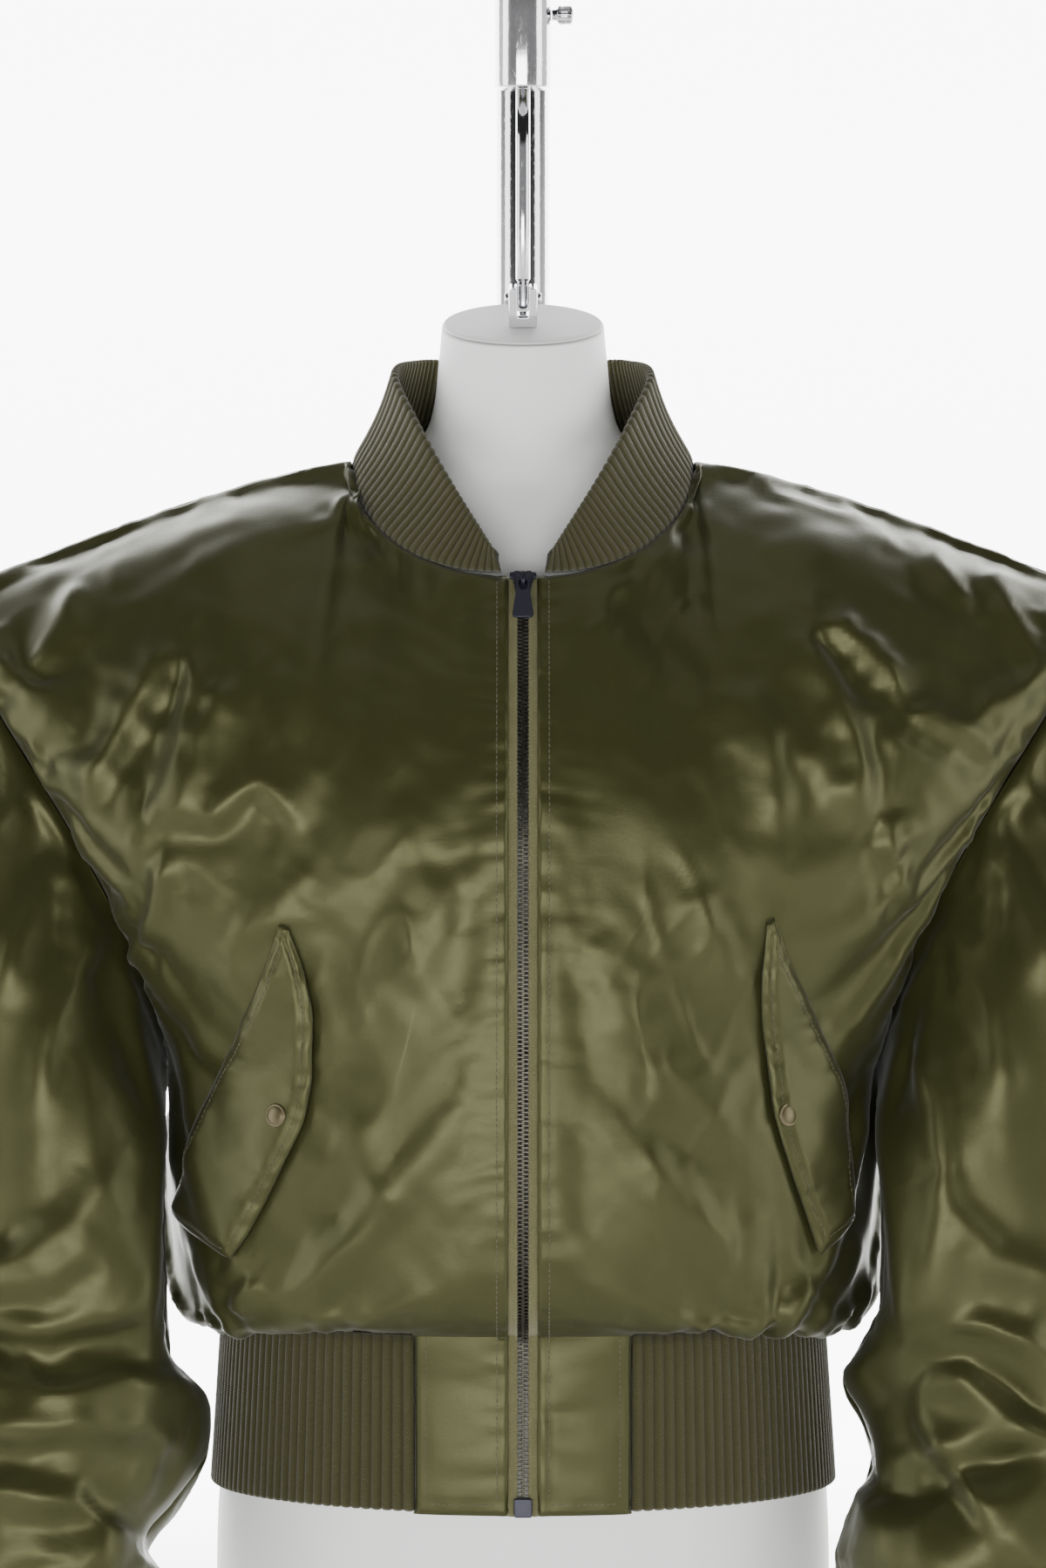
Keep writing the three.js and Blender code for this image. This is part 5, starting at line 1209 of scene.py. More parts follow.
def flap_grid(panel):
    side = panel["side"]
    b = np.linspace(0, 1, 130)
    a = np.concatenate([[0, 0.02, 0.05, 0.09], np.linspace(0.14, 0.86, 20), [0.91, 0.95, 0.98, 1.0]])
    bed, normals = flap_bed(panel, b, a)
    run = lengths_along(bed, 1)
    down = lengths_along(bed, 0)
    from_free = run[:, -1:] - run
    edge = np.minimum(np.minimum(from_free, down), down[-1:] - down)
    lift = mix(FLAP_LIFT["sewn"], FLAP_LIFT["free"], (a**2)[None, :])
    crown = 2.3 * smooth(0, 9, edge) * smooth(0, 6, run)
    outer = lift + FLAP_WALL + crown - 1.3 * np.exp(-((edge / 1.5) ** 2)) - 1.0 * np.exp(-((run / 1.4) ** 2))
    outer += groove(edge, 5.0, 1.2, 0.6) + groove(run, 5.0, 1.1, 0.5)
    outer += puckers(down, np.minimum(from_free, run), 4.6, 81 + side, 9, 1.0)
    outer += 0.5 * soft_noise(down, run, 15, 85 + side)
    top = bed + normals * outer[..., None]
    under = bed + normals * (lift + 0.2)[..., None]
    return {"top": top, "under": under, "normals": normals, "run": run, "down": down}


def two_sided(name, top, under, side, material):
    """A closed piece between a top and an under grid."""
    if side > 0:
        top, under = top[:, ::-1], under[:, ::-1]
    rows, columns = top.shape[:2]
    points = np.concatenate([top.reshape(-1, 3), under.reshape(-1, 3)])
    return new_piece(name, points, shell_faces(rows, columns), material)


# Stitches

STITCH = {"pitch": 3.1, "length": 2.5, "radius": 0.3}


def resample(line, normals, pitch):
    run = run_of(line)
    places = np.arange(pitch * 0.6, run[-1] - pitch * 0.5, pitch)
    pick = lambda values: np.stack([np.interp(places, run, values[:, k]) for k in range(3)], axis=1)
    ahead = np.stack([np.interp(places + 0.3, run, line[:, k]) for k in range(3)], axis=1)
    return pick(line), unit(ahead - pick(line)), unit(pick(normals))


def stitch_mesh(lines):
    """Short rounded stitches along lines on the cloth, as points and faces."""
    sides = 6
    profile = [(-0.5, 0.25, -0.5), (-0.38, 0.85, -0.1), (0.0, 1.0, 0.25), (0.38, 0.85, -0.1), (0.5, 0.25, -0.5)]
    points, faces = [], []
    for line, normals in lines:
        places, along, out = resample(line, normals, STITCH["pitch"])
        across = np.cross(along, out)
        for place, forward, up, right in zip(places, along, out, across):
            start = len(points)
            for share, wide, rise in profile:
                centre = place + forward * share * STITCH["length"] + up * (rise * STITCH["radius"] + 0.05)
                for k in range(sides):
                    angle = 2 * math.pi * k / sides
                    reach = STITCH["radius"] * wide
                    points.append(centre + right * reach * math.cos(angle) + up * reach * math.sin(angle) * 0.8)
            for ring in range(len(profile) - 1):
                low = start + ring * sides
                for k in range(sides):
                    after = (k + 1) % sides
                    faces.append([low + k, low + sides + k, low + sides + after, low + after])
            faces.append([start + k for k in range(sides)])
            last = start + (len(profile) - 1) * sides
            faces.append([last + k for k in range(sides)][::-1])
    return np.array(points), faces


def panel_lines(panel):
    """The topstitching along the zip and round the tab of a front."""
    side = panel["side"]
    grid = panel["grid"]
    normals = normals_of(grid) * side
    lines = []
    from_zip, up = panel["from_zip"], panel["up"]

    def at_distance(rows):
        line, out = [], []
        for j in rows:
            i = np.interp(ZIP_STITCH, from_zip[j], np.arange(from_zip.shape[1]))
            a = int(i)
            line.append(mix(grid[j, a], grid[j, a + 1], i - a))
            out.append(mix(normals[j, a], normals[j, a + 1], i - a))
        return np.array(line), np.array(out)

    rows = [j for j in range(len(panel["v"])) if up[j, 0] >= TAB_STITCH["bottom"] and up[-1, 0] - up[j, 0] > 2]
    lines.append(at_distance(rows))
    band_row = int(np.argmin(np.abs(panel["v"])))
    tab_column = int(np.argmin(np.abs(panel["across"] - TAB_SHARE)))
    j = int(np.argmin(np.abs(up[:, 0] - TAB_STITCH["bottom"])))
    to_tab = from_zip[j, tab_column] - from_zip[j]
    keep = [i for i in range(tab_column) if from_zip[j, i] >= ZIP_STITCH and to_tab[i] >= TAB_STITCH["side"]]
    lines.append((grid[j, keep], normals[j, keep]))
    i = int(np.argmin(np.abs(to_tab - TAB_STITCH["side"])))
    keep = [k for k in range(band_row) if up[k, 0] >= TAB_STITCH["bottom"]]
    lines.append((grid[keep, i], normals[keep, i]))
    return lines


def flap_lines(flap):
    """The topstitching inside a flap's edges."""
    top, normals = flap["top"], flap["normals"]
    down, run = flap["down"], flap["run"]
    free, sewn = [], []
    for j in range(len(top)):
        if down[j, 10] < 6 or down[-1, 10] - down[j, 10] < 5 or run[j, -1] < 13:
            continue
        for place, line in ((run[j, -1] - 5.0, free), (5.0, sewn)):
            i = np.interp(place, run[j], np.arange(run.shape[1]))
            a = min(int(i), run.shape[1] - 2)
            line.append((mix(top[j, a], top[j, a + 1], i - a), mix(normals[j, a], normals[j, a + 1], i - a)))
    lines = [(np.array([p for p, _ in line]), np.array([n for _, n in line])) for line in (free, sewn)]
    j = int(np.argmin(np.abs(down[-1, 10] - down[:, 10] - 5.0)))
    keep = [i for i in range(run.shape[1]) if 5 <= run[j, i] <= run[j, -1] - 5]
    lines.append((top[j, keep], normals[j, keep]))
    return lines


# The zip

SLIDER = {"drop": 7.0, "width": 11.0, "length": 13.0, "thick": 3.4, "rise": 0.8}
TOOTH = {"pitch": 2.24}
PULL = {
    "bar": 1.5,
    "neck": 7.4,
    "width": 11.5,
    "length": 25.0,
    "eye": 8.5,
    "eye_width": 4.2,
    "thick": 1.5,
    "seat": 2.0,
}
BRIDGE = {"reach": 5.3, "height": 9.0, "wire": 0.62, "flatness": 1.75}
ZIP_BOX = {"width": 9.5, "height": 10.0, "thick": 3.6, "ahead": -1.9}
TOP_STOP = {"v": 0.982, "side": 5.4, "ahead": 0.9, "thick": 2.2}


def zip_frame(v):
    """The zip's line in the middle of the front: places, the way up and the way out."""
    v = np.atleast_1d(np.asarray(v, float))
    line = body_surface(np.zeros(v.shape), v, -1)
    below = body_surface(np.zeros(v.shape), np.maximum(v - 0.01, V_TAB), -1)
    above = body_surface(np.zeros(v.shape), np.minimum(v + 0.01, 1), -1)
    line[:, 0] = 0
    up = unit((above - below) * [0, 1, 1])
    out = points_of(0.0, -up[:, 2], up[:, 1])
    return line, up, out


def zip_run(pitch, start=0.0):
    v = np.linspace(V_TAB, 0.985, 1500)
    line, _, _ = zip_frame(v)
    return shares_at(line, np.arange(start, length_of(line), pitch), v)


def tooth_points(side, place, up, out):
    """One tooth: a rounded block with a narrowed waist and a head over the middle."""
    outline = [(3.1, -0.62), (1.1, -0.42), (0.2, -0.62), (-0.75, -0.5), (-0.95, 0.0)]
    outline += [(x, -y) for x, y in outline[:-1]][::-1]
    ring = np.array(outline)
    middle = 1.1
    points = []
    for depth, grow in ((-0.9, 0.75), (-0.5, 1.0), (0.55, 1.0), (0.95, 0.72)):
        for x, y in ring:
            across = side * (middle + (x - middle) * mix(1, grow, 0.5))
            points.append(place + np.array([across, 0, 0]) + up * y * grow + out * depth)
    count = len(ring)
    faces = []
    for level in range(3):
        for k in range(count):
            after = (k + 1) % count
            low, high = level * count, (level + 1) * count
            quad = [low + k, low + after, high + after, high + k]
            faces.append(quad if side < 0 else quad[::-1])
    caps = [list(range(count))[::-1], list(range(3 * count, 4 * count))]
    faces += caps if side < 0 else [cap[::-1] for cap in caps]
    return points, faces


def chain_mesh():
    points, faces = [], []
    for side, offset in ((1, 0.0), (-1, TOOTH["pitch"] / 2)):
        v = zip_run(TOOTH["pitch"], 2.0 + offset)
        for place, up, out in zip(*zip_frame(v)):
            p, f = tooth_points(side, place - out * 0.55, up, out)
            faces += [[k + len(points) for k in face] for face in f]
            points += p
    return np.array(points), faces


def tape_grid(side):
    v = zip_run(3.0)
    line, _, out = zip_frame(v)
    across = np.array([2.6, 3.0, 3.5, 4.0, 4.3, 5.0, 6.0, 6.9, 8.6])
    raised = np.array([-0.2, 0.25, 0.3, 0.1, -0.3, -0.35, -0.4, -0.7, -1.9])
    beside = np.array([1, 0, 0]) * (side * across)[None, :, None]
    grid = line[:, None] + out[:, None] * raised[None, :, None] + beside
    return grid if side > 0 else grid[:, ::-1]


def extruded(name, outline, thick, bevel, material, matrix, holes=(), body=ROOT_BODY):
    """A flat piece with rounded edges: its outline lies in x and y and its thickness along z."""
    curve = bpy.data.curves.new(name, "CURVE")
    curve.dimensions = "2D"
    curve.fill_mode = "BOTH"
    curve.extrude = thick / 2000 - bevel / 1000
    curve.bevel_depth = bevel / 1000
    curve.bevel_resolution = 3
    curve.offset = -bevel / 1000
    for ring in [outline, *holes]:
        spline = curve.splines.new("POLY")
        spline.points.add(len(ring) - 1)
        for point, (x, y) in zip(spline.points, ring):
            point.co = (x / 1000, y / 1000, 0, 1)
        spline.use_cyclic_u = True
    flat = bpy.data.objects.new(name + "_outline", curve)
    bpy.context.scene.collection.objects.link(flat)
    bpy.context.view_layer.update()
    mesh = bpy.data.meshes.new_from_object(flat.evaluated_get(bpy.context.evaluated_depsgraph_get()))
    bpy.data.objects.remove(flat)
    bpy.data.curves.remove(curve)
    mesh.transform(matrix)
    mesh.name = name
    mesh.materials.clear()
    mesh.materials.append(material)
    mesh.polygons.foreach_set("use_smooth", [True] * len(mesh.polygons))
    mesh.set_sharp_from_angle(angle=math.radians(40))
    piece = bpy.data.objects.new(name, mesh)
    bpy.context.scene.collection.objects.link(piece)
    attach(piece, body)
    return piece


def placed(origin, right, up, lift=HEM_HEIGHT):
    """A matrix that lays an outline's x and y along right and up at a place in millimetres."""
    right, up = Vector(right).normalized(), Vector(up).normalized()
    out = right.cross(up)
    place = Vector(origin) / 1000 + Vector((0, 0, lift / 1000))
    rows = [(right[k], up[k], out[k], place[k]) for k in range(3)]
    return Matrix((*rows, (0, 0, 0, 1)))


def rounded_box(x0, y0, x1, y1, radius, steps=5):
    """A rectangle with round corners, as a ring of points."""
    left, right, low, high = x0 + radius, x1 - radius, y0 + radius, y1 - radius
    ring = []
    for cx, cy, start in ((right, low, -90), (right, high, 0), (left, high, 90), (left, low, 180)):
        for k in range(steps + 1):
            angle = math.radians(start + 90 * k / steps)
            ring.append((cx + radius * math.cos(angle), cy + radius * math.sin(angle)))
    return ring


def softened(corners, radius, steps=4):
    """A ring of corners with each one rounded by a short curve."""
    ring = []
    count = len(corners)
    for k in range(count):
        before, here, after = (np.array(corners[(k + d) % count], float) for d in (-1, 0, 1))
        reach = min(radius, np.linalg.norm(before - here) / 2.1, np.linalg.norm(after - here) / 2.1)
        start = here + unit(before - here) * reach
        end = here + unit(after - here) * reach
        for f in np.linspace(0, 1, steps + 1):
            ring.append(tuple(start * (1 - f) ** 2 + here * 2 * f * (1 - f) + end * f**2))
    return ring


def round_bar(points, radius, sides):
    """Rings of a round bar along a line of points."""
    points = np.asarray(points, float)
    along = unit(np.gradient(points, axis=0))
    across = unit(np.cross(along, [0.03, 0.02, 1.0] if abs(along[0][2]) < 0.9 else [1.0, 0.02, 0.03]))
    other = np.cross(across, along)
    radius = np.broadcast_to(radius, len(points))
    angle = np.linspace(0, 2 * np.pi, sides, endpoint=False)
    return points[:, None] + radius[:, None, None] * (
        across[:, None] * np.cos(angle)[None, :, None] + other[:, None] * np.sin(angle)[None, :, None]
    )


def turned(rows, sides=64):
    """Rings of a turned part from rows of radius and height."""
    angle = np.linspace(0, 2 * np.pi, sides, endpoint=False)
    return [points_of(radius * np.cos(angle), radius * np.sin(angle), height) for radius, height in rows]


# The tapes' area is between the whole tape's and the modelled strip's.


SNAP_ROWS = [
    (5.4, -0.9), (6.1, -0.2), (6.25, 0.35), (6.05, 0.85), (5.6, 1.1), (5.15, 1.0),
    (4.9, 0.95), (4.5, 1.2), (3.6, 1.5), (2.2, 1.75), (0.8, 1.85),
]


def snap_cap(name, side, material):
    """A domed cap with a rolled rim, on the flap."""
    flap = PANELS["flap", side]
    x, z = SNAPS[side]
    away = np.hypot(flap["top"][..., 0] - x, flap["top"][..., 2] - z)
    j, i = np.unravel_index(np.argmin(away), away.shape)
    near = (slice(max(j - 6, 0), j + 7), slice(max(i - 3, 0), i + 4))
    out = unit(flap["normals"][near].reshape(-1, 3).mean(axis=0))
    seat = flap["top"][near].reshape(-1, 3).mean(axis=0)
    seat = np.array([x, seat[1], z])
    rings = turned(SNAP_ROWS, 56)
    right = unit(np.cross([0, 0, 1.0], -out))
    up = np.cross(out, right)
    rings = [seat + ring[:, :1] * right + ring[:, 1:2] * up + ring[:, 2:] * out for ring in rings]
    points, faces = loft(rings)
    return new_piece(name, points, faces, material)


def slider_frame():
    """The slider's place on the zip, the way up along it and the way out."""
    top, low = zip_frame(0.985)[0][0], zip_frame(0.94)[0][0]
    up = unit(top - low)
    out = np.array([0.0, -up[2], up[1]])
    return top - up * SLIDER["drop"], up, out


def make_zip(finishes):
    for side, name in ((1, "left"), (-1, "right")):
        tape = shell("woven_tape_" + name, tape_grid(side), 0.7, finishes["tape"])
        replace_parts(tape, "zip_tape_" + name)
    points, faces = chain_mesh()
    teeth = new_piece("zip_teeth", points, faces, finishes["teeth"], flat=True)
    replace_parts(teeth, "zip_chain")
    place, up, out = slider_frame()
    right = np.array([1.0, 0, 0])
    wide, tall = SLIDER["width"] / 2, SLIDER["length"] / 2
    half = [(wide * 0.72, -tall), (wide * 0.8, -tall * 0.3), (wide, tall * 0.35), (wide * 0.86, tall), (1.6, tall)]
    body = [(-wide * 0.72, -tall), *half, (0, tall * 0.72), *[(-x, y) for x, y in half[:0:-1]]]
    where = placed(place + out * (SLIDER["rise"] + SLIDER["thick"] / 2), right, up)
    slider = extruded("slider_body", softened(body, 1.6), SLIDER["thick"], 0.8, finishes["slider"], where)
    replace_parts(slider, "zip_slider")
    foot = SLIDER["rise"] + SLIDER["thick"] - 0.4
    half, reach = BRIDGE["height"] / 2, BRIDGE["reach"]
    low = [(0, -half + 0.9), (reach * 0.55, -half + 1.0), (reach * 0.86, -half + 2.0)]
    arch = [*low, (reach - 0.1, 0), *[(a, -b) for a, b in low[::-1]]]
    arch = np.array([place + out * (foot + a - 0.4) + up * b for a, b in softened_line(arch, 6)])
    rings = round_bar(arch, BRIDGE["wire"], 12)
    rings[..., 0] *= BRIDGE["flatness"]
    points, faces = loft(rings)
    bridge = new_piece("slider_bridge", points, faces, finishes["slider"])
    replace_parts(bridge, "zip_bridge")
    neck, wide, length, eye = PULL["neck"] / 2, PULL["width"] / 2, PULL["length"], PULL["eye"]
    tab = [(-neck, PULL["bar"]), (neck, PULL["bar"]), (neck, -eye), (wide, -length), (-wide, -length), (-neck, -eye)]
    hole = rounded_box(-PULL["eye_width"] / 2, -eye + 1, PULL["eye_width"] / 2, -0.9, 1.4)
    middle = place + out * (SLIDER["rise"] + SLIDER["thick"] + PULL["seat"])
    where = placed(middle, right, up)
    pull = extruded("pull_tab", softened(tab, 2.6), PULL["thick"], 0.5, finishes["slider"], where, [hole], PULL_BODY)
    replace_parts(pull, "zip_pull")
    low = zip_frame(V_TAB)[0][0] + [0, ZIP_BOX["ahead"], 0]
    box = rounded_box(-ZIP_BOX["width"] / 2, 0, ZIP_BOX["width"] / 2, ZIP_BOX["height"], 1.4)
    stop = extruded("zip_box", box, ZIP_BOX["thick"], 0.7, finishes["slider"], placed(low, right, [0, 0, 1]))
    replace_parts(stop, "zip_stop")
    for side, name in ((1, "left"), (-1, "right")):
        (top,), (top_up,), (top_out,) = zip_frame(TOP_STOP["v"])
        bead = rounded_box(-1.5, -3.4, 1.5, 0.6, 1.1)
        middle = top + np.array([side * TOP_STOP["side"], 0, 0]) + top_out * TOP_STOP["ahead"]
        where = placed(middle, right, top_up)
        extruded("top_stop_" + name, bead, TOP_STOP["thick"], 0.8, finishes["slider"], where)


def softened_line(points, steps):
    """A line of points drawn as a smooth curve."""
    points = np.array(points, float)
    places = np.linspace(0, len(points) - 1, (len(points) - 1) * steps + 1)
    return cubic_weights(places, len(points)) @ points


def form_ring(z, side, front, back, count=144):
    middle = FORM_MIDDLE * smooth(300, 520, z)
    angle = np.linspace(0, 2 * np.pi, count, endpoint=False)
    pinch = FORM_PINCH["most"] * smooth(FORM_PINCH["from"], FORM_PINCH["full"], z) * (1 - smooth(545, 575, z))
    reach = np.sign(np.cos(angle)) * np.abs(np.cos(angle)) ** (1 + pinch)
    deep = np.where(np.cos(angle) > 0, front, back)
    return points_of(side * np.sin(angle), middle - deep * reach, z)


def make_form(material):
    heights = np.concatenate([[-196, -195.4, -193.8, -191, -187], np.arange(-180, 500, 7.0), np.arange(500, 588, 1.6)])
    rings = []
    for z in heights:
        side, front, back = (float(FORM.read(column, z)) for column in ("side", "front", "back"))
        rings.append(form_ring(z, side, front, back))
    tilt = math.tan(FORM_NECK_TOP["tilt"])
    top = form_ring(FORM_NECK_TOP["z"], *(FORM_NECK_TOP[key] for key in ("side", "front", "back")))
    top[:, 2] += (top[:, 1] - FORM_MIDDLE) * tilt
    neck = rings[-1]
    for share in np.linspace(0.1, 0.94, 9):
        rings.append(mix(neck, top, share))
    centre = top.mean(axis=0)
    edge = 2.2
    for angle in np.linspace(0.15, 1, 6) * np.pi / 2:
        inset = edge * (1 - math.cos(angle))
        drop = edge * (1 - math.sin(angle))
        ring = centre + (top - centre) * (1 - inset / 42)
        rings.append(ring - [0, 0, drop])
    for share in (0.8, 0.5, 0.2):
        rings.append(centre + (top - centre) * share)
    points, faces = loft(rings)
    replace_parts(new_piece("smooth_form", points, faces, material), "dress_form")


TUBE_RADIUS = 15.0
COLUMN_Y = 200.0
BEND_HEIGHT = 1120.0
TUBE_END = 1042.0
ROD_RADIUS, ROD_TIP_RADIUS = 3.8, 2.7
FORK = {"width": 15.0, "deep": 14.0, "height": 21.0, "slot": 6.3, "base": 5.6}
THUMB_SCREW = {"z": 1081.0, "neck": 3.0, "head": 4.9, "head_length": 8.4, "reach": 3.0}
PLATE = {"width": 380.0, "front": -180.0, "back": 250.0, "thick": 6.0, "corner": 40.0}
SOCKET = {"radius": 23.0, "height": 30.0}


def rounded_tube(line, radius, edge=1.2):
    """A round bar with softened ends along a line."""
    line = np.asarray(line, float)
    start, end = unit(line[1] - line[0]), unit(line[-1] - line[-2])
    ease_in = [line[0] + start * edge * f for f in (0, 0.08, 0.3, 1.0)]
    ease_out = [line[-1] - end * edge * f for f in (1.0, 0.3, 0.08, 0)]
    path = np.concatenate([ease_in, line[1:-1], ease_out])
    radii = np.full(len(path), radius)
    radii[:3] = radius - np.array([edge, edge * 0.5, edge * 0.18])
    radii[-3:] = radius - np.array([edge * 0.18, edge * 0.5, edge])
    return loft(round_bar(path, radii, 48))


def make_stand(chrome):
    def keep(piece, node):
        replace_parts(piece, node)

    def bar(name, line, radius, node, edge=1.2):
        points, faces = rounded_tube(line, radius, edge)
        keep(new_piece(name, points, faces, chrome, lift=0), node)

    half = PLATE["width"] / 2
    outline = rounded_box(-half, PLATE["front"], half, PLATE["back"], PLATE["corner"], 16)
    where = placed((0, 0, PLATE["thick"] / 2), (1, 0, 0), (0, 1, 0), 0)
    plate = extruded("foot_plate", outline, PLATE["thick"], 1.4, chrome, where)
    keep(plate, "stand_plate")
    low = PLATE["thick"] + SEAM_GAP
    top = low + SOCKET["height"]
    wide = SOCKET["radius"]
    rows = [(wide - 0.8, low), (wide, low + 0.8), (wide, top - 6), (wide - 1.2, top - 2.4)]
    rows += [(TUBE_RADIUS + 1.6, top), (TUBE_RADIUS, top)]
    rings = [ring + [0, COLUMN_Y, 0] for ring in turned(rows)]
    points, faces = loft(rings)
    keep(new_piece("foot_socket", points, faces, chrome, lift=0), "stand_socket")
    at = lambda y, z: (0.0, y, z)
    upright = [at(COLUMN_Y, top + SEAM_GAP), at(COLUMN_Y, 600), at(COLUMN_Y, BEND_HEIGHT)]
    bar("upright_tube", upright, TUBE_RADIUS, "stand_column", 0.4)
    start = BEND_HEIGHT + SEAM_GAP
    half = COLUMN_Y / 2
    arc = [at(half * (1 + math.cos(a)), start + 2 + half * math.sin(a)) for a in np.linspace(0, np.pi, 49)]
    bar("bent_tube", [at(COLUMN_Y, start), *arc, at(0, start)], TUBE_RADIUS, "stand_bend", 0.4)
    bar("drop_tube", [at(0, BEND_HEIGHT), at(0, 1080), at(0, TUBE_END)], TUBE_RADIUS, "stand_drop_tube", 0.9)

    tilt = FORM_NECK_TOP["tilt"]
    neck_top = HEM_HEIGHT + FORM_NECK_TOP["z"] - FORM_MIDDLE * math.tan(tilt)
    pivot = neck_top + FORK["base"] + 3
    shoulder = neck_top + FORK["height"] + 2
    tip, wide = ROD_TIP_RADIUS, ROD_RADIUS
    rows = [(tip - 0.6, pivot), (tip, pivot + 2), (tip, shoulder), (wide - 0.3, shoulder + 1.2), (wide, shoulder + 1.6)]
    rows += [(wide, 980), (wide, 1010), (wide, TUBE_END - SEAM_GAP)]
    points, faces = loft(turned(rows, 40))
    keep(new_piece("steel_rod", points, faces, chrome, lift=0), "hanging_rod")
    wide, slot = FORK["width"] / 2, FORK["slot"] / 2
    shape = [(wide, 0), (wide, FORK["height"]), (slot, FORK["height"]), (slot, FORK["base"])]
    shape = [(-wide, 0), *shape, *[(-x, y) for x, y in shape[:0:-1]]]
    up = (0, -math.sin(tilt), math.cos(tilt))
    base = np.array([0, 0, neck_top]) + np.array(up) * SEAM_GAP
    fork = extruded("clevis", softened(shape, 1.6), FORK["deep"], 0.6, chrome, placed(base, (1, 0, 0), up, 0))
    keep(fork, "neck_fork")
    for name, side in (("left", 1), ("right", -1)):
        centre = np.array([0, 0, neck_top]) + np.array(up) * (FORK["base"] + 9)
        rows = [(3.1, 0), (3.4, 0.25), (3.4, 0.7), (2.8, 1.7), (2.4, 1.95), (1.2, 1.98)]
        rings = turned(rows, 32)
        rings = [np.stack([side * (wide + SEAM_GAP + r[:, 2]), r[:, 0], r[:, 1]], axis=1) + centre for r in rings]
        points, faces = loft(rings)
        if side < 0:
            faces = [face[::-1] for face in faces]
        keep(new_piece("clevis_screw_" + name, points, faces, chrome, lift=0), "fork_screw_" + name)
    screw = THUMB_SCREW
    angle = np.linspace(0, 2 * np.pi, 72, endpoint=False)
    knurl = 0.22 * np.cos(angle * 18)
    head = screw["reach"] + screw["head_length"]
    neck, wide, start = screw["neck"], screw["head"], screw["reach"]
    rows = [(0, neck, 0), (start - 0.8, neck, 0), (start, wide - 0.9, 0), (start + 0.7, wide - 0.25, 1)]
    rows += [(head - 1.2, wide - 0.25, 1), (head - 0.4, wide - 0.9, 0), (head, wide - 1.6, 0)]
    rings = []
    for x, radius, rough in rows:
        reach = radius + knurl * rough
        rings.append(points_of(TUBE_RADIUS + SEAM_GAP + x, reach * np.cos(angle), screw["z"] + reach * np.sin(angle)))
    points, faces = loft(rings)
    keep(new_piece("knurled_screw", points, faces, chrome, lift=0), "thumb_screw")


# The stage

LIGHTS = {
    "key": {"place": (-0.3, -3.3, 0.35), "size": (2.6, 1.1), "aim": (0, 0, 0.7)},
    "side_left": {"place": (-2.6, -0.6, 1.0), "size": (1.2, 2.0), "aim": (0, 0, 0.7)},
    "side_right": {"place": (2.6, -0.9, 1.0), "size": (1.2, 2.0), "aim": (0, 0, 0.7)},
    "top": {"place": (0, -0.2, 3.0), "size": (2.0, 2.0), "aim": (0, 0, 0.6)},
}


# The floor turns up into a wall behind the form, in metres; seen from behind, the wall hides the form
WALL = {"bend": 2.2, "radius": 1.2, "height": 4.2, "half_width": 7.0}


def make_stage(look, floor):
    scene = bpy.context.scene
    bend, radius = WALL["bend"], WALL["radius"]
    turn = np.linspace(0.08, 1, 12) * np.pi / 2
    depth = np.concatenate([[-6.0, -3.0, 0.0, bend], bend + radius * np.sin(turn), [bend + radius] * 2])
    rise = np.concatenate([[0, 0, 0, 0], radius - radius * np.cos(turn), [2.2, WALL["height"]]])
    across = np.linspace(-WALL["half_width"], WALL["half_width"], 15)
    grid = points_of(across[None, :], depth[:, None], rise[:, None])
    rows, columns = grid.shape[:2]
    j, i = np.mgrid[0 : rows - 1, 0 : columns - 1]
    first = j * columns + i
    faces = np.stack([first, first + 1, first + columns + 1, first + columns], axis=-1).reshape(-1, 4)
    mesh = bpy.data.meshes.new("studio_floor")
    mesh.from_pydata(grid.reshape(-1, 3).tolist(), [], faces.tolist())
    mesh.polygons.foreach_set("use_smooth", [True] * len(mesh.polygons))
    mesh.materials.append(floor)
    stage = bpy.data.objects.new("studio_floor", mesh)
    scene.collection.objects.link(stage)
    stage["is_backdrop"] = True

    world = bpy.data.worlds.new("studio")
    scene.world = world
    world.use_nodes = True
    tree = Tree(world.node_tree)
    output = tree.add("ShaderNodeOutputWorld")
    parts = tree.add("ShaderNodeSeparateXYZ", Vector=tree.add("ShaderNodeTexCoord").outputs["Generated"])
    rise = tree.number(parts.outputs[2]).between(0.1, 0.3)
    room, low, high = ((*[value] * 3, 1.0) for value in (look.room, look.surround, look.ceiling))
    ahead = (tree.number(parts.outputs[1]) * -1.0).between(0.0, 0.7)
    level = tree.mix_colour(ahead, low, room)
    background = tree.add("ShaderNodeBackground", Color=tree.mix_colour(rise, level, high), Strength=1.0)
    tree.tree.links.new(background.outputs[0], output.inputs["Surface"])

    side_power = look.side_power
    powers = {"key": look.key_power, "side_left": side_power, "side_right": side_power, "top": look.top_power}
    for name, plan in LIGHTS.items():
        light = bpy.data.lights.new(name, "AREA")
        light.shape = "RECTANGLE"
        light.size, light.size_y = plan["size"]
        light.energy = powers[name]
        lamp = bpy.data.objects.new(name, light)
        lamp.location = plan["place"]
        lamp.rotation_euler = (Vector(plan["aim"]) - Vector(plan["place"])).to_track_quat("-Z", "Y").to_euler()
        scene.collection.objects.link(lamp)

    camera = bpy.data.cameras.new("camera")
    camera.sensor_fit = "VERTICAL"
    camera.sensor_height = 36
    camera.lens = look.lens
    view = bpy.data.objects.new("camera", camera)
    view.location = (0, -look.away, VIEW["height"] / 1000)
    view.rotation_euler = (math.pi / 2 - VIEW["tilt"], 0, 0)
    scene.collection.objects.link(view)
    scene.camera = view


# Materials


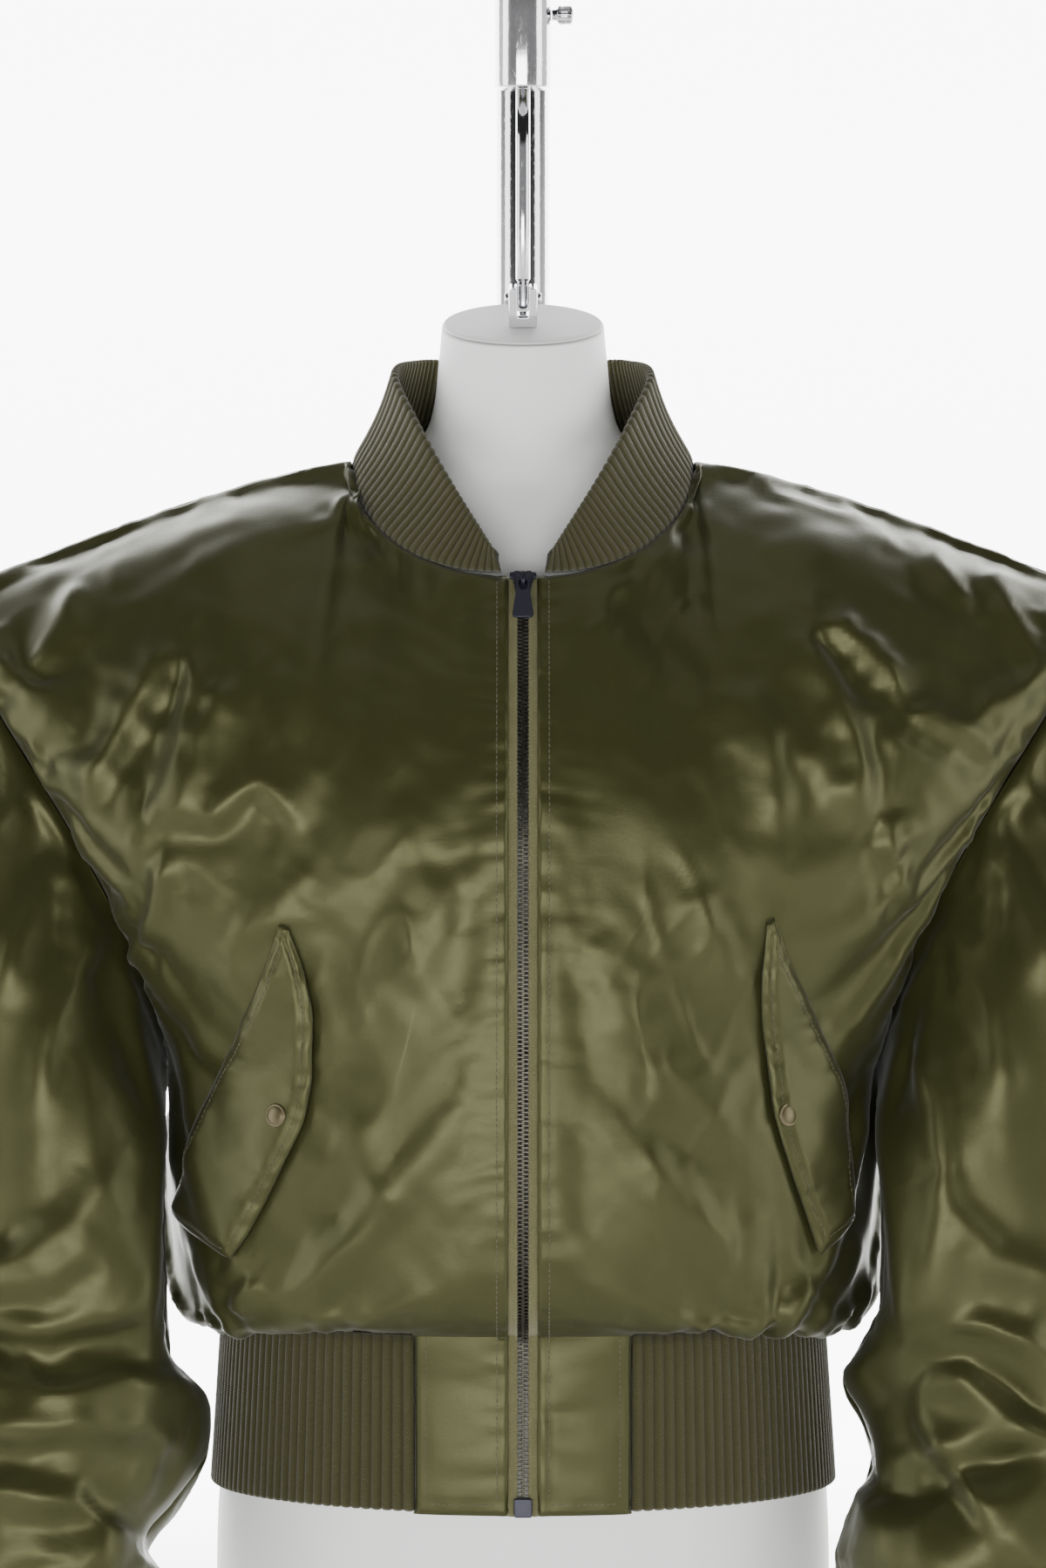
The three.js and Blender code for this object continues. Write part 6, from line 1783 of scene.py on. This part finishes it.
class Tree:
    """Builds a node tree: every node comes from add, with its settings set before its sockets."""

    def __init__(self, tree):
        self.tree = tree
        tree.nodes.clear()

    def add(self, kind, settings=(), **sockets):
        node = self.tree.nodes.new(kind)
        for name, value in dict(settings).items():
            if name == "stops":
                self.set_stops(node.color_ramp, value)
            else:
                setattr(node, name, value)
        for name, value in sockets.items():
            key = int(name[1:]) if name[0] == "i" and name[1:].isdigit() else name.replace("_", " ")
            socket = node.inputs[key]
            value = value.socket if isinstance(value, Number) else value
            if isinstance(value, bpy.types.NodeSocket):
                self.tree.links.new(value, socket)
            else:
                socket.default_value = value
        return node

    def set_stops(self, ramp, stops):
        while len(ramp.elements) < len(stops):
            ramp.elements.new(0.5)
        for element, (place, colour) in zip(ramp.elements, stops):
            element.position, element.color = place, colour

    def number(self, socket):
        return Number(self, socket)

    def mix_colour(self, share, a, b, blend="MIX"):
        node = self.add("ShaderNodeMix", {"data_type": "RGBA", "blend_type": blend}, i0=share, i6=a, i7=b)
        return node.outputs[2]

    def noise(self, place, scale, detail=2.0, roughness=0.5):
        node = self.add("ShaderNodeTexNoise", Vector=place, Scale=scale, Detail=detail, Roughness=roughness)
        return self.number(node.outputs["Fac"])

    def scaled(self, place, factors):
        return self.add("ShaderNodeVectorMath", {"operation": "MULTIPLY"}, i0=place, i1=factors).outputs[0]

    def bump(self, height, strength, distance, normal=None):
        extra = {} if normal is None else {"Normal": normal}
        return self.add("ShaderNodeBump", Height=height, Strength=strength, Distance=distance, **extra).outputs[0]


class Number:
    """A number socket of a node tree; arithmetic on it adds Math nodes."""

    def __init__(self, tree, socket):
        self.tree, self.socket = tree, socket

    def math(self, operation, *others):
        values = {f"i{k}": value for k, value in enumerate((self, *others))}
        return Number(self.tree, self.tree.add("ShaderNodeMath", {"operation": operation}, **values).outputs[0])

    def turned(self, operation, other):
        node = self.tree.add("ShaderNodeMath", {"operation": operation}, i0=other, i1=self)
        return Number(self.tree, node.outputs[0])

    def __add__(self, other):
        return self.math("ADD", other)

    def __sub__(self, other):
        return self.math("SUBTRACT", other)

    def __rsub__(self, other):
        return self.turned("SUBTRACT", other)

    def __mul__(self, other):
        return self.math("MULTIPLY", other)

    def __truediv__(self, other):
        return self.math("DIVIDE", other)

    def __pow__(self, other):
        return self.math("POWER", other)

    __radd__, __rmul__ = __add__, __mul__

    def fraction(self):
        return self.math("FRACT")

    def size(self):
        return self.math("ABSOLUTE")

    def wave(self):
        return self.math("SINE")

    def held(self, low, high):
        return self.math("MAXIMUM", low).math("MINIMUM", high)

    def between(self, start, end):
        node = self.tree.add("ShaderNodeMapRange", {"interpolation_type": "SMOOTHSTEP"}, Value=self)
        node.inputs["From Min"].default_value, node.inputs["From Max"].default_value = start, end
        return Number(self.tree, node.outputs["Result"])


def linear(colour, shade=1.0):
    """A colour from 0 to 255 as it looks, as a linear colour with alpha."""
    values = [((c / 255 + 0.055) / 1.055) ** 2.4 if c > 10.3 else c / 255 / 12.92 for c in colour]
    return (*[min(v * shade, 1.0) for v in values], 1.0)


def start_material(name):
    material = bpy.data.materials.new(name)
    material.use_nodes = True
    tree = Tree(material.node_tree)
    output = tree.add("ShaderNodeOutputMaterial")
    shader = tree.add("ShaderNodeBsdfPrincipled")
    tree.tree.links.new(shader.outputs[0], output.inputs["Surface"])
    place = tree.add("ShaderNodeTexCoord").outputs["Object"]
    return material, tree, shader, place


def finish_material(tree, shader, constants, **varying):
    for name, value in constants.items():
        shader.inputs[name].default_value = value
    for name, value in varying.items():
        source = value.socket if isinstance(value, Number) else value
        tree.tree.links.new(source, shader.inputs[name.replace("_", " ")])


def shades(colour, low, high):
    return [(*[c * shade for c in colour], 1.0) for shade in (low, high)]


def satin_material(colours):
    material, tree, shader, place = start_material("olive_satin")
    broad = tree.noise(place, 14.0, 3.0)
    fine = tree.noise(place, 420.0, 2.0)
    slubs = tree.noise(tree.scaled(place, (220.0, 220.0, 1500.0)), 1.0, 2.0)
    dark, light = shades(colours.satin, 0.86, 1.16)
    colour = tree.mix_colour(broad * 0.7 + slubs * 0.3, dark, light)
    rough = colours.satin_roughness - 0.06 + broad * 0.06 + fine * 0.08
    bump = tree.bump(fine, 0.22, 0.0002, tree.bump(slubs, 0.2, 0.00015))
    finish_material(
        tree,
        shader,
        {"Metallic": colours.satin_metal, "Sheen Weight": 0.12, "Sheen Roughness": 0.4, "Specular IOR Level": 0.45},
        Base_Color=colour,
        Roughness=rough,
        Normal=bump,
    )
    return material


def knit_material(colours):
    """Rib knit: the first coordinate counts ribs, the second runs along them in millimetres. The colour is darkened
    into the grooves between ribs as painted shade.
    """
    material, tree, shader, place = start_material("rib_knit")
    parts = tree.add("ShaderNodeSeparateXYZ", Vector=tree.add("ShaderNodeUVMap", {"uv_map": "cloth"}).outputs[0])
    rib, along = tree.number(parts.outputs[0]), tree.number(parts.outputs[1])
    off = (rib.fraction() - 0.5).size() * 2.0
    loops = ((along / 1.35 + off * 0.9) * (2 * math.pi)).wave() * 0.5 + 0.5
    fuzz = tree.noise(place, 900.0, 3.0, 0.7)
    patches = tree.noise(place, 45.0, 2.0)
    # ridge is 1 on a rib's crest and 0 in its groove: in the colour it paints shade into the grooves, in the bump it
    # scales the loops
    ridge = 1.0 - off**1.6
    dark, light = shades(colours.knit, 0.5, 1.25)
    # painted shade: the colour falls to half its tone in the grooves between ribs, mixed with the loop pattern and
    # patchy tone
    colour = tree.mix_colour((ridge * 0.62 + loops * 0.16 + patches * 0.22).held(0.0, 1.0), dark, light)
    bump = tree.bump(fuzz, 0.5, 0.0004, tree.bump(loops * ridge, 0.55, 0.0005))
    finish_material(
        tree,
        shader,
        {"Metallic": 0.0, "Sheen Weight": 0.25, "Sheen Roughness": 0.5, "Specular IOR Level": 0.2},
        Base_Color=colour,
        Roughness=0.82 + fuzz * 0.12,
        Normal=bump,
    )
    return material


def tape_material(colours):
    material, tree, shader, place = start_material("woven_tape")
    parts = tree.add("ShaderNodeSeparateXYZ", Vector=place)
    x, z = tree.number(parts.outputs[0]), tree.number(parts.outputs[2])
    twill = ((x.size() * 2100.0 + z * 2600.0) * 2.0).wave() * 0.5 + 0.5
    ribs = (z * (2 * math.pi / 0.0011)).wave() * 0.5 + 0.5
    grain = tree.noise(place, 700.0, 3.0)
    dark, light = shades(colours.tape, 0.72, 1.2)
    colour = tree.mix_colour(ribs * 0.4 + twill * 0.25 + grain * 0.35, dark, light)
    bump = tree.bump(ribs * 0.6 + twill * 0.4, 0.5, 0.0003)
    finish_material(
        tree, shader, {"Metallic": 0.0, "Sheen Weight": 0.3}, Base_Color=colour, Roughness=0.74 + grain * 0.15, Normal=bump
    )
    return material


def metal_material(name, colour, metallic, roughness, wear):
    """Plated metal with soft scuffs that lighten it a little."""
    material, tree, shader, place = start_material(name)
    scuffs = tree.noise(tree.scaled(place, (900.0, 900.0, 260.0)), 1.0, 4.0, 0.6).between(0.5, 0.75)
    cloud = tree.noise(place, 160.0, 2.0)
    dark, light = shades(colour, 0.85, 1.0 + wear)
    tone = tree.mix_colour(scuffs * 0.6 + cloud * 0.4, dark, light)
    finish_material(
        tree,
        shader,
        {"Metallic": metallic, "Specular IOR Level": 0.5},
        Base_Color=tone,
        Roughness=(roughness - 0.04) + scuffs * 0.1 + cloud * 0.06,
        Normal=tree.bump(scuffs, 0.12, 0.00008),
    )
    return material


def thread_material(colours):
    material, tree, shader, place = start_material("olive_thread")
    parts = tree.add("ShaderNodeSeparateXYZ", Vector=place)
    x, z = tree.number(parts.outputs[0]), tree.number(parts.outputs[2])
    twist = ((x + z) * (2 * math.pi / 0.0005)).wave() * 0.5 + 0.5
    fuzz = tree.noise(place, 1200.0, 2.0)
    dark, light = shades(colours.thread, 0.75, 1.2)
    finish_material(
        tree,
        shader,
        {"Metallic": 0.0, "Sheen Weight": 0.3},
        Base_Color=tree.mix_colour(twist * 0.5 + fuzz * 0.5, dark, light),
        Roughness=0.5 + fuzz * 0.15,
        Normal=tree.bump(twist, 0.5, 0.0001),
    )
    return material


def form_material(looks):
    material, tree, shader, place = start_material("white_form")
    cloud = tree.noise(place, 18.0, 3.0)
    grain = tree.noise(place, 650.0, 2.0)
    dark, light = shades(looks.form, 0.965, 1.0)
    finish_material(
        tree,
        shader,
        {"Metallic": 0.0, "Specular IOR Level": 0.35, "Coat Roughness": 0.4},
        Base_Color=tree.mix_colour(cloud, dark, light),
        Roughness=0.5 + grain * 0.08,
        Normal=tree.bump(grain, 0.08, 0.0002),
    )
    return material


def floor_material(looks):
    material, tree, shader, place = start_material("glowing_pale_floor")
    cloud = tree.noise(place, 1.2, 2.0)
    dark, light = shades(looks.floor, 0.99, 1.0)
    finish_material(
        tree,
        shader,
        {"Metallic": 0.0, "Specular IOR Level": 0.15},
        Base_Color=tree.mix_colour(cloud, dark, light),
        Roughness=0.86 + cloud * 0.06,
    )
    # painted light: the floor glows, faintly near the form and fully from 2.1 m back and up the wall, and this glow
    # lights the jacket from behind
    depth = tree.number(tree.add("ShaderNodeSeparateXYZ", Vector=place).outputs[1])
    glow = tree.mix_colour(depth.between(0.7, 2.1), (0.04, 0.04, 0.04, 1), (1, 1, 1, 1))
    tree.tree.links.new(glow, shader.inputs["Emission Color"])
    shader.inputs["Emission Strength"].default_value = 7.0
    return material


MATERIALS = {}


def materials_of(scene):
    """The finishes, made once from the colours that the panel shows."""
    if not MATERIALS:
        colours, looks = scene.jacket_colours, scene.stand_looks
        MATERIALS.update(
            satin=satin_material(colours),
            knit=knit_material(colours),
            tape=tape_material(colours),
            teeth=metal_material("zip_teeth_metal", colours.zip_metal, 0.85, 0.36, 0.5),
            slider=metal_material("painted_slider", colours.slider, 0.55, 0.3, 0.4),
            snap=metal_material("olive_snap", colours.snap, 0.5, 0.34, 0.3),
            thread=thread_material(colours),
            form=form_material(looks),
            chrome=metal_material("polished_chrome", looks.chrome, 1.0, looks.chrome_roughness, 0.04),
            floor=floor_material(looks),
        )
    return MATERIALS


# What a user would change


def colour_choice(name, description, default):
    plan = {"size": 3, "min": 0, "max": 1, "subtype": "COLOR"}
    return FloatVectorProperty(name=name, description=description, default=default, **plan)


def length_choice(name, description, default, least):
    return FloatProperty(name=name, description=description, default=default, min=least, unit="LENGTH")


def share_choice(name, description, default):
    return FloatProperty(name=name, description=description, default=default, min=0, max=1, subtype="FACTOR")


def amount_choice(name, description, default, **limits):
    return FloatProperty(name=name, description=description, default=default, **{"min": 0, **limits})


class JacketSizes(PropertyGroup):
    """Sizes of the cloth's relief and sewing."""

    fold_height: amount_choice("Fold height", "Height of the satin's folds against the plain drawn ones", 1.2, max=2)
    stitch_pitch: length_choice("Stitch pitch", "Distance from one stitch to the next", 0.0031, 0.001)
    stitch_radius: length_choice("Thread radius", "Radius of the sewing thread", 0.0003, 0.0001)
    tooth_pitch: length_choice("Tooth pitch", "Distance between the zip's teeth on one side", 0.00224, 0.001)


class JacketColours(PropertyGroup):
    """Colours and gloss of the jacket."""

    satin: colour_choice("Satin", "Colour of the satin", linear((63, 64, 31))[:3])
    satin_roughness: share_choice("Satin roughness", "How blurred the satin's gloss is", 0.4)
    satin_metal: share_choice("Satin lustre", "How much the satin's gloss takes its own colour", 0.55)
    knit: colour_choice("Knit", "Colour of the rib knit", linear((60, 58, 32))[:3])
    tape: colour_choice("Zip tape", "Colour of the woven zip tape", linear((90, 88, 52))[:3])
    thread: colour_choice("Thread", "Colour of the stitching", linear((68, 66, 38))[:3])
    zip_metal: colour_choice("Zip teeth", "Colour of the metal teeth", linear((66, 64, 54))[:3])
    slider: colour_choice("Slider", "Colour of the slider and pull", linear((42, 42, 52))[:3])
    snap: colour_choice("Snaps", "Colour of the snap caps", linear((88, 80, 54))[:3])


class StandLooks(PropertyGroup):
    """Colours of the dress form, the stand and the floor."""

    form: colour_choice("Form", "Colour of the dress form", linear((250, 250, 248))[:3])
    chrome: colour_choice("Chrome", "Colour of the polished tube", (0.78, 0.78, 0.8))
    chrome_roughness: share_choice("Chrome roughness", "How blurred the chrome's reflections are", 0.1)
    floor: colour_choice("Floor", "Colour of the studio floor", (0.9, 0.9, 0.9))


class StudioLook(PropertyGroup):
    """Light and camera of the studio."""

    key_power: amount_choice("Key light", "Power of the large front light", 95.0, unit="POWER")
    side_power: amount_choice("Side light", "Power of each side light", 30.0, unit="POWER")
    top_power: amount_choice("Top light", "Power of the light overhead", 9.0, unit="POWER")
    surround: amount_choice("Surround", "Brightness of the white studio at eye level", 1.2)
    room: amount_choice("Room", "Brightness of the room behind the camera", 0.3)
    ceiling: amount_choice("Ceiling", "Brightness of the studio overhead", 0.03)
    lens: amount_choice("Lens", "Focal length of the camera", VIEW["lens"], min=10)
    away: length_choice("Distance", "Distance of the camera from the jacket's middle", VIEW["away"] / 1000, 1)


# The operators


class JACKET_OT_fronts(Operator):
    """Makes the two satin fronts, with their folds, gathers and tabs"""

    bl_idname = "jacket.fronts"
    bl_label = "Fronts"

    def execute(self, context):
        sizes, satin = context.scene.jacket_sizes, materials_of(context.scene)["satin"]
        for side, node in ((-1, "front_right"), (1, "front_left")):
            panel = front_grid(side, sizes.fold_height)
            PANELS[side] = panel
            grid, present = panel["grid"], panel["present"]
            if side < 0:
                grid, present = grid[:, ::-1], present[:, ::-1]
            piece = shell("satin_" + node, grid, SATIN_WALL, satin, present)
            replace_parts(piece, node)
        return {"FINISHED"}


class JACKET_OT_back(Operator):
    """Makes the satin back in one piece"""

    bl_idname = "jacket.back"
    bl_label = "Back"

    def execute(self, context):
        grid = back_grid(context.scene.jacket_sizes.fold_height)
        piece = shell("satin_back", grid, SATIN_WALL, materials_of(context.scene)["satin"])
        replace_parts(piece, "back")
        return {"FINISHED"}


class JACKET_OT_sleeves(Operator):
    """Makes the two satin sleeves with their elbow folds and cuff gathers"""

    bl_idname = "jacket.sleeves"
    bl_label = "Sleeves"

    def execute(self, context):
        sizes, satin = context.scene.jacket_sizes, materials_of(context.scene)["satin"]
        for side, node in ((-1, "sleeve_right"), (1, "sleeve_left")):
            grid = sleeve_grid(side, sizes.fold_height)
            if side < 0:
                grid = grid[:, ::-1]
            piece = shell("satin_" + node, grid, SATIN_WALL, satin, closed=True)
            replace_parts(piece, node)
        return {"FINISHED"}


class JACKET_OT_ribbing(Operator):
    """Makes the knit collar, waistband and cuffs"""

    bl_idname = "jacket.ribbing"
    bl_label = "Knit ribbing"

    def execute(self, context):
        knit = materials_of(context.scene)["knit"]
        band = ribbing("knit_waistband", waistband_surface, BAND_RIBS, BAND_HEIGHT, 16, knit)
        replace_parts(band, "waistband")
        plan = {"reverse": True, "wave": 0.9, "under": 3.5}
        collar = ribbing("knit_collar", collar_surface, COLLAR_RIBS, COLLAR_HEIGHT, 16, knit, **plan)
        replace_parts(collar, "collar")
        for side, node in ((-1, "cuff_right"), (1, "cuff_left")):
            plan = {"closed": True, "reverse": side < 0}
            cuff = ribbing("knit_" + node, cuff_surface(side), CUFF_RIBS, CUFF_END["drop"], 14, knit, **plan)
            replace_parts(cuff, node)
        return {"FINISHED"}


class JACKET_OT_pockets(Operator):
    """Makes the pocket flaps and their snaps"""

    bl_idname = "jacket.pockets"
    bl_label = "Pocket flaps"

    def execute(self, context):
        finishes = materials_of(context.scene)
        for side, name in ((-1, "right"), (1, "left")):
            flap = flap_grid(PANELS[side])
            PANELS["flap", side] = flap
            piece = two_sided("satin_pocket_flap_" + name, flap["top"], flap["under"], side, finishes["satin"])
            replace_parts(piece, "pocket_flap_" + name)
            cap = snap_cap("cap_snap_" + name, side, finishes["snap"])
            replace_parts(cap, "snap_" + name)
        return {"FINISHED"}


class JACKET_OT_stitching(Operator):
    """Sews the topstitching along the zip, round the tabs and on the flaps"""

    bl_idname = "jacket.stitching"
    bl_label = "Topstitching"

    def execute(self, context):
        sizes = context.scene.jacket_sizes
        STITCH.update(pitch=sizes.stitch_pitch * 1000, radius=sizes.stitch_radius * 1000)
        thread = materials_of(context.scene)["thread"]
        for side, name in ((-1, "right"), (1, "left")):
            sewn = {"front": panel_lines(PANELS[side]), "flap": flap_lines(PANELS["flap", side])}
            for place, lines in sewn.items():
                points, faces = stitch_mesh(lines)
                new_piece(f"thread_{place}_{name}", points, faces, thread)
        return {"FINISHED"}


class JACKET_OT_zip(Operator):
    """Makes the zip: tapes, teeth, slider, bridge, pull and stops"""

    bl_idname = "jacket.zip"
    bl_label = "Zip"

    def execute(self, context):
        TOOTH["pitch"] = context.scene.jacket_sizes.tooth_pitch * 1000
        make_zip(materials_of(context.scene))
        return {"FINISHED"}


class STAND_OT_form(Operator):
    """Makes the smooth dress form"""

    bl_idname = "stand.form"
    bl_label = "Dress form"

    def execute(self, context):
        make_form(materials_of(context.scene)["form"])
        return {"FINISHED"}


class STAND_OT_tubes(Operator):
    """Makes the stand's plate, tubes, rod and fork"""

    bl_idname = "stand.tubes"
    bl_label = "Stand"

    def execute(self, context):
        make_stand(materials_of(context.scene)["chrome"])
        return {"FINISHED"}


class STUDIO_OT_stage(Operator):
    """Makes the pale floor, the soft studio light and the camera"""

    bl_idname = "studio.stage"
    bl_label = "Stage"

    def execute(self, context):
        make_stage(context.scene.studio_look, materials_of(context.scene)["floor"])
        return {"FINISHED"}


OPERATORS = (
    JACKET_OT_fronts,
    JACKET_OT_back,
    JACKET_OT_sleeves,
    JACKET_OT_ribbing,
    JACKET_OT_pockets,
    JACKET_OT_stitching,
    JACKET_OT_zip,
    STAND_OT_form,
    STAND_OT_tubes,
    STUDIO_OT_stage,
)


class VIEW3D_PT_jacket(Panel):
    """Lists the jacket's sizes, colours and pieces"""

    bl_label = "Bomber jacket"
    bl_idname = "VIEW3D_PT_jacket"
    bl_space_type = "VIEW_3D"
    bl_region_type = "UI"
    bl_category = "Jacket"

    def draw(self, context):
        scene = context.scene
        for group in (scene.jacket_sizes, scene.jacket_colours, scene.stand_looks, scene.studio_look):
            box = self.layout.box()
            for name in group.__annotations__:
                box.prop(group, name)
        for operator in OPERATORS:
            self.layout.operator(operator.bl_idname)


GROUPS = {
    "jacket_sizes": JacketSizes,
    "jacket_colours": JacketColours,
    "stand_looks": StandLooks,
    "studio_look": StudioLook,
}
CLASSES = (*GROUPS.values(), *OPERATORS, VIEW3D_PT_jacket)


def register():
    for item in CLASSES:
        bpy.utils.register_class(item)
    for name, group in GROUPS.items():
        setattr(bpy.types.Scene, name, PointerProperty(type=group))


def unregister():
    for name in GROUPS:
        delattr(bpy.types.Scene, name)
    for item in reversed(CLASSES):
        bpy.utils.unregister_class(item)


def main():
    register()
    for operator in OPERATORS:
        group, name = operator.bl_idname.split(".")
        getattr(getattr(bpy.ops, group), name)()
    box = {"cad": [list(corner) for corner in CAD_BOX], "visual": [list(corner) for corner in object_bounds()]}


if __name__ == "__main__":
    main()
